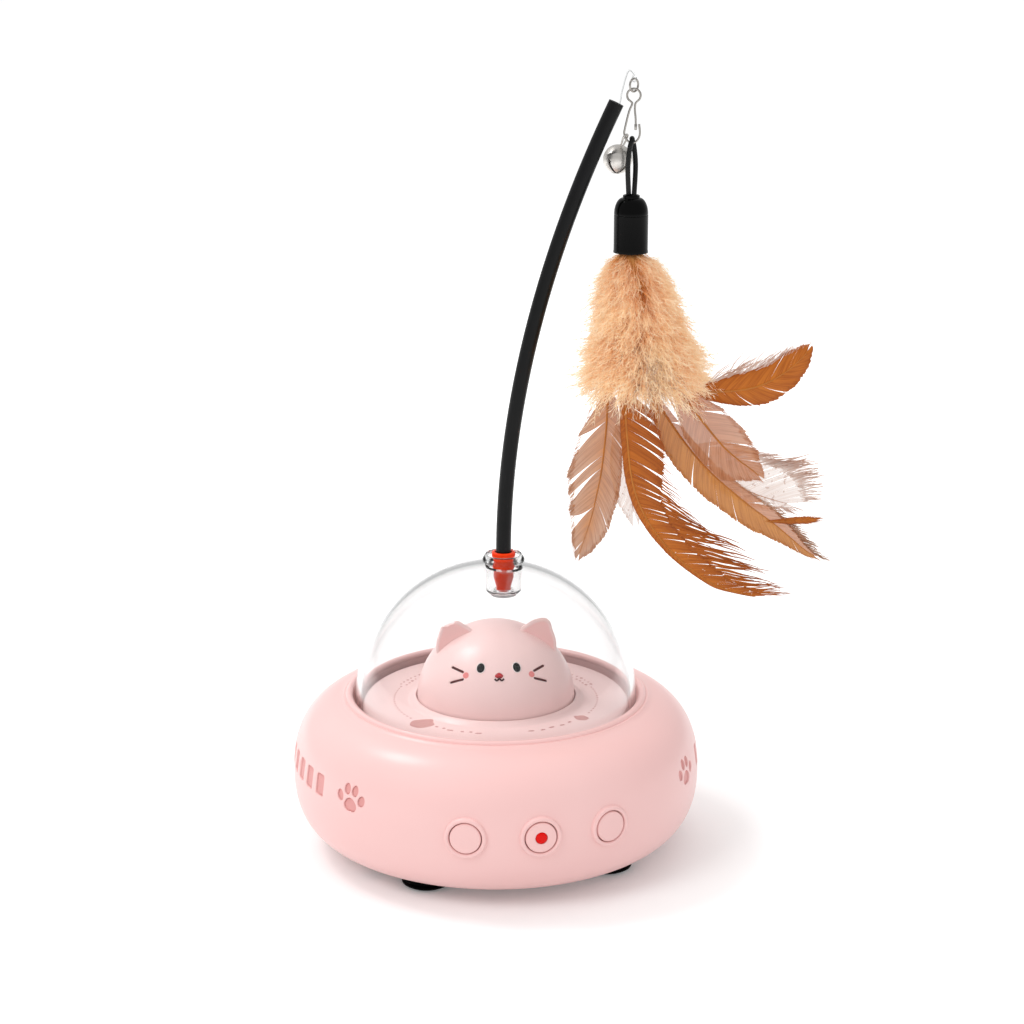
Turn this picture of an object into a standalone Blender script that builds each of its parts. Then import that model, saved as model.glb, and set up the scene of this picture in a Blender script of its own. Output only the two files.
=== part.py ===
"""A rechargeable cat teaser: a round base, a turntable with a clear dome over a cat head, and a bowed rod
that dangles a feather lure.

Metres, +Z up. The origin is the centre of the base plate's flat underside, on the turntable's axis, and the
cat looks along -Y. The rod and the lure lie in the XZ plane. The base, with its buttons, is turned a little
about Z, because the turntable stands still at any angle.
"""

import math

import bmesh
import bpy
from mathutils import Matrix, Vector

# Fits shared by every sub-part
GAP = 0.0003
OVERRUN = 0.0012
MERGE = 0.000001
SMOOTH_ANGLE = math.radians(38)

# How finely round things are faceted
BODY_STEPS = 30
SMALL_STEPS = 14
TINY_STEPS = 8
FLUFF_SIDES = 16
ROD_SIDES = 10

# Base shell
SHELL_RADIUS = 0.0750
SHELL_WALL = 0.0022
EQUATOR_Z = 0.0254
SHELL_TOP_Z = 0.0527
UNDERSIDE_INSET = 0.0232
UNDERSIDE_RADIUS = SHELL_RADIUS - UNDERSIDE_INSET
CROWN_INSET = 0.0250
CROWN_RADIUS = SHELL_RADIUS - CROWN_INSET
LOWER_ROUNDNESS = 2.46
UPPER_ROUNDNESS = 2.37
MOUTH_INSET = 0.0108
MOUTH_RADIUS = SHELL_RADIUS - MOUTH_INSET
BASE_TURN = math.radians(12.3)
WELL_INSET = 0.0218
WELL_RADIUS = SHELL_RADIUS - WELL_INSET
WELL_FLOOR_Z = 0.0445
BEAD_WIDTH = 0.0022
BEAD_RISE = 0.0013
LEDGE_WIDTH = 0.0015
LEDGE_RISE = 0.0006

# Screw columns inside the shell
COLUMN_RADIUS = 0.0035
COLUMN_INSET = 0.0165
COLUMN_CIRCLE = SHELL_RADIUS - COLUMN_INSET
COLUMN_ANGLES = (62, 118, 242, 298)
SCREW_SHANK_RADIUS = 0.0013
SCREW_HEAD_RADIUS = 0.0026
SCREW_HEAD_HEIGHT = 0.0016
SCREW_LENGTH = 0.0080

# Base plate
PLATE_WALL = 0.0020
PLATE_RIM_HEIGHT = 0.0021

# Rubber feet
FOOT_INSET = 0.0016
FOOT_CIRCLE = UNDERSIDE_RADIUS - FOOT_INSET
FOOT_ANGLES = (41.5, 138.5, 221.5, 318.5)
FOOT_RADIUS = 0.0094
FOOT_DEPTH = 0.0042
FOOT_GROOVE_DEPTH = 0.0008
FOOT_STEM_RADIUS = 0.0024
FOOT_BARB_WIDTH = 0.0009
FOOT_BARB_HEIGHT = 0.0012

# Push buttons
BUTTON_RADIUS = 0.0055
BUTTON_PITCH = math.radians(20)
BUTTON_Z = 0.0260
BUTTON_PROUD = 0.0010
BUTTON_TRAVEL = 0.0006
BUTTON_DOME = 0.0003
BUTTON_FLANGE_WIDTH = 0.0015
BUTTON_FLANGE_THICKNESS = 0.0012
BUTTON_FLANGE_DROP = 0.0036
BUTTON_STEM_RADIUS = 0.0013
POWER_STEM_OFFSET = 0.0052
BEZEL_WIDTH = 0.0016
BEZEL_RISE = 0.0009
LENS_RADIUS = 0.0020
LENS_PROUD = 0.0004

# Paw and stripe inlays on both sides
PAW_ANGLE = math.radians(55.3)
PAW_Z = 0.0302
PAW_PAD_WIDTH = 0.0062
PAW_PAD_HEIGHT = 0.0052
TOE_WIDTH = 0.0031
TOE_HEIGHT = 0.0041
TOE_REACH = 0.0058
TOE_ANGLES = (-65, -19, 19, 65)
STRIPE_COUNT = 5
STRIPE_FIRST = math.radians(69.5)
STRIPE_PITCH = math.radians(6.5)
STRIPE_WIDTH = 0.0053
STRIPE_HEIGHT = 0.0079
STRIPE_Z = 0.0322
STRIPE_CORNER = 0.0010
INLAY_SINK = 0.0006
INLAY_WALL = 0.0012
INLAY_MARGIN = 0.0025

# Turntable
TABLE_CLEARANCE = 0.0006
TABLE_RADIUS = WELL_RADIUS - TABLE_CLEARANCE
CHANNEL_WIDTH = 0.0035
DECK_RADIUS = TABLE_RADIUS - CHANNEL_WIDTH
DECK_Z = 0.0506
DECK_WALL = 0.0020
CHANNEL_DEPTH = 0.0045
CHANNEL_WALL = 0.0014
COLLAR_LIP_RADIUS = 0.0330
COLLAR_LIP_RISE = 0.0016
HUB_RADIUS = 0.0070

# Spindle, bush and gears
SPINDLE_RADIUS = 0.0030
SPINDLE_HEAD_RADIUS = 0.0055
SPINDLE_HEAD_HEIGHT = 0.0018
BUSH_WALL = 0.0018
BUSH_FLANGE_WIDTH = 0.0028
BUSH_FLANGE_HEIGHT = 0.0010
GEAR_MODULE = 0.0010
GEAR_TEETH = 48
PINION_TEETH = 12
GEAR_THICKNESS = 0.0040
GEAR_BACKLASH = 0.0003
GEAR_SPREAD = 0.0002
ADDENDUM_SHARE = 0.80
DEDENDUM_SHARE = 1.20
PRESSURE_ANGLE = math.radians(20)
GEAR_WEB_THICKNESS = 0.0018
GEAR_RIM_WIDTH = 0.0030
NUT_RADIUS = 0.0048
NUT_HEIGHT = 0.0024

# Gear motor
GEARBOX_LENGTH = 0.0260
GEARBOX_WIDTH = 0.0200
GEARBOX_HEIGHT = 0.0130
GEARBOX_EAR_REACH = 0.0055
GEARBOX_EAR_THICKNESS = 0.0020
GEARBOX_CORNER = 0.0025
MOTOR_RADIUS = 0.0078
MOTOR_LENGTH = 0.0125
MOTOR_SHAFT_RADIUS = 0.0010

# Boards and what is on them
BOARD_WALL = 0.0016
BOARD_Z = 0.0205
BOARD_INNER_INSET = 0.0300
BOARD_INNER = SHELL_RADIUS - BOARD_INNER_INSET
BOARD_OUTER_INSET = 0.0105
BOARD_OUTER = SHELL_RADIUS - BOARD_OUTER_INSET
BOARD_SPREAD = math.radians(40)
SWITCH_WIDTH = 0.0060
SWITCH_DEPTH = 0.0040
SWITCH_HEIGHT = 0.0068
SWITCH_PLUNGER_RADIUS = 0.0014
SWITCH_PLUNGER_LENGTH = 0.0026
LED_RADIUS = 0.0015
LED_LENGTH = 0.0050
POST_RADIUS = 0.0026
STAKE_HEAD_HEIGHT = 0.0010
CHARGE_BOARD_Z = 0.0160
CHARGE_BOARD_WIDTH = 0.0200
CHARGE_BOARD_DEPTH = 0.0140
PORT_WIDTH = 0.0090
PORT_HEIGHT = 0.0032
PORT_DEPTH = 0.0073
PORT_WALL = 0.0004
PORT_SETBACK = 0.0008
PORT_RECESS_WIDTH = 0.0018
PORT_RECESS_DEPTH = 0.0007

# Battery
CELL_RADIUS = 0.0091
CELL_LENGTH = 0.0650
CELL_INSET = 0.0390
CELL_Y = SHELL_RADIUS - CELL_INSET
CELL_CLEAR_HEIGHT = 0.0022
CRADLE_THICKNESS = 0.0030
CRADLE_INSET = 0.0120
CRADLE_HEIGHT = 0.0085

# Clear dome and the socket in its crown
DOME_CLEARANCE = 0.0005
DOME_RADIUS = TABLE_RADIUS - DOME_CLEARANCE
DOME_WALL = 0.0020
DOME_CENTRE_Z = 0.0503
SOCKET_X = 0.0029
SOCKET_RADIUS = 0.0064
SOCKET_WALL = 0.0007
SOCKET_FLOOR_WALL = 0.0013
SOCKET_DEPTH = 0.0122
SOCKET_BOTTOM_Z = DOME_CENTRE_Z + DOME_RADIUS - SOCKET_DEPTH
SOCKET_RIM_RADIUS = 0.0077
SOCKET_RIM_HEIGHT = 0.0036
SOCKET_CHAMFER = 0.0018
SOCKET_SEAT_HEIGHT = 0.0055
SOCKET_SEAT_WALL = 0.0007

# Cat head
HEAD_RADIUS = 0.0290
HEAD_HEIGHT = 0.0280
HEAD_SKIRT = 0.0011
HEAD_WALL = 0.0020
HEAD_ROUNDNESS = 1.95
FACE_TURN = math.radians(3.3)
HEAD_BOSS_RADIUS = 0.0030
HEAD_BOSS_CIRCLE = 0.0200
HEAD_BOSS_HEIGHT = 0.0070
EAR_FRONT_Y = 0.0050
EAR_THICKNESS = 0.0080
EAR_TIP_X = 0.0176
EAR_TIP_Z = 0.0824
EAR_HALF_WIDTH = 0.0064
EAR_TIP_ROUND = 0.0022
EAR_BACK_SHARE = 0.62
EYE_ANGLE = math.radians(16.8)
EYE_Z = 0.0695
EYE_WIDTH = 0.0029
EYE_HEIGHT = 0.0037
EYE_PROUD = 0.0006
EYE_POCKET = 0.0006
NOSE_Z = 0.0674
NOSE_WIDTH = 0.0026
NOSE_HEIGHT = 0.0022
WHISKER_WIDTH = 0.0008
WHISKER_DEPTH = 0.0005
UPPER_WHISKER = (31.5, 0.0676, 46.2, 0.0684)
LOWER_WHISKER = (30.0, 0.0656, 42.0, 0.0635)

# Rod and its plug
ROD_RADIUS = 0.00275
ROD_BORE = 0.0018
ROD_FOOT_RISE = 0.0083
ROD_FOOT_Z = SOCKET_BOTTOM_Z + ROD_FOOT_RISE
ROD_HEIGHT = 0.1705
ROD_TIP_Z = ROD_FOOT_Z + ROD_HEIGHT
ROD_REACH = 0.0393
ROD_STRAIGHT_HEIGHT = 0.0078
ROD_STRAIGHT_Z = ROD_FOOT_Z + ROD_STRAIGHT_HEIGHT
ROD_BEND_POWER = 1.95
PLUG_HOLD = 0.0086
PLUG_TOP_Z = ROD_FOOT_Z + PLUG_HOLD
PLUG_FLANGE_RADIUS = 0.0043
PLUG_NECK_RADIUS = 0.0037
PLUG_RIB_RADIUS = 0.0040
PLUG_BODY_RADIUS = 0.0036
PLUG_TIP_RADIUS = 0.0026
PLUG_FLANGE_HEIGHT = 0.0018
PLUG_RIB_PITCH = 0.0026
PLUG_TAPER = 0.0050

# Tip line, link and snap clip
LINE_RADIUS = 0.0003
LINE_RISE = 0.0046
LINE_DEPTH_IN_ROD = 0.0080
WIRE_RADIUS = 0.000375
LINK_WIDTH = 0.0046
LINK_HEIGHT = 0.0052
LINK_REACH = 0.0060
LINK_TOP_X = SOCKET_X + ROD_REACH + LINK_REACH
LINK_RISE = 0.0086
LINK_TOP_Z = ROD_TIP_Z + LINK_RISE
LINK_TURN = math.radians(40)
CLIP_EYE_RADIUS = 0.00235
CLIP_LENGTH = 0.0164
CLIP_HOOK_WIDTH = 0.0052
CLIP_TURN = math.radians(-8)
CLIP_GATE_WIDTH = 0.0009
CLIP_GATE_LENGTH = 0.0021

# Bell
BELL_RADIUS = 0.00515
BELL_WALL = 0.0005
BELL_ASIDE = 0.0051
BELL_X = LINK_TOP_X - BELL_ASIDE
BELL_Y = 0.0054
BELL_DROP = 0.0288
BELL_Z = LINK_TOP_Z - BELL_DROP
BELL_SLOT_WIDTH = 0.0007
BELL_WAIST_WIDTH = 0.0003
PELLET_RADIUS = 0.0015

# Lure
CORD_RADIUS = 0.0009
LOOP_HALF_WIDTH = 0.0014
FERRULE_RADIUS = 0.00605
FERRULE_DROP = 0.0406
FERRULE_TOP_Z = LINK_TOP_Z - FERRULE_DROP
FERRULE_HEIGHT = 0.0202
FERRULE_BOTTOM_Z = FERRULE_TOP_Z - FERRULE_HEIGHT
FERRULE_WALL = 0.0008
FERRULE_DOME = 0.0058
FERRULE_NOSE_RADIUS = 0.0030
FERRULE_NOSE_HEIGHT = 0.0010
FERRULE_BASE_FLARE = 0.0003
CORD_SEAT = 0.0040
FLUFF_NECK_DEPTH = 0.0090
FLUFF_LENGTH = 0.0600
FLUFF_RADIUS = 0.0230
FLUFF_LEAN = 0.0065
FEATHER_SPAN = 0.0700
FEATHER_THICKNESS = 0.0007
FEATHER_QUILL = 0.0009
FEATHER_CAMBER_SHARE = 0.16

ANCHORS = {}


def clear_scene():
    for obj in list(bpy.data.objects):
        bpy.data.objects.remove(obj, do_unlink=True)


def finish(name, colour, roughness, metallic=0.0, transmission=0.0):
    """A plain Principled BSDF; the colour is sRGB hex."""
    material = bpy.data.materials.new(name)
    material.use_nodes = True
    shader = material.node_tree.nodes["Principled BSDF"]
    channels = [int(colour[i : i + 2], 16) / 255 for i in (1, 3, 5)]
    linear = [c / 12.92 if c <= 0.04045 else ((c + 0.055) / 1.055) ** 2.4 for c in channels]
    shader.inputs["Base Color"].default_value = (*linear, 1)
    shader.inputs["Roughness"].default_value = roughness
    shader.inputs["Metallic"].default_value = metallic
    shader.inputs["Transmission Weight"].default_value = transmission
    material.diffuse_color = (*linear, 1)
    return material


def make_finishes():
    return {
        "shell": finish("moulded_pink_abs", "#f6cfcd", 0.28),
        "inlay": finish("rose_pink_abs", "#ebaaa7", 0.35),
        "clear": finish("clear_polycarbonate", "#f7fafa", 0.03, transmission=1.0),
        "red_lens": finish("red_lens", "#de160f", 0.12),
        "black": finish("gloss_black_plastic", "#151415", 0.15),
        "rubber": finish("black_rubber", "#0c0c0d", 0.62),
        "rod": finish("black_fibreglass", "#1c1c1d", 0.45),
        "silicone": finish("orange_silicone", "#e2452a", 0.38),
        "steel": finish("bright_steel", "#c9c6c2", 0.16, 1.0),
        "acetal": finish("white_acetal", "#ecebe6", 0.42),
        "board": finish("green_board", "#2f6a45", 0.45),
        "cell": finish("shrink_wrapped_cell", "#3f72b8", 0.30, 0.3),
        "fluff": finish("marabou_down", "#dfa166", 0.90),
        "feather": finish("brown_feather", "#b96521", 0.75),
        "pale_feather": finish("pale_feather", "#d8ae8e", 0.78),
        "nylon": finish("nylon_line", "#eef1f2", 0.12, transmission=0.9),
        "cord": finish("black_elastic", "#111112", 0.55),
    }


def anchor(name, point, parent=None, turn=0.0):
    """An empty at a joint or a group's centre. What it carries keeps its world coordinates."""
    empty = bpy.data.objects.new(name, None)
    bpy.context.collection.objects.link(empty)
    empty.empty_display_size = GEAR_THICKNESS
    place = Vector(point)
    if parent is not None:
        empty.parent = parent
        place = place - ANCHORS[parent.name]
    empty.location = place
    empty.rotation_euler = (0, 0, turn)
    ANCHORS[empty.name] = Vector(point)
    return empty


def add_object(name, bm, material, parent, matrix=None):
    """Makes an object of a bmesh, placed by a matrix in its group's coordinates."""
    bmesh.ops.remove_doubles(bm, verts=bm.verts, dist=MERGE)
    bmesh.ops.dissolve_degenerate(bm, edges=bm.edges, dist=MERGE)
    bmesh.ops.recalc_face_normals(bm, faces=bm.faces)
    mesh = bpy.data.meshes.new(name)
    bm.to_mesh(mesh)
    bm.free()
    mesh.shade_smooth()
    mesh.set_sharp_from_angle(angle=SMOOTH_ANGLE)
    if material is not None:
        mesh.materials.append(material)
    obj = bpy.data.objects.new(name, mesh)
    bpy.context.collection.objects.link(obj)
    if parent is not None:
        obj.parent = parent
        obj.matrix_parent_inverse = Matrix.Translation(-ANCHORS[parent.name])
    if matrix is not None:
        obj.matrix_basis = matrix
    return obj


def helper(name, bm, parent, matrix=None):
    """A cutter or a body that a Boolean joins: never part of the model by itself."""
    obj = add_object(name, bm, None, parent, matrix)
    obj.hide_render = True
    obj.display_type = "WIRE"
    return obj


def combine(obj, other, operation):
    modifier = obj.modifiers.new(other.name, "BOOLEAN")
    modifier.operation = operation
    modifier.solver = "EXACT"
    modifier.object = other


def cut(obj, other):
    combine(obj, other, "DIFFERENCE")


def join(obj, other):
    combine(obj, other, "UNION")


def lathe_mesh(profile, steps, closed=True, bm=None, centre=(0.0, 0.0)):
    """Turns a profile of (radius, height) points about Z."""
    bm = bm or bmesh.new()
    verts = [bm.verts.new((centre[0] + r, centre[1], z)) for r, z in profile]
    pairs = list(zip(verts, verts[1:]))
    if closed:
        pairs.append((verts[-1], verts[0]))
    edges = [bm.edges.new(pair) for pair in pairs]
    bmesh.ops.spin(
        bm,
        geom=verts + edges,
        cent=(*centre, 0.0),
        axis=(0, 0, 1),
        angle=math.tau,
        steps=steps,
        use_merge=True,
    )
    bmesh.ops.remove_doubles(bm, verts=bm.verts, dist=MERGE)
    return bm


def lathe(name, profile, material, parent, steps=SMALL_STEPS, closed=True, matrix=None, centre=(0.0, 0.0)):
    return add_object(name, lathe_mesh(profile, steps, closed, None, centre), material, parent, matrix)


def prism_mesh(outline, low, high, bm=None, place=None, top_outline=None):
    """Joins an outline at one height to itself, or to another of as many points, at a second height."""
    bm = bm or bmesh.new()
    place = place or Matrix.Identity(4)
    top_outline = top_outline or outline
    bottom = [bm.verts.new(place @ Vector((x, y, low))) for x, y in outline]
    top = [bm.verts.new(place @ Vector((x, y, high))) for x, y in top_outline]
    bm.faces.new(bottom)
    bm.faces.new(top)
    for i, vert in enumerate(bottom):
        after = (i + 1) % len(bottom)
        bm.faces.new((vert, bottom[after], top[after], top[i]))
    return bm


def circle(radius, steps, centre=(0.0, 0.0)):
    return ellipse(radius, radius, steps, centre)


def ellipse(half_width, half_height, steps, centre=(0.0, 0.0), tilt=0.0):
    points = []
    for i in range(steps):
        angle = math.tau * i / steps
        x = half_width * math.cos(angle)
        y = half_height * math.sin(angle)
        points.append(
            (
                centre[0] + x * math.cos(tilt) - y * math.sin(tilt),
                centre[1] + x * math.sin(tilt) + y * math.cos(tilt),
            )
        )
    return points


def rounded_rectangle(width, height, corner, steps=3, centre=(0.0, 0.0)):
    points = []
    for k, (side_x, side_y) in enumerate(((1, 1), (-1, 1), (-1, -1), (1, -1))):
        for i in range(steps):
            angle = math.pi / 2 * (k + i / (steps - 1))
            points.append(
                (
                    centre[0] + side_x * (width / 2 - corner) + corner * math.cos(angle),
                    centre[1] + side_y * (height / 2 - corner) + corner * math.sin(angle),
                )
            )
    return points


def smooth_route(points, steps):
    """Catmull-Rom points through a route's own points, steps to each stretch."""
    route = [Vector(p) for p in points]
    ends = [route[0] * 2 - route[1], *route, route[-1] * 2 - route[-2]]
    result = []
    for a, b, c, d in zip(ends, ends[1:], ends[2:], ends[3:]):
        for i in range(steps):
            t = i / steps
            bend = (2 * a - 5 * b + 4 * c - d) * t**2
            twist = (3 * b - a - 3 * c + d) * t**3
            result.append(0.5 * (2 * b + (c - a) * t + bend + twist))
    result.append(route[-1])
    return result


def tube_mesh(points, radius, sides, bore=0.0, loop=False, bm=None):
    """A round tube along points. A bore makes it hollow from end to end, and a loop has no ends."""
    bm = bm or bmesh.new()
    points = [Vector(p) for p in points]
    count = len(points)
    rings = {radius: [], bore: []}
    tangent = (points[1] - points[-1 if loop else 0]).normalized()
    normal = tangent.orthogonal().normalized()
    for i, point in enumerate(points):
        before = points[i - 1] if loop or i > 0 else point
        after = points[(i + 1) % count] if loop or i < count - 1 else point
        turned = (after - before).normalized()
        normal = (tangent.rotation_difference(turned) @ normal).normalized()
        tangent = turned
        side = tangent.cross(normal)
        for size in (radius, bore) if bore else (radius,):
            ring = []
            for k in range(sides):
                angle = math.tau * k / sides
                ring.append(bm.verts.new(point + size * (math.cos(angle) * normal + math.sin(angle) * side)))
            rings[size].append(ring)
    stretches = count if loop else count - 1
    for size in (radius, bore) if bore else (radius,):
        for i in range(stretches):
            low, high = rings[size][i], rings[size][(i + 1) % count]
            for k in range(sides):
                after = (k + 1) % sides
                bm.faces.new((low[k], low[after], high[after], high[k]))
    if loop:
        return bm
    for end in (0, -1):
        if bore:
            outer, inner = rings[radius][end], rings[bore][end]
            for k in range(sides):
                after = (k + 1) % sides
                bm.faces.new((outer[k], outer[after], inner[after], inner[k]))
        else:
            bm.faces.new(rings[radius][end])
    return bm


def side_limits(inset, upper):
    """The flat radius, the height from the equator and the power of one half of the shell's side."""
    if upper:
        return CROWN_RADIUS, SHELL_TOP_Z - inset - EQUATOR_Z, 2 / UPPER_ROUNDNESS
    return UNDERSIDE_RADIUS, EQUATOR_Z - inset, 2 / LOWER_ROUNDNESS


def side_point(angle, inset=0.0):
    """A point on the side's section: angle runs from -90 degrees at the bottom to 90 at the top."""
    flat, height, power = side_limits(inset, angle >= 0)
    radius = flat + (SHELL_RADIUS - inset - flat) * math.cos(abs(angle)) ** power
    rise = height * math.sin(abs(angle)) ** power
    return radius, EQUATOR_Z + math.copysign(rise, angle)


def side_angle_at_radius(radius, inset, upper):
    flat, _, power = side_limits(inset, upper)
    share = (radius - flat) / (SHELL_RADIUS - inset - flat)
    angle = math.acos(min(1.0, share ** (1 / power)))
    return angle if upper else -angle


def side_angle_at_height(z, inset=0.0):
    _, height, power = side_limits(inset, z >= EQUATOR_Z)
    share = min(1.0, abs(z - EQUATOR_Z) / height)
    return math.copysign(math.asin(share ** (1 / power)), z - EQUATOR_Z)


def side_arc(start, end, inset, steps):
    return [side_point(start + (end - start) * i / steps, inset) for i in range(steps + 1)]


def side_radius(z, inset=0.0):
    return side_point(side_angle_at_height(z, inset), inset)[0]


def outward(azimuth, radius, z):
    """Local X runs along the rim, local Y up, and local Z straight out of the side."""
    out = Vector((math.sin(azimuth), -math.cos(azimuth), 0))
    along = Vector((math.cos(azimuth), math.sin(azimuth), 0))
    matrix = Matrix((along, Vector((0, 0, 1)), out)).transposed().to_4x4()
    matrix.translation = out * radius + Vector((0, 0, z))
    return matrix


def on_circle(degrees, radius):
    """A place at an azimuth from -Y towards +X."""
    angle = math.radians(degrees)
    return radius * math.sin(angle), -radius * math.cos(angle)


# Base shell


def shell_profile():
    ledge_radius = WELL_RADIUS + BEAD_WIDTH + LEDGE_WIDTH
    top_angle = side_angle_at_radius(ledge_radius, 0, True)
    ledge_z = side_point(top_angle)[1] + LEDGE_RISE
    bead_radius = WELL_RADIUS + BEAD_WIDTH / 2
    bead = []
    for i in range(5):
        angle = math.pi * (1 - i / 4)
        bead.append(
            (bead_radius + BEAD_WIDTH / 2 * math.cos(angle), ledge_z + BEAD_RISE * math.sin(angle))
        )
    ledge = [(ledge_radius - LEDGE_RISE, ledge_z), (ledge_radius, ledge_z - LEDGE_RISE)]
    outside = side_arc(top_angle, side_angle_at_radius(MOUTH_RADIUS, 0, False), 0, 11)
    inside_low = side_angle_at_radius(MOUTH_RADIUS, SHELL_WALL, False)
    well_outside = WELL_RADIUS + SHELL_WALL
    inside_high = side_angle_at_radius(well_outside, SHELL_WALL, True)
    inside = side_arc(inside_low, inside_high, SHELL_WALL, 9)
    floor_low = WELL_FLOOR_Z - SHELL_WALL
    hole = SPINDLE_RADIUS + GAP + BUSH_WALL + GAP
    floor = [
        (well_outside, floor_low),
        (hole, floor_low),
        (hole, WELL_FLOOR_Z),
        (WELL_RADIUS, WELL_FLOOR_Z),
    ]
    return bead + ledge + outside[1:] + inside + floor


def plate_inner_z(radius):
    """How high the base plate's inner face lies."""
    if radius <= UNDERSIDE_RADIUS:
        return PLATE_WALL
    return side_point(side_angle_at_radius(radius, 0, False))[1] + PLATE_WALL


def column_centres():
    return [on_circle(angle, COLUMN_CIRCLE) for angle in COLUMN_ANGLES]


def gearbox_screw_places():
    reach = GEARBOX_WIDTH / 2 + GEARBOX_EAR_REACH / 2
    return [(-gear_centre_distance(), reach), (-gear_centre_distance(), -reach)]


def gear_centre_distance():
    return GEAR_MODULE * (GEAR_TEETH + PINION_TEETH) / 2 + GEAR_SPREAD


def gear_top_z():
    return WELL_FLOOR_Z - SHELL_WALL - GAP - GEAR_BACKLASH - BUSH_FLANGE_HEIGHT


def gearbox_top_z():
    return gear_top_z() - GEAR_THICKNESS - GAP - GEAR_BACKLASH


def pocket_outlines(offset):
    """The paw and stripes of one side as (azimuth, height, outline), shrunk by an offset."""
    found = []
    pad = []
    for i in range(8):
        angle = math.tau * i / 8
        narrow = 1 - 0.22 * max(0.0, math.sin(angle))
        pad.append(
            (
                (PAW_PAD_WIDTH / 2 - offset) * math.cos(angle) * narrow,
                (PAW_PAD_HEIGHT / 2 - offset) * math.sin(angle),
            )
        )
    found.append((PAW_ANGLE, PAW_Z, pad))
    for degrees in TOE_ANGLES:
        angle = math.radians(degrees)
        centre = (TOE_REACH * math.sin(angle), TOE_REACH * math.cos(angle))
        toe = ellipse(TOE_WIDTH / 2 - offset, TOE_HEIGHT / 2 - offset, 8, centre, -angle / 3)
        found.append((PAW_ANGLE, PAW_Z, toe))
    for i in range(STRIPE_COUNT):
        stripe = rounded_rectangle(
            STRIPE_WIDTH - 2 * offset, STRIPE_HEIGHT - 2 * offset, STRIPE_CORNER - offset, 2
        )
        found.append((STRIPE_FIRST + STRIPE_PITCH * i, STRIPE_Z, stripe))
    return found


def pocket_prisms(side, offset, inner, outer):
    """The paw and stripes of one side, straight through the shell's wall."""
    bm = bmesh.new()
    for azimuth, z, outline in pocket_outlines(offset):
        prism_mesh(outline, inner, outer, bm, outward(side * azimuth, 0, z))
    return bm


def make_shell(base, looks):
    shell = lathe("upper_shell", shell_profile(), looks["shell"], base, BODY_STEPS)
    for side, name in ((-1, "left"), (1, "right")):
        prisms = pocket_prisms(side, 0.0, SHELL_RADIUS - SHELL_WALL * 3, SHELL_RADIUS + OVERRUN)
        cut(shell, helper(f"{name}_pockets", prisms, base))
    make_port_cuts(shell, base)
    columns = bmesh.new()
    pilots = bmesh.new()
    column_low = plate_inner_z(COLUMN_CIRCLE) + GAP
    inner_top = side_point(side_angle_at_radius(COLUMN_CIRCLE, SHELL_WALL, True), SHELL_WALL)[1]
    column_top = inner_top + SHELL_WALL / 2
    for centre in column_centres():
        prism_mesh(circle(COLUMN_RADIUS, TINY_STEPS, centre), column_low, column_top, columns)
        pilot = circle(SCREW_SHANK_RADIUS + GAP, TINY_STEPS, centre)
        prism_mesh(pilot, column_low - OVERRUN, column_low + SCREW_LENGTH, pilots)
    boss_low = gearbox_top_z() + GAP
    floor_low = WELL_FLOOR_Z - SHELL_WALL
    for centre in gearbox_screw_places():
        prism_mesh(circle(POST_RADIUS, TINY_STEPS, centre), boss_low, floor_low + SHELL_WALL / 2, columns)
        pilot = circle(SCREW_SHANK_RADIUS + GAP, TINY_STEPS, centre)
        prism_mesh(pilot, boss_low - OVERRUN, floor_low - GAP, pilots)
    join(shell, helper("shell_columns", columns, base))
    cut(shell, helper("shell_pilots", pilots, base))
    hole = BUTTON_RADIUS + GAP
    ring_low = SHELL_RADIUS - SHELL_WALL * 2 / 3
    ring_top = SHELL_RADIUS + BEZEL_RISE
    soft = BEZEL_RISE / 2
    ring = [
        (hole - OVERRUN, ring_low),
        (hole - OVERRUN, ring_top),
        (hole + BEZEL_WIDTH - soft, ring_top),
        (hole + BEZEL_WIDTH, ring_top - soft),
        (hole + BEZEL_WIDTH, ring_low),
    ]
    bore_low = SHELL_RADIUS - SHELL_WALL * 2
    bore_top = ring_top + OVERRUN
    bezels = bmesh.new()
    bores = bmesh.new()
    for azimuth in (-BUTTON_PITCH, 0.0, BUTTON_PITCH):
        place = outward(azimuth, 0, BUTTON_Z)
        one = lathe_mesh(ring, SMALL_STEPS)
        one.transform(place)
        piece = bpy.data.meshes.new("bezel")
        one.to_mesh(piece)
        one.free()
        bezels.from_mesh(piece)
        prism_mesh(circle(hole, SMALL_STEPS), bore_low, bore_top, bores, place)
    join(shell, helper("button_bezels", bezels, base))
    cut(shell, helper("button_bores", bores, base))
    return shell


def port_z():
    return CHARGE_BOARD_Z + BOARD_WALL + GAP + PORT_HEIGHT / 2


def make_port_cuts(shell, base):
    """The charging port's opening at the back, and the shallow recess round it."""
    surface = side_radius(port_z())
    place = outward(math.pi, 0, port_z())
    corner = PORT_HEIGHT / 2
    hole = rounded_rectangle(PORT_WIDTH + 2 * GAP, PORT_HEIGHT + 2 * GAP, corner, 4)
    around = 2 * PORT_RECESS_WIDTH
    recess = rounded_rectangle(PORT_WIDTH + around, PORT_HEIGHT + around, corner + around / 4, 4)
    tool = prism_mesh(hole, surface - SHELL_WALL * 3, surface + OVERRUN, None, place)
    cut(shell, helper("port_hole", tool, base))
    tool = prism_mesh(recess, surface - PORT_RECESS_DEPTH, surface + SHELL_WALL, None, place)
    cut(shell, helper("port_recess", tool, base))


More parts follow.
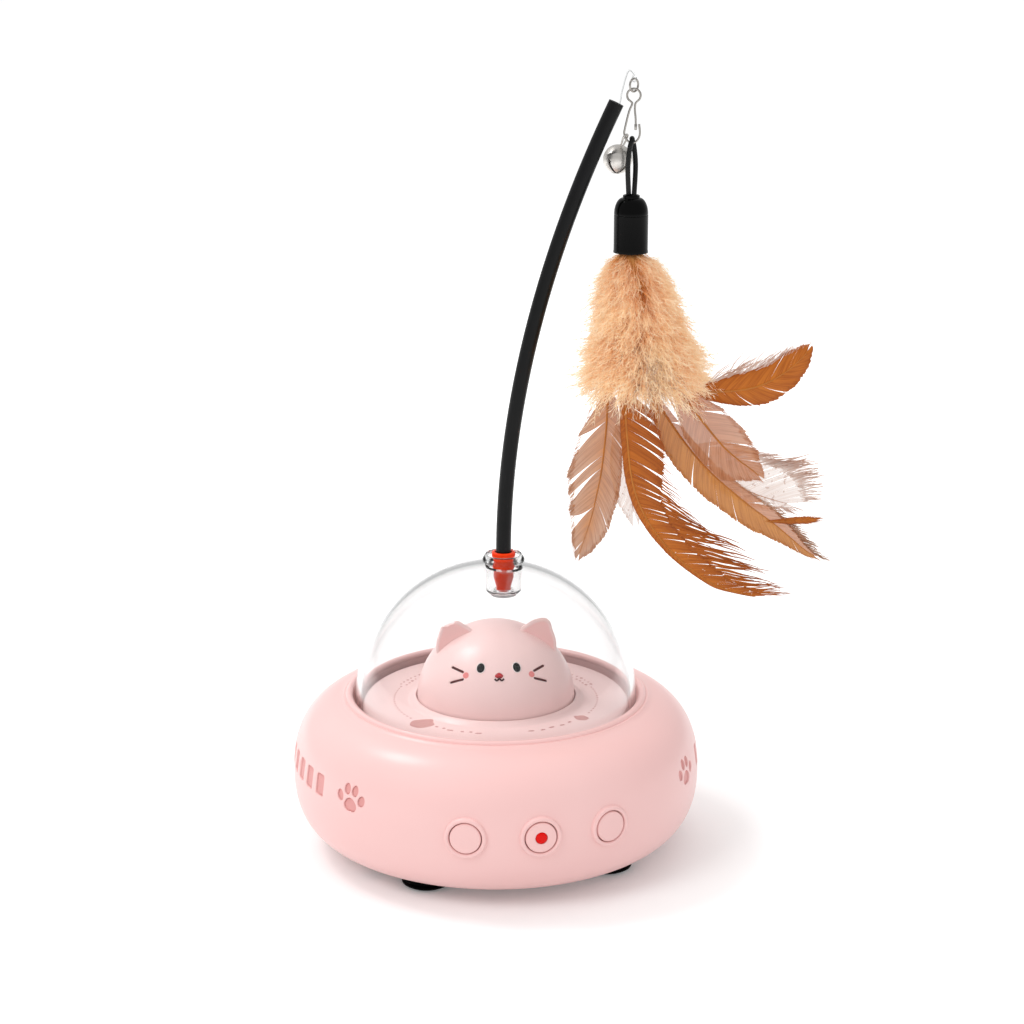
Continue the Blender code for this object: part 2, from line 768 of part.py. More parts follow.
def sector_mesh(profile, start, end, steps):
    """A closed section turned part of the way round Z, from one azimuth to another."""
    bm = bmesh.new()
    turn = Matrix.Rotation(start - math.pi / 2, 4, "Z")
    verts = [bm.verts.new(turn @ Vector((r, 0, z))) for r, z in profile]
    face = bm.faces.new(verts)
    geometry = verts + list(face.edges) + [face]
    bmesh.ops.spin(bm, geom=geometry, cent=(0, 0, 0), axis=(0, 0, 1), angle=end - start, steps=steps)
    return bm


def band(low, high, inner_inset, outer_inset, steps):
    """A section that follows the side between two heights and two depths."""
    section = []
    for inset, start, end in ((inner_inset, low, high), (outer_inset, high, low)):
        ends = side_angle_at_height(start, inset), side_angle_at_height(end, inset)
        section += side_arc(*ends, inset, steps)
    return section


def make_inlays(base, looks):
    """One rose moulding on each side: a strip behind the wall whose pads fill the paw and the stripes."""
    low = PAW_Z - PAW_PAD_HEIGHT / 2 - INLAY_MARGIN
    high = STRIPE_Z + STRIPE_HEIGHT / 2 + INLAY_MARGIN
    start = PAW_ANGLE - (TOE_REACH + TOE_WIDTH + INLAY_MARGIN) / SHELL_RADIUS
    end = STRIPE_FIRST + STRIPE_PITCH * (STRIPE_COUNT - 1) + (STRIPE_WIDTH / 2 + INLAY_MARGIN) / SHELL_RADIUS
    behind = SHELL_WALL + GAP * 3
    for side, name in ((-1, "left"), (1, "right")):
        first, last = (start, end) if side > 0 else (-end, -start)
        pads = band(low, high, behind + INLAY_WALL / 2, INLAY_SINK, 3)
        inlay = add_object(f"{name}_inlay", sector_mesh(pads, first, last, 9), looks["inlay"], base)
        prisms = pocket_prisms(side, GAP, SHELL_RADIUS - SHELL_WALL * 4, SHELL_RADIUS + OVERRUN)
        combine(inlay, helper(f"{name}_pads", prisms, base), "INTERSECT")
        strip = band(low, high, behind + INLAY_WALL, behind, 3)
        join(inlay, helper(f"{name}_strip", sector_mesh(strip, first, last, 9), base))


# Base plate, feet and screws


def make_base_plate(base, looks):
    edge = MOUTH_RADIUS - GAP
    start = side_angle_at_radius(edge, 0, False)
    under = [(0, 0), (UNDERSIDE_RADIUS, 0)]
    for share in (0.35, 0.7, 1.0):
        radius = UNDERSIDE_RADIUS + (edge - UNDERSIDE_RADIUS) * share
        under.append((radius, side_point(side_angle_at_radius(radius, 0, False))[1]))
    rim_z = side_point(start)[1] + PLATE_RIM_HEIGHT
    inner = [
        (edge, rim_z),
        (edge - PLATE_WALL / 2, rim_z),
        (COLUMN_CIRCLE + COLUMN_RADIUS, plate_inner_z(COLUMN_CIRCLE)),
        (UNDERSIDE_RADIUS, PLATE_WALL),
        (0, PLATE_WALL),
    ]
    plate = lathe("base_plate", under + inner, looks["shell"], base, BODY_STEPS, closed=False)
    posts = bmesh.new()
    holes = bmesh.new()
    for centre in board_post_centres():
        add_stake(posts, centre, BOARD_Z)
    for centre in charge_post_centres():
        add_stake(posts, centre, CHARGE_BOARD_Z)
    for angle in FOOT_ANGLES:
        stem = circle(FOOT_STEM_RADIUS + GAP, TINY_STEPS, on_circle(angle, FOOT_CIRCLE))
        prism_mesh(stem, -OVERRUN, PLATE_WALL + OVERRUN, holes)
    for centre in column_centres():
        shank = circle(SCREW_SHANK_RADIUS + GAP, TINY_STEPS, centre)
        prism_mesh(shank, -OVERRUN, plate_inner_z(COLUMN_CIRCLE) + OVERRUN, holes)
    join(plate, helper("plate_posts", posts, base))
    for index, cradle in enumerate(cradle_meshes()):
        join(plate, helper(f"cell_cradle_{index}", cradle, base))
    cut(plate, helper("plate_holes", holes, base))
    sinks = bmesh.new()
    for centre in column_centres():
        head = circle(SCREW_HEAD_RADIUS + GAP, TINY_STEPS, centre)
        prism_mesh(head, -OVERRUN, screw_seat_z(), sinks)
    cut(plate, helper("screw_sinks", sinks, base))
    return plate


def screw_seat_z():
    """The counterbore's floor under the base plate."""
    return plate_inner_z(COLUMN_CIRCLE) - PLATE_WALL / 2


def cell_centre_z():
    return PLATE_WALL + CELL_CLEAR_HEIGHT + CELL_RADIUS


def cradle_meshes():
    """Two saddles that hold the cell from below."""
    saddles = []
    for side in (-1, 1):
        middle = side * (CELL_LENGTH / 2 - CRADLE_INSET)
        half = CELL_RADIUS + GAP + CRADLE_THICKNESS / 2
        outline = [(-half, PLATE_WALL / 2), (half, PLATE_WALL / 2), (half, PLATE_WALL / 2 + CRADLE_HEIGHT)]
        for i in range(9):
            angle = -math.pi * i / 8
            outline.append(
                (
                    (CELL_RADIUS + GAP) * math.cos(angle),
                    max(
                        PLATE_WALL + GAP,
                        min(
                            PLATE_WALL / 2 + CRADLE_HEIGHT,
                            cell_centre_z() + (CELL_RADIUS + GAP) * math.sin(angle),
                        ),
                    ),
                )
            )
        outline.append((-half, PLATE_WALL / 2 + CRADLE_HEIGHT))
        place = Matrix(((0, 0, 1, 0), (1, 0, 0, CELL_Y), (0, 1, 0, 0), (0, 0, 0, 1)))
        saddles.append(
            prism_mesh(outline, middle - CRADLE_THICKNESS / 2, middle + CRADLE_THICKNESS / 2, None, place)
        )
    return saddles


def make_feet(base, looks):
    """Rubber feet with a groove round them, each held by a barbed stem through the plate."""
    stem_top = PLATE_WALL + GAP
    barb = FOOT_STEM_RADIUS + FOOT_BARB_WIDTH
    groove_z = -GAP - FOOT_DEPTH / 3
    half_groove = FOOT_GROOVE_DEPTH / 2
    profile = [
        (0, stem_top + FOOT_BARB_HEIGHT),
        (FOOT_STEM_RADIUS, stem_top + FOOT_BARB_HEIGHT),
        (barb, stem_top),
        (FOOT_STEM_RADIUS, stem_top),
        (FOOT_STEM_RADIUS, -GAP),
        (FOOT_RADIUS, -GAP),
        (FOOT_RADIUS, groove_z + half_groove),
        (FOOT_RADIUS - FOOT_GROOVE_DEPTH, groove_z),
        (FOOT_RADIUS, groove_z - half_groove),
        (FOOT_RADIUS - FOOT_GROOVE_DEPTH / 2, groove_z - FOOT_DEPTH / 3),
        (FOOT_RADIUS * 3 / 4, -FOOT_DEPTH),
        (0, -FOOT_DEPTH),
    ]
    for index, angle in enumerate(FOOT_ANGLES):
        centre = on_circle(angle, FOOT_CIRCLE)
        place = Matrix.Translation((*centre, 0))
        lathe(f"foot_{index + 1}", profile, looks["rubber"], base, TINY_STEPS + 2, False, place)


def add_screw(name, centre, seat_z, parent, looks):
    """A pan-head screw driven upwards; its head lies under the seat."""
    head_top = seat_z - GAP
    head_low = head_top - SCREW_HEAD_HEIGHT
    tip = seat_z + SCREW_LENGTH - SCREW_HEAD_HEIGHT
    profile = [
        (0, head_low),
        (SCREW_HEAD_RADIUS * 3 / 4, head_low),
        (SCREW_HEAD_RADIUS, head_top - SCREW_HEAD_HEIGHT / 2),
        (SCREW_HEAD_RADIUS, head_top),
        (SCREW_SHANK_RADIUS, head_top),
        (SCREW_SHANK_RADIUS, tip - SCREW_SHANK_RADIUS),
        (0, tip),
    ]
    lathe(name, profile, looks["steel"], parent, 6, False, Matrix.Translation((*centre, 0)))


def add_stake(bm, centre, board_z):
    """A post under a board, with a pin through it that is melted over on top."""
    pin = SCREW_SHANK_RADIUS
    board_top = board_z + BOARD_WALL
    profile = [
        (0, PLATE_WALL / 2),
        (POST_RADIUS, PLATE_WALL / 2),
        (POST_RADIUS, board_z - GAP),
        (pin, board_z - GAP),
        (pin, board_top + GAP),
        (POST_RADIUS * 3 / 4, board_top + GAP),
        (pin, board_top + GAP + STAKE_HEAD_HEIGHT),
        (0, board_top + GAP + STAKE_HEAD_HEIGHT),
    ]
    lathe_mesh(profile, 6, False, bm, centre)


def make_base_screws(base, looks):
    for index, centre in enumerate(column_centres()):
        add_screw(f"base_screw_{index + 1}", centre, screw_seat_z(), base, looks)
    for index, centre in enumerate(gearbox_screw_places()):
        add_screw(f"motor_screw_{index + 1}", centre, gearbox_top_z() - GEARBOX_EAR_THICKNESS, base, looks)


# Boards, switches, port and cell


def board_post_centres():
    return [on_circle(angle, BOARD_INNER + POST_RADIUS * 2) for angle in (-32, 0, 32)]


def charge_board_y():
    """The charge board's outer edge, just inside the shell."""
    return side_radius(CHARGE_BOARD_Z, SHELL_WALL) - BEAD_WIDTH


def charge_post_centres():
    reach = CHARGE_BOARD_WIDTH / 2 - POST_RADIUS
    y = charge_board_y() - CHARGE_BOARD_DEPTH + POST_RADIUS
    return [(-reach, y), (reach, y)]


def make_boards(base, looks):
    steps = 10
    arc = [-BOARD_SPREAD + 2 * BOARD_SPREAD * i / steps for i in range(steps + 1)]
    outline = [on_circle(math.degrees(a), BOARD_OUTER) for a in arc]
    outline += [on_circle(math.degrees(a), BOARD_INNER) for a in reversed(arc)]
    board = prism_mesh(outline, BOARD_Z, BOARD_Z + BOARD_WALL)
    main_board = add_object("main_board", board, looks["board"], base)
    holes = bmesh.new()
    for centre in board_post_centres():
        hole = circle(SCREW_SHANK_RADIUS + GAP, 8, centre)
        prism_mesh(hole, BOARD_Z - OVERRUN, BOARD_Z + BOARD_WALL + OVERRUN, holes)
    cut(main_board, helper("board_holes", holes, base))
    far = charge_board_y()
    outline = rounded_rectangle(
        CHARGE_BOARD_WIDTH, CHARGE_BOARD_DEPTH, BOARD_WALL, 2, (0, far - CHARGE_BOARD_DEPTH / 2)
    )
    board = prism_mesh(outline, CHARGE_BOARD_Z, CHARGE_BOARD_Z + BOARD_WALL)
    charge_board = add_object("charge_board", board, looks["board"], base)
    holes = bmesh.new()
    for centre in charge_post_centres():
        hole = circle(SCREW_SHANK_RADIUS + GAP, 8, centre)
        prism_mesh(hole, CHARGE_BOARD_Z - OVERRUN, CHARGE_BOARD_Z + BOARD_WALL + OVERRUN, holes)
    cut(charge_board, helper("charge_board_holes", holes, base))


def switch_face_radius():
    """How far out the switches' plungers reach: a pressed button's stem stops just short of them."""
    button_depth = BUTTON_FLANGE_DROP + BUTTON_FLANGE_THICKNESS + BUTTON_STEM_RADIUS
    return SHELL_RADIUS - button_depth - BUTTON_TRAVEL - GAP


def make_switches(base, looks):
    """Three side-push switches in a row on the board's edge, and the lamp beside the middle one."""
    low = BOARD_Z + BOARD_WALL + GAP
    body_face = switch_face_radius() - SWITCH_PLUNGER_LENGTH
    for name, azimuth, offset in (
        ("left_switch", -BUTTON_PITCH, 0.0),
        ("power_switch", 0.0, -POWER_STEM_OFFSET),
        ("right_switch", BUTTON_PITCH, 0.0),
    ):
        place = outward(azimuth, 0, 0) @ Matrix.Translation((offset, 0, 0))
        body = [
            (-SWITCH_WIDTH / 2, low),
            (SWITCH_WIDTH / 2, low),
            (SWITCH_WIDTH / 2, low + SWITCH_HEIGHT),
            (-SWITCH_WIDTH / 2, low + SWITCH_HEIGHT),
        ]
        box = prism_mesh(body, body_face - SWITCH_DEPTH, body_face, None, place)
        switch = add_object(name, box, looks["black"], base)
        pin = circle(SWITCH_PLUNGER_RADIUS, 8, (0, BUTTON_Z))
        plunger = prism_mesh(pin, body_face - SWITCH_DEPTH / 2, switch_face_radius(), None, place)
        join(switch, helper(f"{name}_plunger", plunger, base))
    tip = switch_face_radius()
    lamp = [
        (0, tip),
        (LED_RADIUS * 2 / 3, tip - LED_RADIUS / 3),
        (LED_RADIUS, tip - LED_RADIUS),
        (LED_RADIUS, tip - LED_LENGTH),
        (0, tip - LED_LENGTH),
    ]
    led = lathe("indicator_led", lamp, looks["red_lens"], base, 10, False, outward(0, 0, BUTTON_Z))
    half = LED_RADIUS / 2
    leg = [(-half, low), (half, low), (half, BUTTON_Z), (-half, BUTTON_Z)]
    rear = tip - LED_LENGTH + LED_RADIUS
    legs = prism_mesh(leg, rear, rear + LED_RADIUS, None, outward(0, 0, 0))
    join(led, helper("led_legs", legs, base))


def make_port(base, looks):
    """The charging socket's steel shell, open towards the back."""
    mouth = side_radius(port_z()) - PORT_SETBACK
    place = outward(math.pi, 0, port_z())
    corner = PORT_HEIGHT / 2 - PORT_WALL / 4
    outside = rounded_rectangle(PORT_WIDTH, PORT_HEIGHT, corner, 4)
    body = prism_mesh(outside, mouth - PORT_DEPTH, mouth, None, place)
    port = add_object("usb_socket", body, looks["steel"], base)
    walls = 2 * PORT_WALL
    inside = rounded_rectangle(PORT_WIDTH - walls, PORT_HEIGHT - walls, corner - PORT_WALL, 4)
    tool = prism_mesh(inside, mouth - PORT_DEPTH + PORT_WALL * 3, mouth + OVERRUN, None, place)
    cut(port, helper("port_cavity", tool, base))
    tongue_half = PORT_WIDTH / 2 - PORT_HEIGHT / 2
    tongue = [
        (-tongue_half, -PORT_WALL),
        (tongue_half, -PORT_WALL),
        (tongue_half, PORT_WALL),
        (-tongue_half, PORT_WALL),
    ]
    blade = prism_mesh(tongue, mouth - PORT_DEPTH + PORT_WALL, mouth - PORT_SETBACK, None, place)
    join(port, helper("port_tongue", blade, base))


def make_cell(base, looks):
    half = CELL_LENGTH / 2
    shoulder = BOARD_WALL / 2
    profile = [
        (0, half),
        (CELL_RADIUS / 3, half),
        (CELL_RADIUS / 3, half - shoulder),
        (CELL_RADIUS - shoulder / 2, half - shoulder),
        (CELL_RADIUS, half - shoulder * 3 / 2),
        (CELL_RADIUS, -half + shoulder),
        (CELL_RADIUS - shoulder, -half),
        (0, -half),
    ]
    place = Matrix.Translation((0, CELL_Y, cell_centre_z())) @ Matrix.Rotation(math.pi / 2, 4, "Y")
    lathe("battery_cell", profile, looks["cell"], base, SMALL_STEPS, False, place)


# Gear motor, spindle and gears


def make_motor(base, looks):
    x = -gear_centre_distance()
    top = gearbox_top_z()
    outline = rounded_rectangle(GEARBOX_LENGTH, GEARBOX_WIDTH, GEARBOX_CORNER, 3, (x, 0))
    box = add_object("gearbox_case", prism_mesh(outline, top - GEARBOX_HEIGHT, top), looks["acetal"], base)
    ear_width = 2 * POST_RADIUS + GEARBOX_CORNER / 2
    ears = prism_mesh(
        rounded_rectangle(ear_width, GEARBOX_WIDTH + 2 * GEARBOX_EAR_REACH, ear_width / 2, 4, (x, 0)),
        top - GEARBOX_EAR_THICKNESS,
        top - GAP / 3,
    )
    join(box, helper("gearbox_ears", ears, base))
    holes = bmesh.new()
    for centre in gearbox_screw_places():
        hole = circle(SCREW_SHANK_RADIUS + GAP, 8, centre)
        prism_mesh(hole, top - GEARBOX_EAR_THICKNESS - OVERRUN, top + OVERRUN, holes)
    shaft_hole = circle(MOTOR_SHAFT_RADIUS * 2 + GAP, TINY_STEPS, (x, 0))
    prism_mesh(shaft_hole, top - GEARBOX_HEIGHT / 3, top + OVERRUN, holes)
    cut(box, helper("gearbox_holes", holes, base))
    can_top = top - GEARBOX_HEIGHT - GAP
    bottom = can_top - MOTOR_LENGTH
    soft = GEARBOX_CORNER / 3
    can = [
        (0, can_top),
        (MOTOR_RADIUS, can_top),
        (MOTOR_RADIUS, bottom + soft),
        (MOTOR_RADIUS - soft, bottom),
        (MOTOR_SHAFT_RADIUS * 3, bottom),
        (MOTOR_SHAFT_RADIUS * 3, bottom - soft),
        (0, bottom - soft),
    ]
    place = Matrix.Translation((x, 0, 0))
    lathe("motor_can", can, looks["steel"], base, SMALL_STEPS, False, place)


def involute(angle):
    return math.tan(angle) - angle


def gear_outline(teeth, flank_steps, phase):
    """A gear's outline of involute flanks, thinned by the backlash."""
    pitch = GEAR_MODULE * teeth / 2
    base_radius = pitch * math.cos(PRESSURE_ANGLE)
    root = pitch - DEDENDUM_SHARE * GEAR_MODULE
    tip = pitch + ADDENDUM_SHARE * GEAR_MODULE
    first = max(root, base_radius)
    half = math.pi / (2 * teeth) - GEAR_BACKLASH / (2 * pitch) + involute(PRESSURE_ANGLE)
    flank = []
    if root < base_radius:
        flank.append((root, half))
    for i in range(flank_steps):
        radius = first + (tip - first) * i / (flank_steps - 1)
        flank.append((radius, half - involute(math.acos(min(1.0, base_radius / radius)))))
    outline = []
    for tooth in range(teeth):
        middle = phase + math.tau * tooth / teeth
        side = [(r, middle - a) for r, a in flank] + [(r, middle + a) for r, a in reversed(flank)]
        outline += [(r * math.cos(a), r * math.sin(a)) for r, a in side]
    return outline


def make_spindle(turn, base, looks):
    """The bolt that the turntable turns on, its nut, the flanged bush and the two gears."""
    bush_bore = SPINDLE_RADIUS + GAP
    bush_outer = bush_bore + BUSH_WALL
    flange_low = WELL_FLOOR_Z + GAP
    flange_top = flange_low + BUSH_FLANGE_HEIGHT
    bush_low = WELL_FLOOR_Z - SHELL_WALL - GAP
    bush = [
        (bush_bore, flange_top),
        (bush_outer + BUSH_FLANGE_WIDTH, flange_top),
        (bush_outer + BUSH_FLANGE_WIDTH, flange_low),
        (bush_outer, flange_low),
        (bush_outer, bush_low),
        (bush_bore, bush_low),
    ]
    lathe("spindle_bush", bush, looks["acetal"], base)
    head_low = DECK_Z + GAP
    head_top = head_low + SPINDLE_HEAD_HEIGHT
    gear_top = gear_top_z()
    gear_low = gear_top - GEAR_THICKNESS
    foot = gear_low - GAP - NUT_HEIGHT - GAP
    bolt = [
        (0, head_top),
        (SPINDLE_HEAD_RADIUS * 2 / 3, head_top),
        (SPINDLE_HEAD_RADIUS, head_top - SPINDLE_HEAD_HEIGHT / 2),
        (SPINDLE_HEAD_RADIUS, head_low),
        (SPINDLE_RADIUS, head_low),
        (SPINDLE_RADIUS, foot),
        (0, foot),
    ]
    lathe("spindle", bolt, looks["steel"], turn, TINY_STEPS, False)
    nut_top = gear_low - GAP
    nut = prism_mesh(circle(NUT_RADIUS, 6), nut_top - NUT_HEIGHT, nut_top)
    nut = add_object("spindle_nut", nut, looks["steel"], turn)
    nut_bore = prism_mesh(circle(bush_bore, TINY_STEPS), foot - OVERRUN, nut_top + OVERRUN)
    cut(nut, helper("nut_bore", nut_bore, turn))
    phase = math.pi + BASE_TURN
    gear = prism_mesh(gear_outline(GEAR_TEETH, 2, phase), gear_low, gear_top)
    gear = add_object("drive_gear", gear, looks["acetal"], turn)
    bore = prism_mesh(circle(bush_bore, TINY_STEPS), gear_low - OVERRUN, gear_top + OVERRUN)
    cut(gear, helper("gear_bore", bore, turn))
    pitch = GEAR_MODULE * GEAR_TEETH / 2
    relief_outer = pitch - DEDENDUM_SHARE * GEAR_MODULE - GEAR_RIM_WIDTH
    relief = [
        (HUB_RADIUS, gear_low + GEAR_WEB_THICKNESS),
        (relief_outer, gear_low + GEAR_WEB_THICKNESS),
        (relief_outer, gear_top + OVERRUN),
        (HUB_RADIUS, gear_top + OVERRUN),
    ]
    cut(gear, helper("gear_relief", lathe_mesh(relief, SMALL_STEPS), turn))


def make_pinion(pinion_anchor, place, looks):
    gear_top = gear_top_z()
    low = gearbox_top_z() + GAP
    outline = gear_outline(PINION_TEETH, 3, BASE_TURN + math.pi / PINION_TEETH)
    turned = [(place.x + x, place.y + y) for x, y in outline]
    pinion = prism_mesh(turned, low, gear_top + GAP)
    pinion = add_object("motor_pinion", pinion, looks["acetal"], pinion_anchor)
    shaft = circle(MOTOR_SHAFT_RADIUS * 2, TINY_STEPS, (place.x, place.y))
    stub = prism_mesh(shaft, gearbox_top_z() - GEARBOX_HEIGHT / 3 + GAP, gear_top - GAP)
    join(pinion, helper("pinion_shaft", stub, pinion_anchor))


# Turntable, dome and socket


def make_turntable(turn, looks):
    """The deck with the raised lip round the head and the channel that the dome's rim sits in."""
    channel_z = DECK_Z - CHANNEL_DEPTH
    under = DECK_Z - DECK_WALL
    soft = DECK_WALL / 4
    lip_inner = HEAD_RADIUS + GAP * 2
    lip = []
    for i in range(4):
        share = i / 3
        radius = lip_inner + (COLLAR_LIP_RADIUS - lip_inner) * share
        lip.append((radius, DECK_Z + COLLAR_LIP_RISE * math.cos(math.pi / 2 * share) ** 2))
    bore = SPINDLE_RADIUS + GAP
    hub_low = WELL_FLOOR_Z + GAP + BUSH_FLANGE_HEIGHT + GAP
    profile = [(bore, DECK_Z), (lip_inner, DECK_Z)]
    profile += lip
    profile += [
        (DECK_RADIUS - soft, DECK_Z),
        (DECK_RADIUS, DECK_Z - soft),
        (DECK_RADIUS, channel_z),
        (TABLE_RADIUS, channel_z),
        (TABLE_RADIUS, channel_z - CHANNEL_WALL),
        (DECK_RADIUS - DECK_WALL, channel_z - CHANNEL_WALL),
        (DECK_RADIUS - DECK_WALL, under),
        (HUB_RADIUS, under),
        (HUB_RADIUS, hub_low),
        (bore, hub_low),
    ]
    table = lathe("turntable", profile, looks["shell"], turn, BODY_STEPS)
    holes = bmesh.new()
    for centre in head_boss_centres():
        prism_mesh(circle(SCREW_SHANK_RADIUS + GAP, 8, centre), under - OVERRUN, DECK_Z + OVERRUN, holes)
    cut(table, helper("deck_holes", holes, turn))


def dome_height_at(radius):
    return DOME_CENTRE_Z + math.sqrt(DOME_RADIUS**2 - radius**2)


def make_dome(turn, looks):
    low = DECK_Z - CHANNEL_DEPTH + GAP
    steps = 7
    outer = []
    inner = []
    for i in range(steps + 1):
        angle = math.pi / 2 * i / steps
        outer.append((DOME_RADIUS * math.sin(angle), DOME_CENTRE_Z + DOME_RADIUS * math.cos(angle)))
        radius = DOME_RADIUS - DOME_WALL
        inner.append((radius * math.sin(angle), DOME_CENTRE_Z + radius * math.cos(angle)))
    profile = outer + [(DOME_RADIUS, low), (DOME_RADIUS - DOME_WALL, low)] + inner[::-1]
    dome = lathe("dome", profile, looks["clear"], turn, BODY_STEPS, closed=False)
    hole = prism_mesh(
        circle(SOCKET_RADIUS + GAP, SMALL_STEPS, (SOCKET_X, 0)),
        dome_height_at(SOCKET_X + SOCKET_RADIUS) - DOME_WALL * 2,
        dome_height_at(0) + OVERRUN,
    )
    cut(dome, helper("dome_hole", hole, turn))


def socket_rim_z():
    """The rim's underside, on the dome's crown."""
    return dome_height_at(0) + GAP


def make_socket(turn, looks):
    """The clear cup that holds the rod's plug: a rim on the crown, chamfered floor and a seat ring."""
    rim_low = socket_rim_z()
    rim_top = rim_low + SOCKET_RIM_HEIGHT
    inner = SOCKET_RADIUS - SOCKET_WALL
    floor = SOCKET_BOTTOM_Z + SOCKET_FLOOR_WALL
    seat_inner = PLUG_TIP_RADIUS + GAP
    seat_outer = seat_inner + SOCKET_SEAT_WALL
    soft = SOCKET_RIM_HEIGHT / 4
    profile = [
        (0, SOCKET_BOTTOM_Z),
        (SOCKET_RADIUS - SOCKET_CHAMFER, SOCKET_BOTTOM_Z),
        (SOCKET_RADIUS, SOCKET_BOTTOM_Z + SOCKET_CHAMFER),
        (SOCKET_RADIUS, rim_low),
        (SOCKET_RIM_RADIUS - soft, rim_low),
        (SOCKET_RIM_RADIUS, rim_low + soft),
        (SOCKET_RIM_RADIUS, rim_top - soft * 2),
        (SOCKET_RIM_RADIUS - soft, rim_top - soft / 2),
        (inner + soft, rim_top),
        (inner, rim_top - soft),
        (inner, floor + SOCKET_CHAMFER / 2),
        (inner - SOCKET_CHAMFER / 2, floor),
        (seat_outer, floor),
        (seat_outer, floor + SOCKET_SEAT_HEIGHT / 5),
        (seat_inner, floor + SOCKET_SEAT_HEIGHT / 5),
        (seat_inner, floor),
        (0, floor),
    ]
    place = Matrix.Translation((SOCKET_X, 0, 0))
    lathe("rod_socket", profile, looks["clear"], turn, SMALL_STEPS, False, place)


# Cat head


def head_floor_z():
    return DECK_Z + GAP


def head_base_z():
    return head_floor_z() + HEAD_SKIRT


def head_radius_at(z, inset=0.0):
    share = max(0.0, min(1.0, (z - head_base_z()) / (HEAD_HEIGHT - inset)))
    return (HEAD_RADIUS - inset) * (1 - share**HEAD_ROUNDNESS) ** (1 / HEAD_ROUNDNESS)


def head_profile(inset, steps):
    """From the crown down to the open foot."""
    power = 2 / HEAD_ROUNDNESS
    points = []
    for i in range(steps + 1):
        angle = math.pi / 2 * (1 - i / steps)
        radius = (HEAD_RADIUS - inset) * math.cos(angle) ** power if i else 0.0
        points.append((radius, head_base_z() + (HEAD_HEIGHT - inset) * math.sin(angle) ** power))
    return points


def head_frame(degrees, z, sink=0.0):
    """Local Z stands square on the head's skin at an azimuth and a height; local Y runs up the skin."""
    step = HEAD_SKIRT / 4
    slope = (head_radius_at(z + step) - head_radius_at(z - step)) / (2 * step)
    angle = math.radians(degrees)
    flat = Vector((math.sin(angle), -math.cos(angle), 0))
    out = (flat - Vector((0, 0, 1)) * slope).normalized()
    along = Vector((math.cos(angle), math.sin(angle), 0))
    up = out.cross(along)
    matrix = Matrix((along, up, out)).transposed().to_4x4()
    matrix.translation = flat * head_radius_at(z) + Vector((0, 0, z)) - out * sink
    return matrix


def head_boss_centres():
    return [on_circle(angle, HEAD_BOSS_CIRCLE) for angle in (0, 120, 240)]


def ear_outline(side):
    """An ear seen from the front: a steep outer edge, a round tip and a long inner edge."""
    tip = Vector((EAR_TIP_X, EAR_TIP_Z))
    outer = Vector((EAR_TIP_X + EAR_HALF_WIDTH * 0.66, EAR_TIP_Z - EAR_HALF_WIDTH * 2.3))
    inner = Vector((EAR_TIP_X - EAR_HALF_WIDTH * 1.60, EAR_TIP_Z - EAR_HALF_WIDTH * 0.95))
    root = Vector((EAR_TIP_X - EAR_HALF_WIDTH * 1.30, EAR_TIP_Z - EAR_HALF_WIDTH * 2.3))
    points = [outer]
    points.append(outer + Vector((EAR_TIP_ROUND * 0.05, EAR_HALF_WIDTH * 0.9)))
    points.append(tip + Vector((EAR_TIP_ROUND * 1.05, -EAR_TIP_ROUND * 1.05)))
    points.append(tip + Vector((EAR_TIP_ROUND * 0.55, -EAR_TIP_ROUND * 0.25)))
    points.append(tip)
    points.append(tip + Vector((-EAR_TIP_ROUND * 0.80, -EAR_TIP_ROUND * 0.05)))
    points.append(tip + Vector((-EAR_HALF_WIDTH * 0.85, -EAR_HALF_WIDTH * 0.28)))
    points.append(inner)
    points.append(root)
    return [(side * p.x, p.y) for p in points]


def ear_mesh(side):
    """The ear's flat front, drawn in towards its back so that it ends in a soft wedge."""
    front = ear_outline(side)
    centre_x = side * (EAR_TIP_X + EAR_TIP_ROUND / 2)
    centre_z = EAR_TIP_Z - EAR_HALF_WIDTH * 2.3
    share = EAR_BACK_SHARE
    back = [(centre_x + (x - centre_x) * share, centre_z + (z - centre_z) * share) for x, z in front]
    place = Matrix(((1, 0, 0, 0), (0, 0, 1, 0), (0, 1, 0, 0), (0, 0, 0, 1)))
    bm = prism_mesh(front, -EAR_FRONT_Y, -EAR_FRONT_Y + EAR_THICKNESS, None, place, back)
    edges = [e for e in bm.edges if all(v.co.y > -EAR_FRONT_Y + EAR_THICKNESS / 2 for v in e.verts)]
    bmesh.ops.bevel(bm, geom=edges, offset=EAR_TIP_ROUND / 2, segments=1, affect="EDGES")
    return bm


def whisker_mesh(bm, place_values, side):
    """A slot from one point of the face to another, square to the skin between them."""
    near_angle, near_z, far_angle, far_z = place_values
    near = head_frame(side * near_angle, near_z).translation
    far = head_frame(side * far_angle, far_z).translation
    middle = head_frame(side * (near_angle + far_angle) / 2, (near_z + far_z) / 2)
    out = middle.col[2].to_3d()
    along = far - near
    along -= out * along.dot(out)
    length = along.length
    along.normalize()
    frame = Matrix((along, out.cross(along), out)).transposed().to_4x4()
    frame.translation = middle.translation
    outline = rounded_rectangle(length, WHISKER_WIDTH, WHISKER_WIDTH / 2 - GAP / 4, 2)
    prism_mesh(outline, -WHISKER_DEPTH, OVERRUN, bm, frame)


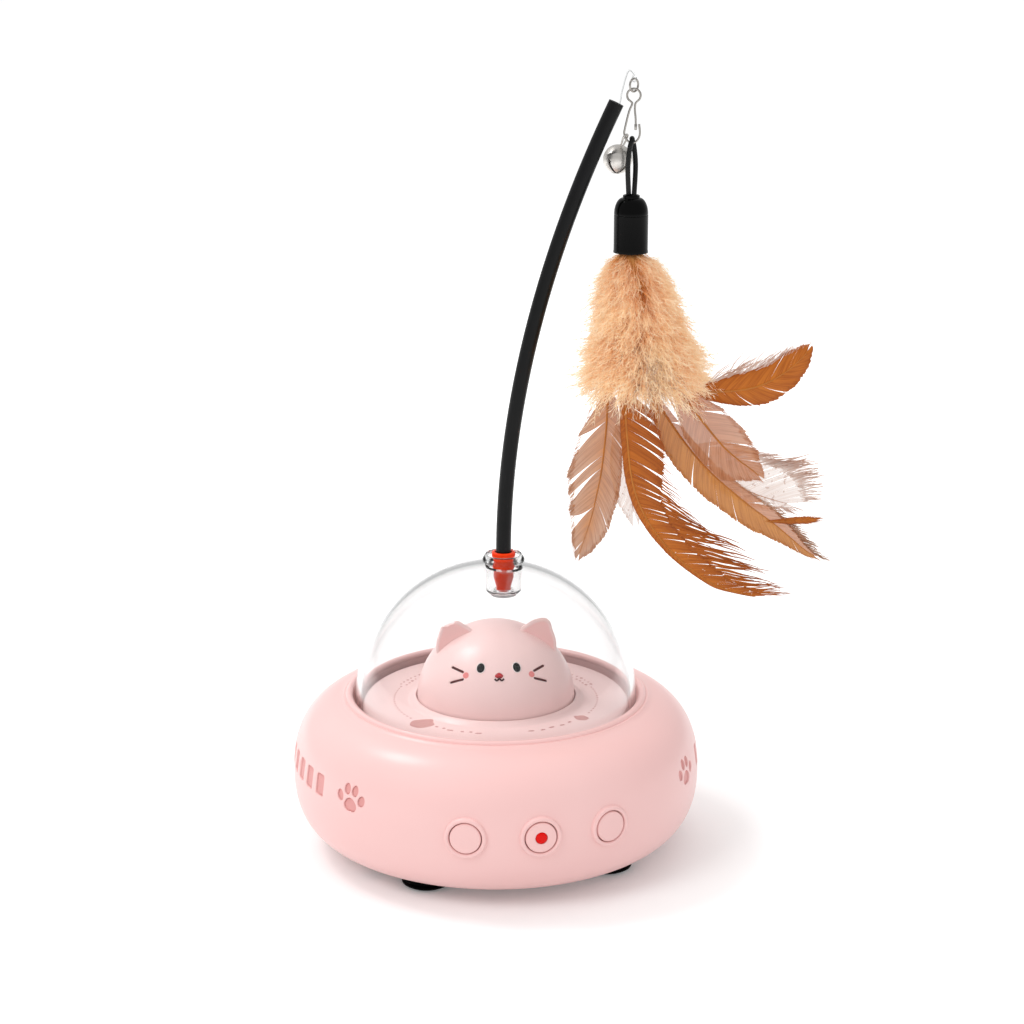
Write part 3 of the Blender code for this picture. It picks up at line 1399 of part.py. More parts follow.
def dome_button(half_width, half_height, rise, depth, steps):
    """A small oval that bulges out of its pocket."""
    bm = bmesh.new()
    rings = []
    for z, share in ((-depth, 1.0), (0.0, 1.0), (rise * 0.7, 0.72)):
        ring = [bm.verts.new((x * share, y * share, z)) for x, y in ellipse(half_width, half_height, steps)]
        rings.append(ring)
    top = bm.verts.new((0, 0, rise))
    bm.faces.new(rings[0])
    for low, high in zip(rings, rings[1:]):
        for i in range(steps):
            after = (i + 1) % steps
            bm.faces.new((low[i], low[after], high[after], high[i]))
    for i in range(steps):
        bm.faces.new((rings[-1][i], rings[-1][(i + 1) % steps], top))
    return bm


def add_mesh(target, bm, place):
    """Puts one mesh into another at a place."""
    bm.transform(place)
    piece = bpy.data.meshes.new("piece")
    bm.to_mesh(piece)
    bm.free()
    target.from_mesh(piece)


def make_head(turn, looks):
    face = Matrix.Rotation(FACE_TURN, 4, "Z")
    outside = head_profile(0.0, 9) + [(HEAD_RADIUS, head_floor_z()), (0, head_floor_z())]
    head = lathe("cat_head", outside, looks["shell"], turn, 30, False, face)
    for side, name in ((-1, "left"), (1, "right")):
        join(head, helper(f"{name}_ear", ear_mesh(side), turn, face))
    inside = head_profile(HEAD_WALL, 5)
    inside += [(HEAD_RADIUS - HEAD_WALL, head_floor_z() - OVERRUN), (0, head_floor_z() - OVERRUN)]
    cut(head, helper("head_hollow", lathe_mesh(inside, 20, False), turn, face))
    bosses = bmesh.new()
    pilots = bmesh.new()
    boss_top = head_floor_z() + HEAD_BOSS_HEIGHT
    roof = head_base_z() + (HEAD_HEIGHT - HEAD_WALL / 2) * 0.74
    for centre in head_boss_centres():
        prism_mesh(circle(HEAD_BOSS_RADIUS, 8, centre), head_floor_z(), roof, bosses)
        prism_mesh(circle(SCREW_SHANK_RADIUS + GAP, 8, centre), head_floor_z() - OVERRUN, boss_top, pilots)
    join(head, helper("head_bosses", bosses, turn))
    cut(head, helper("head_pilots", pilots, turn))
    pockets = bmesh.new()
    for side, name in ((-1, "left"), (1, "right")):
        frame = head_frame(math.degrees(side * EYE_ANGLE), EYE_Z)
        socket = ellipse(EYE_WIDTH / 2 + GAP, EYE_HEIGHT / 2 + GAP, TINY_STEPS)
        pocket = prism_mesh(socket, -EYE_POCKET - GAP, OVERRUN)
        add_mesh(pockets, pocket, frame)
        eye = dome_button(EYE_WIDTH / 2, EYE_HEIGHT / 2, EYE_PROUD, EYE_POCKET, TINY_STEPS)
        add_object(f"{name}_eye", eye, looks["black"], turn, face @ frame)
        whisker_mesh(pockets, UPPER_WHISKER, side)
        whisker_mesh(pockets, LOWER_WHISKER, side)
    frame = head_frame(0, NOSE_Z)
    socket = ellipse(NOSE_WIDTH / 2 + GAP, NOSE_HEIGHT / 2 + GAP, TINY_STEPS)
    pocket = prism_mesh(socket, -EYE_POCKET - GAP, OVERRUN)
    add_mesh(pockets, pocket, frame)
    cut(head, helper("face_pockets", pockets, turn, face))
    nose = dome_button(NOSE_WIDTH / 2, NOSE_HEIGHT / 2, EYE_PROUD, EYE_POCKET, 10)
    add_object("cat_nose", nose, looks["silicone"], turn, face @ frame)
    for index, centre in enumerate(head_boss_centres()):
        add_screw(f"head_screw_{index + 1}", centre, DECK_Z - DECK_WALL, turn, looks)


# Buttons


def make_button(name, azimuth, joint, looks, stem_offset=0.0, lens=False):
    """A cap with a flange that keeps it in the shell and a stem that meets its switch."""
    face = SHELL_RADIUS + BUTTON_PROUD
    flange_out = SHELL_RADIUS - BUTTON_FLANGE_DROP
    flange_in = flange_out - BUTTON_FLANGE_THICKNESS
    stem_tip = flange_in - BUTTON_STEM_RADIUS
    flange = BUTTON_RADIUS + BUTTON_FLANGE_WIDTH
    profile = [
        (0, face),
        (BUTTON_RADIUS * 2 / 3, face - BUTTON_DOME / 3),
        (BUTTON_RADIUS - BUTTON_DOME, face - BUTTON_DOME),
        (BUTTON_RADIUS, face - BUTTON_DOME * 2),
        (BUTTON_RADIUS, flange_out),
        (flange, flange_out),
        (flange, flange_in),
        (0, flange_in),
    ]
    place = outward(BASE_TURN + azimuth, 0, BUTTON_Z)
    button = lathe(name, profile, looks["shell"], joint, SMALL_STEPS, False, place)
    stem = prism_mesh(circle(BUTTON_STEM_RADIUS, 8, (stem_offset, 0)), stem_tip, flange_in + GAP)
    join(button, helper(f"{name}_stem", stem, joint, place))
    if not lens:
        return
    bore = prism_mesh(circle(LENS_RADIUS + GAP, TINY_STEPS), flange_in - OVERRUN, face + OVERRUN)
    cut(button, helper("lens_bore", bore, joint, place))
    rear = flange_in - GAP
    shape = [
        (0, face + LENS_PROUD),
        (LENS_RADIUS / 2, face + LENS_PROUD * 3 / 4),
        (LENS_RADIUS, face),
        (LENS_RADIUS, rear),
        (0, rear),
    ]
    lathe("indicator_lens", shape, looks["red_lens"], joint, TINY_STEPS, False, place)


# Rod, plug, line, link and clip


def rod_x(z):
    """The rod stands straight in its plug and bows over towards its tip."""
    share = max(0.0, (z - ROD_STRAIGHT_Z) / (ROD_TIP_Z - ROD_STRAIGHT_Z))
    return SOCKET_X + ROD_REACH * share**ROD_BEND_POWER


def make_rod(rod, looks):
    """The plug's ribs grip the socket, and the hollow rod is pushed into its bore."""
    seat = SOCKET_BOTTOM_Z + SOCKET_FLOOR_WALL + GAP
    top = PLUG_TOP_Z
    rib = PLUG_RIB_PITCH
    bore = ROD_RADIUS + GAP
    flange_low = top - PLUG_FLANGE_HEIGHT
    profile = [
        (0, seat),
        (PLUG_TIP_RADIUS - GAP, seat),
        (PLUG_TIP_RADIUS, seat + GAP),
        (PLUG_TIP_RADIUS, seat + SOCKET_SEAT_HEIGHT / 4),
        (PLUG_BODY_RADIUS, seat + PLUG_TAPER),
        (PLUG_BODY_RADIUS, flange_low - rib * 2),
        (PLUG_RIB_RADIUS, flange_low - rib * 1.6),
        (PLUG_NECK_RADIUS, flange_low - rib * 1.2),
        (PLUG_RIB_RADIUS, flange_low - rib * 0.7),
        (PLUG_NECK_RADIUS, flange_low - rib * 0.3),
        (PLUG_FLANGE_RADIUS, flange_low),
        (PLUG_FLANGE_RADIUS, top - GAP),
        (bore, top),
        (bore, ROD_FOOT_Z - GAP),
        (0, ROD_FOOT_Z - GAP),
    ]
    place = Matrix.Translation((SOCKET_X, 0, 0))
    lathe("rod_plug", profile, looks["silicone"], rod, SMALL_STEPS, False, place)
    points = [Vector((SOCKET_X, 0, ROD_FOOT_Z))]
    steps = 12
    for i in range(steps + 1):
        z = ROD_STRAIGHT_Z + (ROD_TIP_Z - ROD_STRAIGHT_Z) * i / steps
        points.append(Vector((rod_x(z), 0, z)))
    tube = tube_mesh(points, ROD_RADIUS, ROD_SIDES, ROD_BORE)
    add_object("rod_tube", tube, looks["rod"], rod)


def link_top():
    """The middle of the link's wire at its top, where the line holds it."""
    return Vector((LINK_TOP_X, 0, LINK_TOP_Z - WIRE_RADIUS))


def link_bottom():
    return link_top() - Vector((0, 0, LINK_HEIGHT - 2 * WIRE_RADIUS))


def wire_contact():
    """How far apart two hooked wires' middles lie."""
    return 2 * WIRE_RADIUS + GAP


def make_tip_line(rod, looks):
    """A clear line out of the rod's open tip that ends in an eye round the link."""
    tip = Vector((rod_x(ROD_TIP_Z), 0, ROD_TIP_Z))
    below = Vector((rod_x(ROD_TIP_Z - LINE_DEPTH_IN_ROD), 0, ROD_TIP_Z - LINE_DEPTH_IN_ROD))
    way = (tip - below).normalized()
    wall = ROD_BORE * math.cos(math.pi / ROD_SIDES) - LINE_RADIUS - GAP
    aside = Vector((way.z, 0, -way.x)) * wall
    below += aside
    tip += aside
    eye = link_top()
    eye_radius = WIRE_RADIUS + GAP + LINE_RADIUS
    crown = tip + way * LINE_RISE
    high = eye.z + eye_radius
    points = [
        below,
        tip,
        crown,
        Vector(((crown.x + eye.x) / 2, 0, high + LINE_RISE * 0.35)),
        eye + Vector((0, 0, eye_radius + LINE_RISE * 0.12)),
    ]
    turn = Vector((-math.sin(LINK_TURN), math.cos(LINK_TURN), 0))
    for i in range(1, 9):
        angle = math.tau * i / 9.6
        points.append(eye + eye_radius * (math.cos(angle) * Vector((0, 0, 1)) + math.sin(angle) * turn))
    route = smooth_route(points[:5], 3) + points[5:]
    add_object("tip_line", tube_mesh(route, LINE_RADIUS, 5), looks["nylon"], rod)


def make_link(link, looks):
    half_width = LINK_WIDTH / 2 - WIRE_RADIUS
    half_height = LINK_HEIGHT / 2 - WIRE_RADIUS
    middle = (link_top() + link_bottom()) / 2
    along = Vector((math.cos(LINK_TURN), math.sin(LINK_TURN), 0))
    points = []
    for i in range(14):
        angle = math.tau * i / 14
        rise = Vector((0, 0, half_height * math.cos(angle)))
        points.append(middle + along * (half_width * math.sin(angle)) + rise)
    add_object("top_link", tube_mesh(points, WIRE_RADIUS, 6, loop=True), looks["steel"], link)


def clip_eye_centre():
    return link_bottom() + Vector((0, 0, wire_contact() - CLIP_EYE_RADIUS))


def clip_point(across, down, deep=0.0):
    """A place on the clip: across and down from the eye's middle, and deep behind its plane."""
    along = Vector((math.cos(CLIP_TURN), math.sin(CLIP_TURN), 0))
    back = Vector((-math.sin(CLIP_TURN), math.cos(CLIP_TURN), 0))
    return clip_eye_centre() + along * across + back * deep - Vector((0, 0, down))


def hook_bottom():
    """The middle of the hook's wire at its lowest point, which carries the lure's loop."""
    return clip_point(-CLIP_HOOK_WIDTH / 12, CLIP_LENGTH)


def make_clip(clip, looks):
    """One bent wire: gate, eye, long leg and hook, with a sleeve where the gate snaps behind the hook."""
    half = CLIP_HOOK_WIDTH / 2
    neck = CLIP_EYE_RADIUS * 1.25
    gate_end = CLIP_LENGTH - CLIP_HOOK_WIDTH - CLIP_GATE_LENGTH
    points = [clip_point(half * 0.30, gate_end + CLIP_GATE_LENGTH), clip_point(half * 0.28, gate_end * 0.9)]
    points.append(clip_point(half * 0.16, gate_end * 0.55))
    points.append(clip_point(WIRE_RADIUS * 1.5, neck))
    for i in range(9):
        angle = math.radians(55 - 290 * i / 8 + 270)
        points.append(clip_point(CLIP_EYE_RADIUS * math.cos(angle), -CLIP_EYE_RADIUS * math.sin(angle)))
    points.append(clip_point(-WIRE_RADIUS * 1.5, neck))
    points.append(clip_point(-half * 0.62, gate_end * 0.62))
    points.append(clip_point(-half * 1.12, gate_end + CLIP_GATE_LENGTH))
    points.extend(hook_side())
    points.append(hook_bottom())
    points.append(clip_point(half * 0.50, CLIP_LENGTH - half * 0.34))
    points.append(clip_point(half * 0.86, CLIP_LENGTH - half * 1.15))
    points.append(clip_point(half * 0.76, gate_end + CLIP_GATE_LENGTH / 3))
    route = smooth_route(points, 2)
    body = add_object("snap_clip", tube_mesh(route, WIRE_RADIUS, 6), looks["steel"], clip)
    middle = clip_point(half * 0.30, gate_end + CLIP_GATE_LENGTH)
    sleeve = prism_mesh(
        rounded_rectangle(CLIP_GATE_WIDTH, CLIP_GATE_WIDTH, WIRE_RADIUS / 2, 2),
        -CLIP_GATE_LENGTH / 3,
        CLIP_GATE_LENGTH * 2 / 3,
    )
    place = Matrix.Translation(middle) @ Matrix.Rotation(CLIP_TURN, 4, "Z")
    join(body, helper("gate_sleeve", sleeve, clip, place))


def hook_side():
    """Two places on the hook's long side, between which the bell's ring hangs."""
    half = CLIP_HOOK_WIDTH / 2
    above = clip_point(-half * 1.22, CLIP_LENGTH - half * 1.15)
    return above, clip_point(-half * 0.86, CLIP_LENGTH - half * 0.36)


def bell_hang():
    """The middle of the hook's wire where it carries the bell's ring."""
    half = CLIP_HOOK_WIDTH / 2
    return clip_point(-half * 1.09, CLIP_LENGTH - half * 0.724)


def make_bell(bell, looks):
    """A slotted ball of thin steel, its loop and the loose pellet inside."""
    centre = Vector((BELL_X, BELL_Y, BELL_Z))
    hang = bell_hang()
    up = (hang - centre).normalized()
    side = up.cross(Vector((1, 0, 0))).normalized()
    frame = Matrix((side.cross(up), side, up)).transposed().to_4x4()
    frame.translation = centre
    inner = BELL_RADIUS - BELL_WALL
    steps = 8
    outer_arc = []
    inner_arc = []
    for i in range(steps + 1):
        angle = math.pi * i / steps
        waist = BELL_WAIST_WIDTH if i == steps // 2 else 0.0
        outer_arc.append(((BELL_RADIUS + waist) * math.sin(angle), BELL_RADIUS * math.cos(angle)))
        inner_arc.append((inner * math.sin(angle), inner * math.cos(angle)))
    ball = lathe_mesh(outer_arc[:-1] + [(0.0, -BELL_RADIUS)], SMALL_STEPS - 4, False)
    shell = add_object("bell_shell", ball, looks["steel"], bell, frame)
    hollow = lathe_mesh(inner_arc[:-1] + [(0.0, -inner)], SMALL_STEPS - 4, False)
    cut(shell, helper("bell_hollow", hollow, bell, frame))
    half_slot = BELL_SLOT_WIDTH / 2
    reach = BELL_RADIUS * 0.86
    for index, turn in enumerate((math.radians(38), math.radians(128))):
        bar = [(-reach, -half_slot), (reach, -half_slot), (reach, half_slot), (-reach, half_slot)]
        tool = prism_mesh(bar, -BELL_RADIUS - OVERRUN, -inner * 0.35, None, Matrix.Rotation(turn, 4, "Z"))
        cut(shell, helper(f"bell_slot_{index}", tool, bell, frame))
    above, below = hook_side()
    loop_side = up.cross(below - above).normalized()
    reach_up = wire_contact() + GAP / 2
    reach_down = (hang - centre).length - BELL_RADIUS + WIRE_RADIUS / 2
    points = []
    for i in range(14):
        angle = math.tau * i / 14
        stretch = reach_up if math.cos(angle) >= 0 else reach_down
        points.append(hang + up * (stretch * math.cos(angle)) + loop_side * (reach_up * math.sin(angle)))
    join(shell, helper("bell_loop", tube_mesh(points, WIRE_RADIUS, 6, loop=True), bell))
    rest = centre - Vector((0, 0, inner - PELLET_RADIUS - GAP * 2))
    pellet = []
    for i in range(7):
        angle = math.pi * i / 6
        pellet.append((PELLET_RADIUS * math.sin(angle), PELLET_RADIUS * math.cos(angle)))
    pellet[0] = (0.0, PELLET_RADIUS)
    pellet[-1] = (0.0, -PELLET_RADIUS)
    lathe("bell_pellet", pellet, looks["steel"], bell, 10, False, Matrix.Translation(rest))


# Lure


def lure_x():
    return hook_bottom().x


def make_loop(lure, looks):
    """The elastic loop: over the hook from front to back, then side by side into the ferrule."""
    hook = hook_bottom()
    x = hook.x
    over = WIRE_RADIUS + GAP + CORD_RADIUS
    foot = FERRULE_TOP_Z - CORD_SEAT
    seat = CORD_RADIUS + GAP / 4
    span = hook.z - FERRULE_TOP_Z
    left = [
        Vector((x - seat, 0, foot)),
        Vector((x - seat, 0, FERRULE_TOP_Z)),
        Vector((x - LOOP_HALF_WIDTH, -over * 0.35, FERRULE_TOP_Z + span * 0.55)),
        Vector((x - LOOP_HALF_WIDTH * 0.55, -over * 1.05, hook.z - over * 0.8)),
        Vector((x, -over * 0.78, hook.z + over * 0.62)),
    ]
    crown = [Vector((x, 0, hook.z + over))]
    right = [Vector((2 * x - p.x, -p.y, p.z)) for p in reversed(left)]
    route = smooth_route(left + crown + right, 2)
    add_object("elastic_loop", tube_mesh(route, CORD_RADIUS, 8), looks["cord"], lure)


def make_ferrule(lure, looks):
    inner = FERRULE_RADIUS - FERRULE_WALL
    shoulder = FERRULE_TOP_Z - FERRULE_NOSE_HEIGHT - FERRULE_DOME
    hole = 2 * CORD_RADIUS + GAP * 4 / 3
    roof = FERRULE_TOP_Z - CORD_SEAT - GAP - FERRULE_WALL
    outer = [(hole, FERRULE_TOP_Z), (FERRULE_NOSE_RADIUS, FERRULE_TOP_Z)]
    for i in range(6):
        angle = math.pi / 2 * i / 5
        radius = FERRULE_NOSE_RADIUS + (FERRULE_RADIUS - FERRULE_NOSE_RADIUS) * math.sin(angle)
        outer.append((radius, shoulder + FERRULE_DOME * math.cos(angle)))
    flare = FERRULE_BASE_FLARE
    profile = outer + [
        (FERRULE_RADIUS, FERRULE_BOTTOM_Z + flare * 6),
        (FERRULE_RADIUS + flare, FERRULE_BOTTOM_Z + flare * 3),
        (FERRULE_RADIUS, FERRULE_BOTTOM_Z),
        (inner, FERRULE_BOTTOM_Z),
        (inner, roof - FERRULE_DOME / 2),
        (hole, roof),
    ]
    place = Matrix.Translation((lure_x(), 0, 0))
    lathe("ferrule", profile, looks["black"], lure, SMALL_STEPS, True, place)


# The down's radius at shares of its length, as shares of FLUFF_RADIUS
FLUFF_SHARES = (
    (0.00, 0.215),
    (0.06, 0.340),
    (0.24, 0.555),
    (0.50, 0.775),
    (0.76, 1.000),
    (0.88, 0.990),
    (0.95, 0.860),
    (0.99, 0.620),
    (1.00, 0.430),
)


def fluff_low_z():
    return FERRULE_BOTTOM_Z - GAP - FLUFF_LENGTH


def fluff_radius(share):
    for (low, start), (high, end) in zip(FLUFF_SHARES, FLUFF_SHARES[1:]):
        if share <= high:
            return FLUFF_RADIUS * (start + (end - start) * (share - low) / (high - low))
    return FLUFF_RADIUS * FLUFF_SHARES[-1][1]


def fluff_underside(across, deep):
    """How far the down's lower face lies below its top, beside and behind the lure's middle."""
    steps = 60
    flat = math.cos(math.pi / FLUFF_SIDES)
    for i in range(steps):
        share = 1 - i / (steps * 6)
        if math.hypot(across - FLUFF_LEAN * share, deep) <= fluff_radius(share) * flat:
            return FLUFF_LENGTH * share
    return FLUFF_LENGTH * (1 - 1 / 6)


def make_fluff(lure, looks):
    """The down: a neck inside the ferrule, a swelling cone that leans a little, and a round lower end."""
    inner = FERRULE_RADIUS - FERRULE_WALL - GAP
    top = FERRULE_BOTTOM_Z - GAP
    bm = bmesh.new()
    rings = []
    stations = [(0.0, inner, FERRULE_BOTTOM_Z + FLUFF_NECK_DEPTH)]
    stations += [(share, fluff_radius(share), top - FLUFF_LENGTH * share) for share, _ in FLUFF_SHARES]
    for share, radius, z in stations:
        middle = lure_x() + FLUFF_LEAN * share
        rings.append([bm.verts.new((x, y, z)) for x, y in circle(radius, FLUFF_SIDES, (middle, 0))])
    bm.faces.new(rings[0])
    bm.faces.new(rings[-1])
    for low, high in zip(rings, rings[1:]):
        for k in range(FLUFF_SIDES):
            after = (k + 1) % FLUFF_SIDES
            bm.faces.new((low[k], low[after], high[after], high[k]))
    add_object("fluff", bm, looks["fluff"], lure)


# Each feather as shares of FEATHER_SPAN: its root across and behind the lure's middle; its bend and its tip
# across, below the down's lower end and behind; the vane's width on its lower left and its upper right.
FEATHER_SHARES = (
    ((0.385, -0.070), (0.640, -0.150, -0.060), (0.925, -0.370, -0.030), 0.075, 0.070),
    ((0.300, -0.150), (0.520, 0.200, -0.150), (0.765, 0.370, -0.125), 0.130, 0.110),
    ((0.300, 0.150), (0.500, 0.330, 0.170), (1.005, 0.460, 0.175), 0.090, 0.110),
    ((0.220, -0.050), (0.510, 0.490, -0.050), (1.025, 0.745, -0.050), 0.100, 0.075),
    ((-0.030, -0.130), (-0.020, 0.990, -0.160), (0.760, 0.950, -0.190), 0.045, 0.185),
    ((-0.100, -0.020), (-0.130, 0.420, -0.050), (-0.255, 0.750, -0.070), 0.130, 0.120),
    ((0.005, 0.120), (0.060, 0.300, 0.150), (0.095, 0.590, 0.165), 0.120, 0.110),
)


def feather_spread(t):
    """How wide the vane is at a share of its length: a bare quill, a quick swell and a long taper."""
    if t < 0.02:
        return 0.06
    return max(0.05, math.sin(math.pi * t**0.72) ** 0.62)


def make_feathers(lure, looks):
    """Thin cambered vanes on a quill, each along its own arc from the down's underside."""
    pale = (1, 2, 5, 6)
    steps = 9
    top = FERRULE_BOTTOM_Z - GAP
    for index, row in enumerate(FEATHER_SHARES):
        look = "pale_feather" if index in pale else "feather"
        across, deep = FEATHER_SPAN * row[0][0], FEATHER_SPAN * row[0][1]
        root_z = top - fluff_underside(across, deep) - GAP - FEATHER_QUILL / 2
        ends = [Vector((lure_x() + across, deep, root_z))]
        for x, down, y in row[1:3]:
            ends.append(Vector((lure_x(), 0, fluff_low_z())) + FEATHER_SPAN * Vector((x, y, -down)))
        left, right = FEATHER_SPAN * row[3], FEATHER_SPAN * row[4]
        thin = FEATHER_THICKNESS / 2
        bm = bmesh.new()
        rings = []
        for i in range(steps + 1):
            t = i / steps
            point = ends[0] * (1 - t) ** 2 + ends[1] * 2 * t * (1 - t) + ends[2] * t**2
            way = ((ends[1] - ends[0]) * (1 - t) + (ends[2] - ends[1]) * t).normalized()
            side = way.cross(Vector((0, 1, 0))).normalized()
            face = side.cross(way).normalized()
            spread = feather_spread(t)
            quill = FEATHER_QUILL * (1 - 0.6 * t)
            camber = FEATHER_CAMBER_SHARE * (left + right) / 2 * spread
            section = (
                side * -left * spread + face * (camber + thin),
                face * quill,
                side * right * spread + face * (camber + thin),
                side * right * spread + face * (camber - thin),
                face * -thin,
                side * -left * spread + face * (camber - thin),
            )
            rings.append([bm.verts.new(point + offset) for offset in section])
        bm.faces.new(rings[0])
        bm.faces.new(rings[-1])
        for low, high in zip(rings, rings[1:]):
            for k in range(6):
                after = (k + 1) % 6
                bm.faces.new((low[k], low[after], high[after], high[k]))
        add_object(f"feather_{index + 1}", bm, looks[look], lure)


def make_base(looks):
    base = anchor("base_front", (0, 0, 0), turn=BASE_TURN)
    make_shell(base, looks)
    make_inlays(base, looks)
    make_base_plate(base, looks)
    make_feet(base, looks)
    make_base_screws(base, looks)
    make_boards(base, looks)
    make_switches(base, looks)
    make_port(base, looks)
    make_cell(base, looks)
    make_motor(base, looks)
    return base


def make_buttons(looks):
    for name, azimuth, offset, lens in (
        ("left_button", -BUTTON_PITCH, 0.0, False),
        ("power_button", 0.0, -POWER_STEM_OFFSET, True),
        ("right_button", BUTTON_PITCH, 0.0, False),
    ):
        place = outward(BASE_TURN + azimuth, SHELL_RADIUS, BUTTON_Z).translation
        make_button(name, azimuth, anchor(f"{name}_slide", place), looks, offset, lens)


def make_moving(looks, base):
    turn = anchor("turntable_spin", (0, 0, 0))
    make_spindle(turn, base, looks)
    make_turntable(turn, looks)
    make_dome(turn, looks)
    make_socket(turn, looks)
    make_head(turn, looks)
    place = Matrix.Rotation(BASE_TURN, 3, "Z") @ Vector((-gear_centre_distance(), 0, 0))
    make_pinion(anchor("pinion_spin", place), place, looks)
    rod = anchor("rod_pull", (SOCKET_X, 0, socket_rim_z()), turn)
    make_rod(rod, looks)
    make_tip_line(rod, looks)
    link = anchor("link_swing", link_top(), rod)
    make_link(link, looks)
    clip = anchor("clip_swing", link_bottom(), link)
    make_clip(clip, looks)
    make_bell(anchor("bell_swing", bell_hang(), clip), looks)
    lure = anchor("lure_swing", hook_bottom(), clip)
    make_loop(lure, looks)
    make_ferrule(lure, looks)
    make_fluff(lure, looks)
    make_feathers(lure, looks)


def main():
    clear_scene()
    looks = make_finishes()
    base = make_base(looks)
    make_buttons(looks)
    make_moving(looks, base)


main()
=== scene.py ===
"""The looks of a rechargeable cat teaser: a round pink base with push buttons, a turntable with a clear dome over a
cat's head, and a bowed black rod that dangles a bell and a feather lure from a snap clip.

Sizes are in metres, and a number times MM is in millimetres. Azimuths run from -Y, the front, towards +X.
"""

import logging
import math
import random
from bisect import bisect_right
from collections.abc import Sequence
from dataclasses import dataclass, field
from enum import Enum

import bmesh
import bpy
import numpy as np
from mathutils import Matrix, Vector, noise
from mathutils.geometry import delaunay_2d_cdt


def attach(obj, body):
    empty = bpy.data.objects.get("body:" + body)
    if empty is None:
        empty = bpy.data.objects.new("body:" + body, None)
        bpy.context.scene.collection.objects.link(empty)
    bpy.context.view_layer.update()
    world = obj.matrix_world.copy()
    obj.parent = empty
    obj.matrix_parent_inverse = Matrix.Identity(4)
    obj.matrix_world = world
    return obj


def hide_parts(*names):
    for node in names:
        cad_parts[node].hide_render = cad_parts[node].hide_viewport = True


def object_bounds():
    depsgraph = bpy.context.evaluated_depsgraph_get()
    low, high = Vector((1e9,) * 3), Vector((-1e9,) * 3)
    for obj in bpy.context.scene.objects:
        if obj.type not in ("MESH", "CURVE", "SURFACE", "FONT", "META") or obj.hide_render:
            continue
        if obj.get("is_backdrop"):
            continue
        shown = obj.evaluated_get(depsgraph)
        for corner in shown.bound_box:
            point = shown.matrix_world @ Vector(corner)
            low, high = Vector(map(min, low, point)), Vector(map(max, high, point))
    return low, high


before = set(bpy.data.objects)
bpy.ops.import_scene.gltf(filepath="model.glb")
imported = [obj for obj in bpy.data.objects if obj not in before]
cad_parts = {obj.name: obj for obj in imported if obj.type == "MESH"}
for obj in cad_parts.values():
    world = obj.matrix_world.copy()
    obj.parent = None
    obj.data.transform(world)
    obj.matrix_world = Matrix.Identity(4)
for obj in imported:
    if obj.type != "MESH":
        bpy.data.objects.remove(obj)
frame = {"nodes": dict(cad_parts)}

MM = 0.001
BASE_TURN = math.radians(12.3)
FACE_TURN = math.radians(3.3)
BASE_FRAME = Matrix.Rotation(BASE_TURN, 4, "Z")
FACE_FRAME = Matrix.Rotation(FACE_TURN, 4, "Z")
Point = tuple[float, float]
log = logging.getLogger("cat_teaser")


class Body(Enum):
    """The bodies of the frame that a piece can ride on."""

    BASE = "base"
    LEFT_PUSH = "left_push"
    POWER_PUSH = "power_push"
    RIGHT_PUSH = "right_push"
    TABLE = "table"
    ROD = "rod"
    LINK = "link"
    CLIP = "clip"
    BELL = "bell"
    LURE = "lure"


def linear(colour: str) -> tuple[float, float, float, float]:
    """Turns an sRGB hex colour to linear light.

    Args:
        colour: A hash sign and six hex digits.

    Returns:
        Red, green, blue and an alpha of 1.
    """
    channels = [int(colour[i : i + 2], 16) / 255 for i in (1, 3, 5)]
    light = [c / 12.92 if c <= 0.04045 else ((c + 0.055) / 1.055) ** 2.4 for c in channels]
    return light[0], light[1], light[2], 1.0


def add_node(
    tree: bpy.types.NodeTree, kind: str, inputs: dict[str | int, object] | None = None, **settings: object
) -> bpy.types.Node:
    """Adds a node with its settings, values and links.

    Args:
        tree: The tree that gets the node.
        kind: The node's type.
        inputs: By input name or number, a value or the output socket that feeds it.
        **settings: The node's own properties, set before its inputs.

    Returns:
        The new node.
    """
    node = tree.nodes.new(kind)
    for name, value in settings.items():
        setattr(node, name, value)
    for key, value in (inputs or {}).items():
        if isinstance(value, bpy.types.NodeSocket):
            tree.links.new(value, node.inputs[key])
        else:
            node.inputs[key].default_value = value
    return node


@dataclass(frozen=True)
class Finish:
    """One surface: its plain values, with a pattern that each kind of surface adds."""

    name: str
    colour: str
    roughness: float
    metallic: float = 0.0
    specular: float = 0.5
    coat: float = 0.0

    def material(self) -> bpy.types.Material:
        """Makes the material, or finds it if it is made already.

        Returns:
            The node material.
        """
        made = bpy.data.materials.get(self.name)
        if made is not None:
            return made
        made = bpy.data.materials.new(self.name)
        made.use_nodes = True
        made.diffuse_color = linear(self.colour)
        tree = made.node_tree
        shader = tree.nodes["Principled BSDF"]
        shader.inputs["Base Color"].default_value = linear(self.colour)
        shader.inputs["Roughness"].default_value = self.roughness
        shader.inputs["Metallic"].default_value = self.metallic
        shader.inputs["Specular IOR Level"].default_value = self.specular
        shader.inputs["Coat Weight"].default_value = self.coat
        shader.inputs["Coat Roughness"].default_value = 0.06
        self.pattern(tree, shader, add_node(tree, "ShaderNodeTexCoord"))
        return made

    def pattern(self, tree: bpy.types.NodeTree, shader: bpy.types.Node, where: bpy.types.Node) -> None:
        """Adds what shows on the surface beyond one even colour.

        Args:
            tree: The material's node tree.
            shader: Its Principled BSDF.
            where: Its texture coordinates.
        """


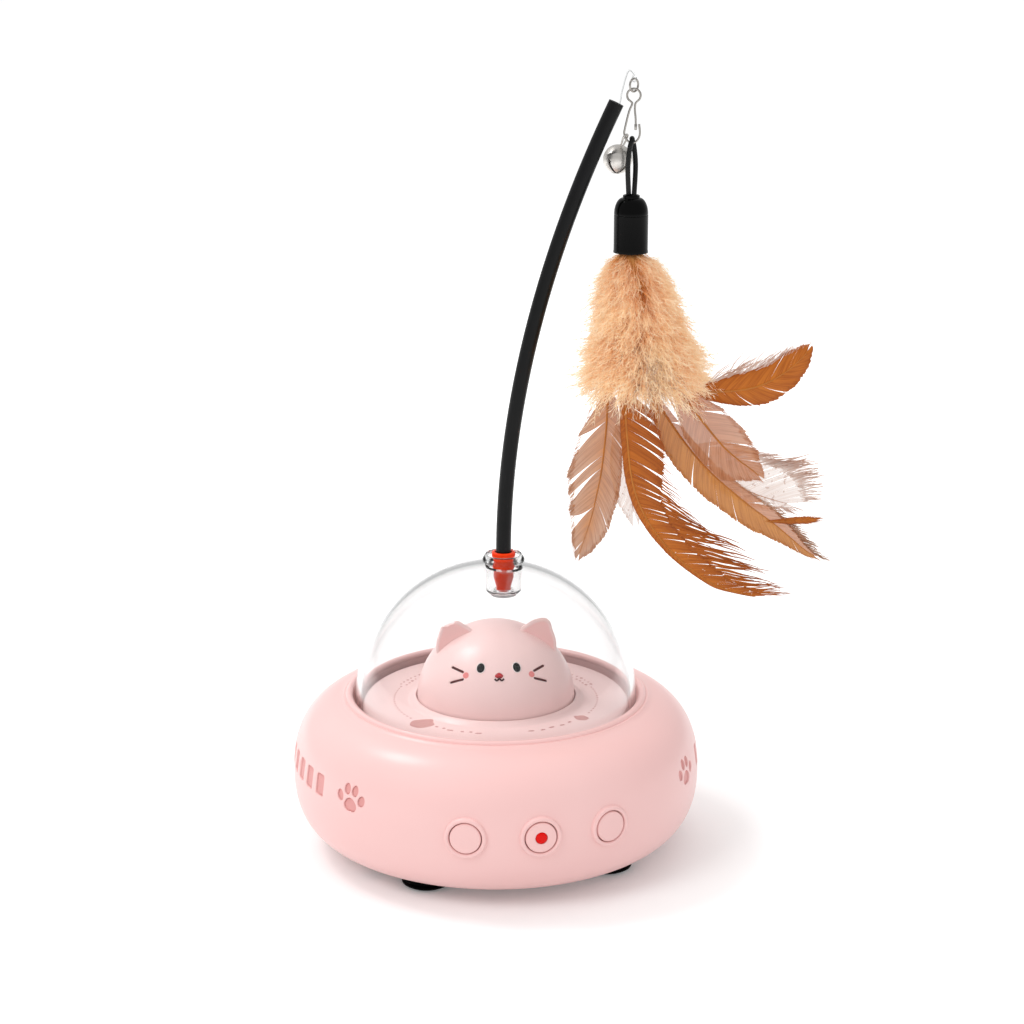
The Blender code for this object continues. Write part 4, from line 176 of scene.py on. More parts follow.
@dataclass(frozen=True)
class MouldedPlastic(Finish):
    """Injection-moulded plastic: an even colour with slow flow tones and the mould's fine satin grain."""

    flow_colour: str = "#ffffff"
    flow_size: float = 30 * MM
    grain: float = 0.22 * MM
    depth: float = 0.0012 * MM
    glow: float = 0.0

    def pattern(self, tree: bpy.types.NodeTree, shader: bpy.types.Node, where: bpy.types.Node) -> None:
        """Mixes the flow tones and lays the grain in the bump."""
        spot = where.outputs["Object"]
        flow = add_node(tree, "ShaderNodeTexNoise", {"Vector": spot, "Scale": 1 / self.flow_size, "Detail": 3.0})
        grain = add_node(tree, "ShaderNodeTexNoise", {"Vector": spot, "Scale": 1 / self.grain, "Detail": 2.0})
        tone = add_node(
            tree,
            "ShaderNodeMix",
            {0: flow.outputs["Fac"], 6: linear(self.colour), 7: linear(self.flow_colour)},
            data_type="RGBA",
        )
        tree.links.new(tone.outputs[2], shader.inputs["Base Color"])
        gloss = add_node(
            tree,
            "ShaderNodeMapRange",
            {
                "Value": grain.outputs["Fac"],
                "From Min": 0.3,
                "From Max": 0.7,
                "To Min": self.roughness - 0.02,
                "To Max": self.roughness + 0.03,
            },
        )
        tree.links.new(gloss.outputs["Result"], shader.inputs["Roughness"])
        bump = add_node(tree, "ShaderNodeBump", {"Height": grain.outputs["Fac"], "Distance": self.depth})
        tree.links.new(bump.outputs["Normal"], shader.inputs["Normal"])
        if self.glow:
            shader.inputs["Emission Color"].default_value = linear(self.colour)
            shader.inputs["Emission Strength"].default_value = self.glow


@dataclass(frozen=True)
class ClearPlastic(Finish):
    """Clear polycarbonate: sharp reflections, greyer where one looks along its wall, with faint mould waves.

    Light for what lies behind it passes straight through, as it does through a thin clear wall.
    """

    index: float = 1.38
    wave: float = 14 * MM
    depth: float = 0.010 * MM
    grey: float = 18.0

    def pattern(self, tree: bpy.types.NodeTree, shader: bpy.types.Node, where: bpy.types.Node) -> None:
        """Makes the plastic transmit, lets shadow rays through and adds the waves."""
        shader.inputs["Transmission Weight"].default_value = 1.0
        shader.inputs["IOR"].default_value = self.index
        spot = where.outputs["Object"]
        wave = add_node(tree, "ShaderNodeTexNoise", {"Vector": spot, "Scale": 1 / self.wave, "Detail": 1.0})
        bump = add_node(tree, "ShaderNodeBump", {"Height": wave.outputs["Fac"], "Distance": self.depth})
        tree.links.new(bump.outputs["Normal"], shader.inputs["Normal"])
        ray = add_node(tree, "ShaderNodeLightPath")
        passing = add_node(tree, "ShaderNodeBsdfTransparent", {"Color": linear("#fefefe")})
        mixed = add_node(
            tree,
            "ShaderNodeMixShader",
            {0: ray.outputs["Is Shadow Ray"], 1: shader.outputs["BSDF"], 2: passing.outputs["BSDF"]},
        )
        out = tree.nodes["Material Output"]
        tree.links.new(mixed.outputs["Shader"], out.inputs["Surface"])
        inside = add_node(tree, "ShaderNodeVolumeAbsorption", {"Color": linear("#303435"), "Density": self.grey})
        tree.links.new(inside.outputs["Volume"], out.inputs["Volume"])


@dataclass(frozen=True)
class PlatedMetal(Finish):
    """Nickel-plated steel: bright, with drawing lines and small dull spots that spread the reflections."""

    spot_size: float = 0.5 * MM
    depth: float = 0.003 * MM

    def pattern(self, tree: bpy.types.NodeTree, shader: bpy.types.Node, where: bpy.types.Node) -> None:
        """Varies the gloss and presses fine dents into the plating."""
        spot = where.outputs["Object"]
        dull = add_node(tree, "ShaderNodeTexNoise", {"Vector": spot, "Scale": 1 / self.spot_size, "Detail": 4.0})
        gloss = add_node(
            tree,
            "ShaderNodeMapRange",
            {
                "Value": dull.outputs["Fac"],
                "From Min": 0.35,
                "From Max": 0.70,
                "To Min": self.roughness * 0.7,
                "To Max": self.roughness * 1.6,
            },
        )
        tree.links.new(gloss.outputs["Result"], shader.inputs["Roughness"])
        bump = add_node(tree, "ShaderNodeBump", {"Height": dull.outputs["Fac"], "Distance": self.depth})
        tree.links.new(bump.outputs["Normal"], shader.inputs["Normal"])


@dataclass(frozen=True)
class SoftRubber(Finish):
    """Moulded rubber or silicone: a dull bloom over fine pits, with some light inside where it is thin."""

    bloom_colour: str = "#2a2a2b"
    pit: float = 0.35 * MM
    depth: float = 0.010 * MM
    inside: float = 0.0

    def pattern(self, tree: bpy.types.NodeTree, shader: bpy.types.Node, where: bpy.types.Node) -> None:
        """Mixes the bloom and presses the pits."""
        spot = where.outputs["Object"]
        bloom = add_node(tree, "ShaderNodeTexNoise", {"Vector": spot, "Scale": 1 / (4 * MM), "Detail": 4.0})
        pits = add_node(tree, "ShaderNodeTexNoise", {"Vector": spot, "Scale": 1 / self.pit, "Detail": 2.0})
        tone = add_node(
            tree,
            "ShaderNodeMix",
            {0: bloom.outputs["Fac"], 6: linear(self.colour), 7: linear(self.bloom_colour)},
            data_type="RGBA",
        )
        tree.links.new(tone.outputs[2], shader.inputs["Base Color"])
        bump = add_node(tree, "ShaderNodeBump", {"Height": pits.outputs["Fac"], "Distance": self.depth})
        tree.links.new(bump.outputs["Normal"], shader.inputs["Normal"])
        if self.inside:
            shader.inputs["Subsurface Weight"].default_value = self.inside
            shader.inputs["Subsurface Radius"].default_value = (1.0, 0.35, 0.2)
            shader.inputs["Subsurface Scale"].default_value = 1.2 * MM


@dataclass(frozen=True)
class CircuitBoard(Finish):
    """Green solder mask over copper tracks, which show as a lighter grid."""

    track_colour: str = "#2f7d4c"

    def pattern(self, tree: bpy.types.NodeTree, shader: bpy.types.Node, where: bpy.types.Node) -> None:
        """Lays the tracks with a brick pattern of 1.6 mm."""
        bricks = add_node(
            tree,
            "ShaderNodeTexBrick",
            {
                "Vector": where.outputs["Object"],
                "Color1": linear(self.colour),
                "Color2": linear(self.colour),
                "Mortar": linear(self.track_colour),
                "Scale": 1 / (6.4 * MM),
                "Mortar Size": 0.03,
            },
        )
        tree.links.new(bricks.outputs["Color"], shader.inputs["Base Color"])


@dataclass(frozen=True)
class BraidedCord(Finish):
    """A covered elastic cord: polished black threads cross over it at a steep angle."""

    thread_colour: str = "#2b2a2c"
    thread: float = 0.45 * MM
    depth: float = 0.05 * MM

    def pattern(self, tree: bpy.types.NodeTree, shader: bpy.types.Node, where: bpy.types.Node) -> None:
        """Crosses two sets of slanted threads on the cord's own UV map, which is in metres."""
        threads = []
        for slant in (1, -1):
            mapped = add_node(
                tree,
                "ShaderNodeMapping",
                {"Vector": where.outputs["UV"], "Rotation": (0.0, 0.0, slant * math.radians(52))},
            )
            threads.append(
                add_node(
                    tree,
                    "ShaderNodeTexWave",
                    {"Vector": mapped.outputs["Vector"], "Scale": 0.5 / self.thread / math.tau * 2, "Distortion": 0.0},
                )
            )
        over = add_node(
            tree,
            "ShaderNodeMath",
            {0: threads[0].outputs["Fac"], 1: threads[1].outputs["Fac"]},
            operation="MAXIMUM",
        )
        tone = add_node(
            tree,
            "ShaderNodeMix",
            {0: over.outputs["Value"], 6: linear(self.colour), 7: linear(self.thread_colour)},
            data_type="RGBA",
        )
        tree.links.new(tone.outputs[2], shader.inputs["Base Color"])
        bump = add_node(tree, "ShaderNodeBump", {"Height": over.outputs["Value"], "Distance": self.depth})
        tree.links.new(bump.outputs["Normal"], shader.inputs["Normal"])


@dataclass(frozen=True)
class Plumage(Finish):
    """Down or feather barbs: one colour at the root and another at the tip, streaked from barb to barb.

    Light shines through them, and thin vanes let some of what lies behind show. A faint glow stands for the light
    that goes from barb to barb inside thick down.
    """

    tip_colour: str = "#ffffff"
    streak_colour: str = ""
    streak_pitch: float = 0.55 * MM
    fleck_colour: str = ""
    fleck_size: float = 1.7 * MM
    fleck_from: float = 0.60
    fleck_start: float = 0.0
    shine_through: float = 0.35
    see_through: float = 0.0
    glow: float = 0.0

    def blend(
        self, tree: bpy.types.NodeTree, share: bpy.types.NodeSocket, low: object, high: object
    ) -> bpy.types.NodeSocket:
        """Mixes two colours by a share and returns the mixed colour's socket."""
        mixed = add_node(tree, "ShaderNodeMix", {0: share, 6: low, 7: high}, data_type="RGBA")
        return mixed.outputs[2]

    def pattern(self, tree: bpy.types.NodeTree, shader: bpy.types.Node, where: bpy.types.Node) -> None:
        """Runs the colour along each barb, varies it from barb to barb and adds streaks and flecks."""
        along = add_node(tree, "ShaderNodeAttribute", attribute_name="along")
        tone = add_node(tree, "ShaderNodeAttribute", attribute_name="tone")
        share = add_node(
            tree, "ShaderNodeMath", {0: along.outputs["Fac"], 1: tone.outputs["Fac"]}, operation="ADD", use_clamp=True
        )
        colour = self.blend(tree, share.outputs["Value"], linear(self.colour), linear(self.tip_colour))
        if self.streak_colour:
            station = add_node(tree, "ShaderNodeAttribute", attribute_name="station")
            across = add_node(
                tree, "ShaderNodeMath", {0: station.outputs["Fac"], 1: 1 / self.streak_pitch}, operation="MULTIPLY"
            )
            place = add_node(
                tree, "ShaderNodeCombineXYZ", {"X": across.outputs["Value"], "Y": along.outputs["Fac"], "Z": 0.5}
            )
            streaks = add_node(
                tree, "ShaderNodeTexNoise", {"Vector": place.outputs["Vector"], "Scale": 1.0, "Detail": 3.0}
            )
            amount = add_node(
                tree,
                "ShaderNodeMapRange",
                {"Value": streaks.outputs["Fac"], "From Min": 0.42, "From Max": 0.68, "To Min": 0.0, "To Max": 0.8},
            )
            colour = self.blend(tree, amount.outputs["Result"], colour, linear(self.streak_colour))
        if self.fleck_colour:
            flecks = add_node(
                tree,
                "ShaderNodeTexNoise",
                {"Vector": where.outputs["Object"], "Scale": 1 / self.fleck_size, "Detail": 1.5},
            )
            ends = self.fleck_from, self.fleck_from + 0.05
            amount = add_node(
                tree,
                "ShaderNodeMapRange",
                {"Value": flecks.outputs["Fac"], "From Min": ends[0], "From Max": ends[1], "To Min": 0.0, "To Max": 0.9},
            )
            station = add_node(tree, "ShaderNodeAttribute", attribute_name="station")
            begun = add_node(
                tree,
                "ShaderNodeMath",
                {0: station.outputs["Fac"], 1: self.fleck_start},
                operation="GREATER_THAN",
            )
            shown = add_node(
                tree, "ShaderNodeMath", {0: amount.outputs["Result"], 1: begun.outputs["Value"]}, operation="MULTIPLY"
            )
            colour = self.blend(tree, shown.outputs["Value"], colour, linear(self.fleck_colour))
        tree.links.new(colour, shader.inputs["Base Color"])
        if self.glow:
            tree.links.new(colour, shader.inputs["Emission Color"])
            shader.inputs["Emission Strength"].default_value = self.glow
        through = add_node(tree, "ShaderNodeBsdfTranslucent", {"Color": colour})
        mixed = add_node(
            tree,
            "ShaderNodeMixShader",
            {0: self.shine_through, 1: shader.outputs["BSDF"], 2: through.outputs["BSDF"]},
        )
        if self.see_through:
            clear = add_node(tree, "ShaderNodeBsdfTransparent")
            mixed = add_node(
                tree,
                "ShaderNodeMixShader",
                {0: self.see_through, 1: mixed.outputs["Shader"], 2: clear.outputs["BSDF"]},
            )
        tree.links.new(mixed.outputs["Shader"], tree.nodes["Material Output"].inputs["Surface"])


# ABS with a satin mould: soft broad highlights on pale pink
PINK_ABS = MouldedPlastic("moulded_pink_abs", "#f6cac7", 0.30, flow_colour="#f4c5c2")
# The head and the deck: the shell's pink ABS painted paler, as painted light that makes up for the light the clear dome
# takes from them
PINK_ABS_PAINTED_LIGHTER = MouldedPlastic("pink_abs_painted_lighter", "#ffdedb", 0.32, flow_colour="#fedad7")
# Painted highlight: a pale pink wire round each eye stands for the light that the mould's edge catches
EYE_RIM_HIGHLIGHT = MouldedPlastic("painted_highlight_pink_rim", "#fff0ee", 0.30, flow_colour="#ffebe9", depth=0.0)
# The same ABS in a deeper pink, duller from its finer mould
ROSE_ABS = MouldedPlastic("rose_abs", "#e3a09d", 0.42, flow_colour="#dd9894", depth=0.003 * MM)
# The ears' fronts lie a shade deeper than the head
EAR_ABS = MouldedPlastic("ear_pink_abs", "#ffd0cc", 0.36, flow_colour="#fdcac6")
# Pad-printed ink, flat and a little darker than the deck
DECK_INK = MouldedPlastic("printed_rose_ink", "#d79c97", 0.55, flow_colour="#d2948f", depth=0.0)
# Cheek ink: salmon, pad-printed
CHEEK_INK = MouldedPlastic("printed_salmon_ink", "#ef8f8c", 0.45, flow_colour="#ee8a87", depth=0.0)
# Dark rose paint in the whisker slots, made darker still as painted shade inside the slots; dull
SLOT_PAINT_AND_SHADE = MouldedPlastic("dark_rose_paint_and_painted_shade", "#5f2a29", 0.60, specular=0.2, flow_colour="#552424", depth=0.0)
# The mouth's paint: dark brown, half gloss
MOUTH_INK = MouldedPlastic("dark_brown_paint", "#3a1012", 0.35, specular=0.2, flow_colour="#350e10", depth=0.0)
# The nose: glossy red paint on a small insert
NOSE_PAINT = MouldedPlastic("red_nose_paint", "#c23338", 0.25, specular=0.3, flow_colour="#b92d33", depth=0.0)
# Polycarbonate of the dome and the rod's cup: clear and sharp
CLEAR_PC = ClearPlastic("clear_polycarbonate", "#fefefe", 0.02, specular=0.06)
# The cup is thicker, and its many edges look darker
CLEAR_CUP = ClearPlastic("clear_polycarbonate_cup", "#fefefe", 0.02, specular=0.04, index=1.22, wave=5 * MM, grey=70.0)
# The tip's line: clear nylon, slightly duller
CLEAR_NYLON = ClearPlastic("clear_nylon", "#e6e7e7", 0.12, index=1.53, wave=2 * MM, depth=0.0, grey=150.0)
# The lamp's lens: red acrylic that a lamp lights from behind
RED_ACRYLIC = MouldedPlastic(
    "red_acrylic", "#d40d08", 0.12, specular=0.15, flow_colour="#c80b06", depth=0.0, glow=0.22
)
# Polished black plastic of the eyes: deep black with a sharp highlight
BLACK_BEAD = MouldedPlastic("polished_black_bead", "#020202", 0.10, specular=0.30, flow_colour="#030303", depth=0.0)
# The ferrule's cap: polished black
BLACK_GLOSS = MouldedPlastic(
    "polished_black_plastic", "#020202", 0.13, specular=0.10, flow_colour="#030303", depth=0.0006 * MM
)
# Black plastic from a duller mould: switches and the ferrule's sleeve
BLACK_SATIN = MouldedPlastic("satin_black_plastic", "#040404", 0.26, specular=0.12, flow_colour="#060606")
# Glass-fibre rod: a matt black sleeve that shows a soft sheen along its length
BLACK_ROD = MouldedPlastic(
    "black_glass_fibre",
    "#070707",
    0.36,
    specular=0.17,
    flow_colour="#121213",
    flow_size=9 * MM,
    grain=0.35 * MM,
    depth=0.006 * MM,
)
# Foot rubber: black with a dull bloom
FOOT_RUBBER = SoftRubber("black_foot_rubber", "#020202", 0.45, specular=0.03, bloom_colour="#040404")
# Plug silicone: bright orange red, slightly waxy
PLUG_SILICONE = SoftRubber(
    "orange_red_silicone", "#ff3600", 0.32, specular=0.18, bloom_colour="#fb4410", pit=0.5 * MM, depth=0.004 * MM
)
# Nickel-plated wire, painted a darker grey than the bell's nickel: painted shade for the dull sides and dark
# reflections that the small bent wire mostly shows
SHADED_NICKEL_WIRE = PlatedMetal("nickel_plated_wire_painted_shade", "#a39f9a", 0.20, metallic=1.0)
# The bell: nickel plate on thin steel, satin
NICKEL = PlatedMetal("nickel_plated_steel", "#d6d2cd", 0.40, metallic=1.0, spot_size=2.4 * MM, depth=0.0)
# The pellet inside the bell
DULL_STEEL = PlatedMetal("dull_steel", "#6b605b", 0.35, metallic=1.0)
# Zinc-plated screws and cans inside the base
ZINC = PlatedMetal("zinc_plated_steel", "#b9bcc0", 0.28, metallic=1.0)
# Gears and bush: creamy acetal, slightly waxy
ACETAL = MouldedPlastic("natural_acetal", "#ece7da", 0.38, flow_colour="#e6e0d0")
# Boards: solder mask
SOLDER_MASK = CircuitBoard("green_solder_mask", "#1f5f38", 0.35)
# The cell's shrink wrap: plain blue
SHRINK_WRAP = MouldedPlastic("blue_shrink_wrap", "#2f6fae", 0.22, flow_colour="#2a67a4", grain=0.6 * MM)
# The loop's cover: polished black threads over elastic
ELASTIC_COVER = BraidedCord("black_elastic_cover", "#040404", 0.26, specular=0.25, thread_colour="#0a0a0a")
# Down: dyed turkey down, orange at the root and cream at the tip, with a faint painted glow for the light scattered
# inside it
DOWN = Plumage("apricot_down", "#e6ae70", 0.85, tip_colour="#fbe9cc", shine_through=0.45, glow=0.15)
# The down's hidden core: the down's deeper root colour, darkened further as painted shade where the wisps part
DOWN_CORE_AND_SHADE = Plumage("dark_apricot_down_painted_shade", "#c98a4c", 0.90, tip_colour="#d59a5e", shine_through=0.10)
# A few wisps of grey brown down from the feathers' roots
GREY_DOWN = Plumage("grey_brown_down", "#a08672", 0.85, tip_colour="#dcc8b6", shine_through=0.40)
# Firm vanes: burnt orange with darker streaks
BURNT_ORANGE = Plumage(
    "burnt_orange_vane", "#c97423", 0.50, tip_colour="#b9651e", streak_colour="#a04f12", shine_through=0.40
)
# The same with white specks towards its edge
SPECKLED_ORANGE = Plumage(
    "speckled_orange_vane",
    "#cb7424",
    0.50,
    tip_colour="#ab5a1b",
    streak_colour="#9c4c12",
    fleck_colour="#fbf1e2",
    fleck_size=1.3 * MM,
    fleck_from=0.66,
    fleck_start=62 * MM,
    shine_through=0.40,
)
# Tan vane, warm and half clear
TAN = Plumage(
    "tan_vane", "#d48d3c", 0.55, tip_colour="#cb8335", streak_colour="#b2681f", shine_through=0.45, see_through=0.04
)
# Pinkish brown vane, see-through like thin horn
ROSY = Plumage(
    "rosy_brown_vane", "#cf8656", 0.60, tip_colour="#d0946c", streak_colour="#b06c40", shine_through=0.50, see_through=0.12
)
# Grey brown barbs, loose and thin
DUSKY = Plumage(
    "dusky_vane", "#bd8a68", 0.65, tip_colour="#dcb79c", streak_colour="#9c6c4c", shine_through=0.50, see_through=0.10
)
# Soft vanes: white with a blush and a few brown flecks
BLUSH = Plumage(
    "blush_vane",
    "#efdcd2",
    0.70,
    tip_colour="#f8efe9",
    streak_colour="#d9b9a6",
    fleck_colour="#b07a58",
    fleck_size=2.4 * MM,
    fleck_from=0.62,
    shine_through=0.50,
    see_through=0.30,
)
# Loose white barbs with brown ends
BROWN_TIPPED = Plumage("brown_tipped_barbs", "#f2e6df", 0.65, tip_colour="#b97b52", shine_through=0.45, see_through=0.1)
# Vane that is orange by the shaft and pinkish beyond, like thin horn
HORN = Plumage(
    "horn_vane", "#cb8038", 0.60, tip_colour="#cfa183", streak_colour="#ab6a3c", shine_through=0.50, see_through=0.08
)
# The shafts: horny, amber
QUILL = MouldedPlastic("amber_quill", "#cc8234", 0.30, specular=0.3, flow_colour="#a35d20", flow_size=8 * MM, depth=0.0)


def soften(points: Sequence[Point], radius: float, steps: int = 4, closed: bool = False) -> list[Point]:
    """Rounds the corners of an outline, and leaves its gentle curves alone.

    Args:
        points: The outline.
        radius: The corners' radius, less where an edge is short.
        steps: How many parts each corner gets.
        closed: Whether the last point joins the first.

    Returns:
        The rounded outline.
    """
    result: list[Point] = []
    count = len(points)
    for i, point in enumerate(points):
        if not closed and i in (0, count - 1):
            result.append(point)
            continue
        corner = Vector(point)
        before = Vector(points[i - 1]) - corner
        after = Vector(points[(i + 1) % count]) - corner
        if min(before.length, after.length) < 1e-7:
            continue
        turn = math.pi - before.angle(after)
        if turn < math.radians(20):
            result.append(point)
            continue
        reach = min(radius * math.tan(turn / 2), before.length * 0.48, after.length * 0.48)
        start, end = corner + before.normalized() * reach, corner + after.normalized() * reach
        for k in range(steps + 1):
            t = k / steps
            spot = start * (1 - t) ** 2 + corner * 2 * t * (1 - t) + end * t**2
            result.append((spot.x, spot.y))
    return result


def widen(outline: Sequence[Point], offset: float) -> list[Point]:
    """Moves a closed outline out by an offset, or in if it is negative.

    Args:
        outline: Points that run counter-clockwise.
        offset: How far each point moves.

    Returns:
        The moved outline.
    """
    count = len(outline)
    result = []
    for i, (x, y) in enumerate(outline):
        before, after = outline[i - 1], outline[(i + 1) % count]
        along = Vector((after[0] - before[0], after[1] - before[1])).normalized()
        result.append((x + along.y * offset, y - along.x * offset))
    return result


def oval(half_width: float, half_height: float, steps: int, centre: Point = (0.0, 0.0), tilt: float = 0.0) -> list[Point]:
    """Points on an ellipse, counter-clockwise.

    Args:
        half_width: Half its width.
        half_height: Half its height.
        steps: How many points.
        centre: Its middle.
        tilt: How far it is turned, in radians.

    Returns:
        The points.
    """
    points = []
    for i in range(steps):
        angle = math.tau * i / steps
        x, y = half_width * math.cos(angle), half_height * math.sin(angle)
        points.append(
            (
                centre[0] + x * math.cos(tilt) - y * math.sin(tilt),
                centre[1] + x * math.sin(tilt) + y * math.cos(tilt),
            )
        )
    return points


def rounded_box(width: float, height: float, corner: float, steps: int = 6) -> list[Point]:
    """A rectangle with round corners, counter-clockwise.

    Args:
        width: Its width.
        height: Its height.
        corner: The corners' radius.
        steps: Points to each corner.

    Returns:
        The points.
    """
    points = []
    for k, (side_x, side_y) in enumerate(((1, 1), (-1, 1), (-1, -1), (1, -1))):
        for i in range(steps):
            angle = math.pi / 2 * (k + i / (steps - 1))
            points.append(
                (
                    side_x * (width / 2 - corner) + corner * math.cos(angle),
                    side_y * (height / 2 - corner) + corner * math.sin(angle),
                )
            )
    return points


def smooth_route(points: Sequence[Vector], steps: int, closed: bool = False) -> list[Vector]:
    """A smooth line through a route's own points.

    Args:
        points: The route's points.
        steps: How many parts each stretch gets.
        closed: Whether the route comes back to its start.

    Returns:
        The line's points, without the first one again if it is closed.
    """
    route = [Vector(p) for p in points]
    ends = [route[-1], *route, route[0], route[1]] if closed else [route[0] * 2 - route[1], *route, route[-1] * 2 - route[-2]]
    result = []
    for a, b, c, d in zip(ends, ends[1:], ends[2:], ends[3:]):
        for i in range(steps):
            t = i / steps
            bend = (2 * a - 5 * b + 4 * c - d) * t**2
            twist = (3 * b - a - 3 * c + d) * t**3
            result.append(0.5 * (2 * b + (c - a) * t + bend + twist))
    if not closed:
        result.append(route[-1])
    return result


def ring(bm: bmesh.types.BMesh, radius: float, height: float, columns: int, start: float = 0.0, x: float = 0.0) -> list:
    """A level ring of vertices, or one vertex where the radius is nothing.

    Args:
        bm: The mesh that gets them.
        radius: The ring's radius.
        height: Its height.
        columns: How many vertices.
        start: The first one's azimuth.
        x: The ring's middle along X.

    Returns:
        The vertices.
    """
    if radius < 1e-7:
        return [bm.verts.new((x, 0, height))]
    angles = [start + math.tau * i / columns for i in range(columns)]
    return [bm.verts.new((x + radius * math.sin(a), -radius * math.cos(a), height)) for a in angles]


def bridge(bm: bmesh.types.BMesh, low: list, high: list) -> None:
    """Joins two rings of as many vertices, or a ring and a pole, with faces.

    Args:
        bm: The mesh.
        low: One ring.
        high: The other.
    """
    count = max(len(low), len(high))
    for k in range(count):
        after = (k + 1) % count
        corners = [low[k % len(low)], low[after % len(low)], high[after % len(high)], high[k % len(high)]]
        corners = list(dict.fromkeys(corners))
        if len(corners) > 2:
            bm.faces.new(corners)


def turned(
    profile: Sequence[Point],
    columns: int,
    closed: bool = False,
    x: float = 0.0,
    bm: bmesh.types.BMesh | None = None,
) -> bmesh.types.BMesh:
    """Turns a profile of radius and height about a vertical axis.

    Args:
        profile: Its points.
        columns: How many parts the turn has.
        closed: Whether the last point joins the first.
        x: Where the axis stands along X.
        bm: A mesh to add to.

    Returns:
        The mesh.
    """
    bm = bm or bmesh.new()
    rings = [ring(bm, r, z, columns, 0.0, x) for r, z in profile]
    for low, high in zip(rings, rings[1:]):
        bridge(bm, low, high)
    if closed:
        bridge(bm, rings[-1], rings[0])
    return bm


def tube(
    points: Sequence[Vector],
    radius: float,
    sides: int,
    bore: float = 0.0,
    closed: bool = False,
    bm: bmesh.types.BMesh | None = None,
    taper: Sequence[float] | None = None,
) -> bmesh.types.BMesh:
    """A round tube along points, with a UV map in metres round it and along it.

    Args:
        points: Its middle line.
        radius: Its radius.
        sides: How many sides it has.
        bore: A hollow's radius, from end to end.
        closed: Whether its ends meet.
        bm: A mesh to add to.
        taper: For each point, a share of the radius.

    Returns:
        The mesh.
    """
    bm = bm or bmesh.new()
    chart = bm.loops.layers.uv.verify()
    points = [Vector(p) for p in points]
    count = len(points)
    tangent = (points[1] - points[-1 if closed else 0]).normalized()
    normal = tangent.orthogonal().normalized()
    walls: dict[float, list[list]] = {radius: []}
    if bore:
        walls[bore] = []
    frames = []
    for i, point in enumerate(points):
        before = points[i - 1] if closed or i > 0 else point
        after = points[(i + 1) % count] if closed or i < count - 1 else point
        turned_to = (after - before).normalized()
        normal = (tangent.rotation_difference(turned_to) @ normal).normalized()
        tangent = turned_to
        frames.append((point, normal.copy(), tangent.cross(normal)))
    drift = 0.0
    if closed:
        last = (tangent.rotation_difference((points[1] - points[-1]).normalized()) @ normal).normalized()
        first, first_side = frames[0][1], frames[0][2]
        drift = -math.atan2(last.dot(first_side), last.dot(first))
    for i, (point, across, up) in enumerate(frames):
        share = taper[i] if taper else 1.0
        for size, rings in walls.items():
            around = []
            for k in range(sides):
                angle = math.tau * k / sides + drift * i / count
                around.append(bm.verts.new(point + size * share * (math.cos(angle) * across + math.sin(angle) * up)))
            rings.append(around)
    girth = math.tau * radius
    for size, rings in walls.items():
        length = 0.0
        for i in range(count if closed else count - 1):
            low, high = rings[i], rings[(i + 1) % count]
            step = (points[(i + 1) % count] - points[i]).length
            for k in range(sides):
                after = (k + 1) % sides
                face = bm.faces.new((low[k], low[after], high[after], high[k]))
                chart_points = ((k, 0), (k + 1, 0), (k + 1, 1), (k, 1))
                for loop, (turn, up) in zip(face.loops, chart_points):
                    loop[chart].uv = (turn / sides * girth, length + up * step)
            length += step
    if closed:
        return bm
    for end in (0, -1):
        if bore:
            bridge(bm, walls[radius][end], walls[bore][end])
        else:
            bm.faces.new(walls[radius][end])
    return bm


def put(
    name: str,
    shape: bmesh.types.BMesh | bpy.types.Mesh,
    finish: Finish,
    body: Body,
    stands_for: Sequence[str] = (),
    turn: Matrix | None = None,
    sharp: float = 35.0,
) -> bpy.types.Object:
    """Makes a finished piece, dresses it and lets it ride.

    Args:
        name: The piece's name.
        shape: Its mesh, in place.
        finish: What it is made of.
        body: The body that carries it.
        stands_for: The frame's nodes that it replaces.
        turn: A turn for the mesh about the origin.
        sharp: From which angle an edge is sharp, in degrees.

    Returns:
        The piece.
    """
    if isinstance(shape, bmesh.types.BMesh):
        if turn is not None:
            shape.transform(turn)
        bmesh.ops.recalc_face_normals(shape, faces=shape.faces)
        mesh = bpy.data.meshes.new(name)
        shape.to_mesh(mesh)
        shape.free()
    else:
        mesh = shape
        if turn is not None:
            mesh.transform(turn)
    mesh.shade_smooth()
    mesh.set_sharp_from_angle(angle=math.radians(sharp))
    mesh.materials.clear()
    mesh.materials.append(finish.material())
    piece = bpy.data.objects.new(name, mesh)
    bpy.context.scene.collection.objects.link(piece)
    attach(piece, body.value)
    if stands_for:
        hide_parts(*stands_for)
    log.info("%s: %d faces in %s, on %s", name, len(mesh.polygons), finish.name, body.value)
    return piece


def cut_away(bm: bmesh.types.BMesh, tools: bmesh.types.BMesh) -> bpy.types.Mesh:
    """Takes closed shapes out of a closed shape.

    Args:
        bm: The shape, which is used up.
        tools: The shapes to take out, which are used up.

    Returns:
        What is left.
    """
    both = []
    for shape in (bm, tools):
        bmesh.ops.recalc_face_normals(shape, faces=shape.faces)
        mesh = bpy.data.meshes.new("cut")
        shape.to_mesh(mesh)
        shape.free()
        obj = bpy.data.objects.new("cut", mesh)
        bpy.context.scene.collection.objects.link(obj)
        both.append(obj)
    modifier = both[0].modifiers.new("cut", "BOOLEAN")
    modifier.operation = "DIFFERENCE"
    modifier.solver = "EXACT"
    modifier.object = both[1]
    graph = bpy.context.evaluated_depsgraph_get()
    result = bpy.data.meshes.new_from_object(both[0].evaluated_get(graph))
    for obj in both:
        bpy.data.objects.remove(obj)
    return result


COPY_NAMES = ("First copy", "Second copy", "Third copy")


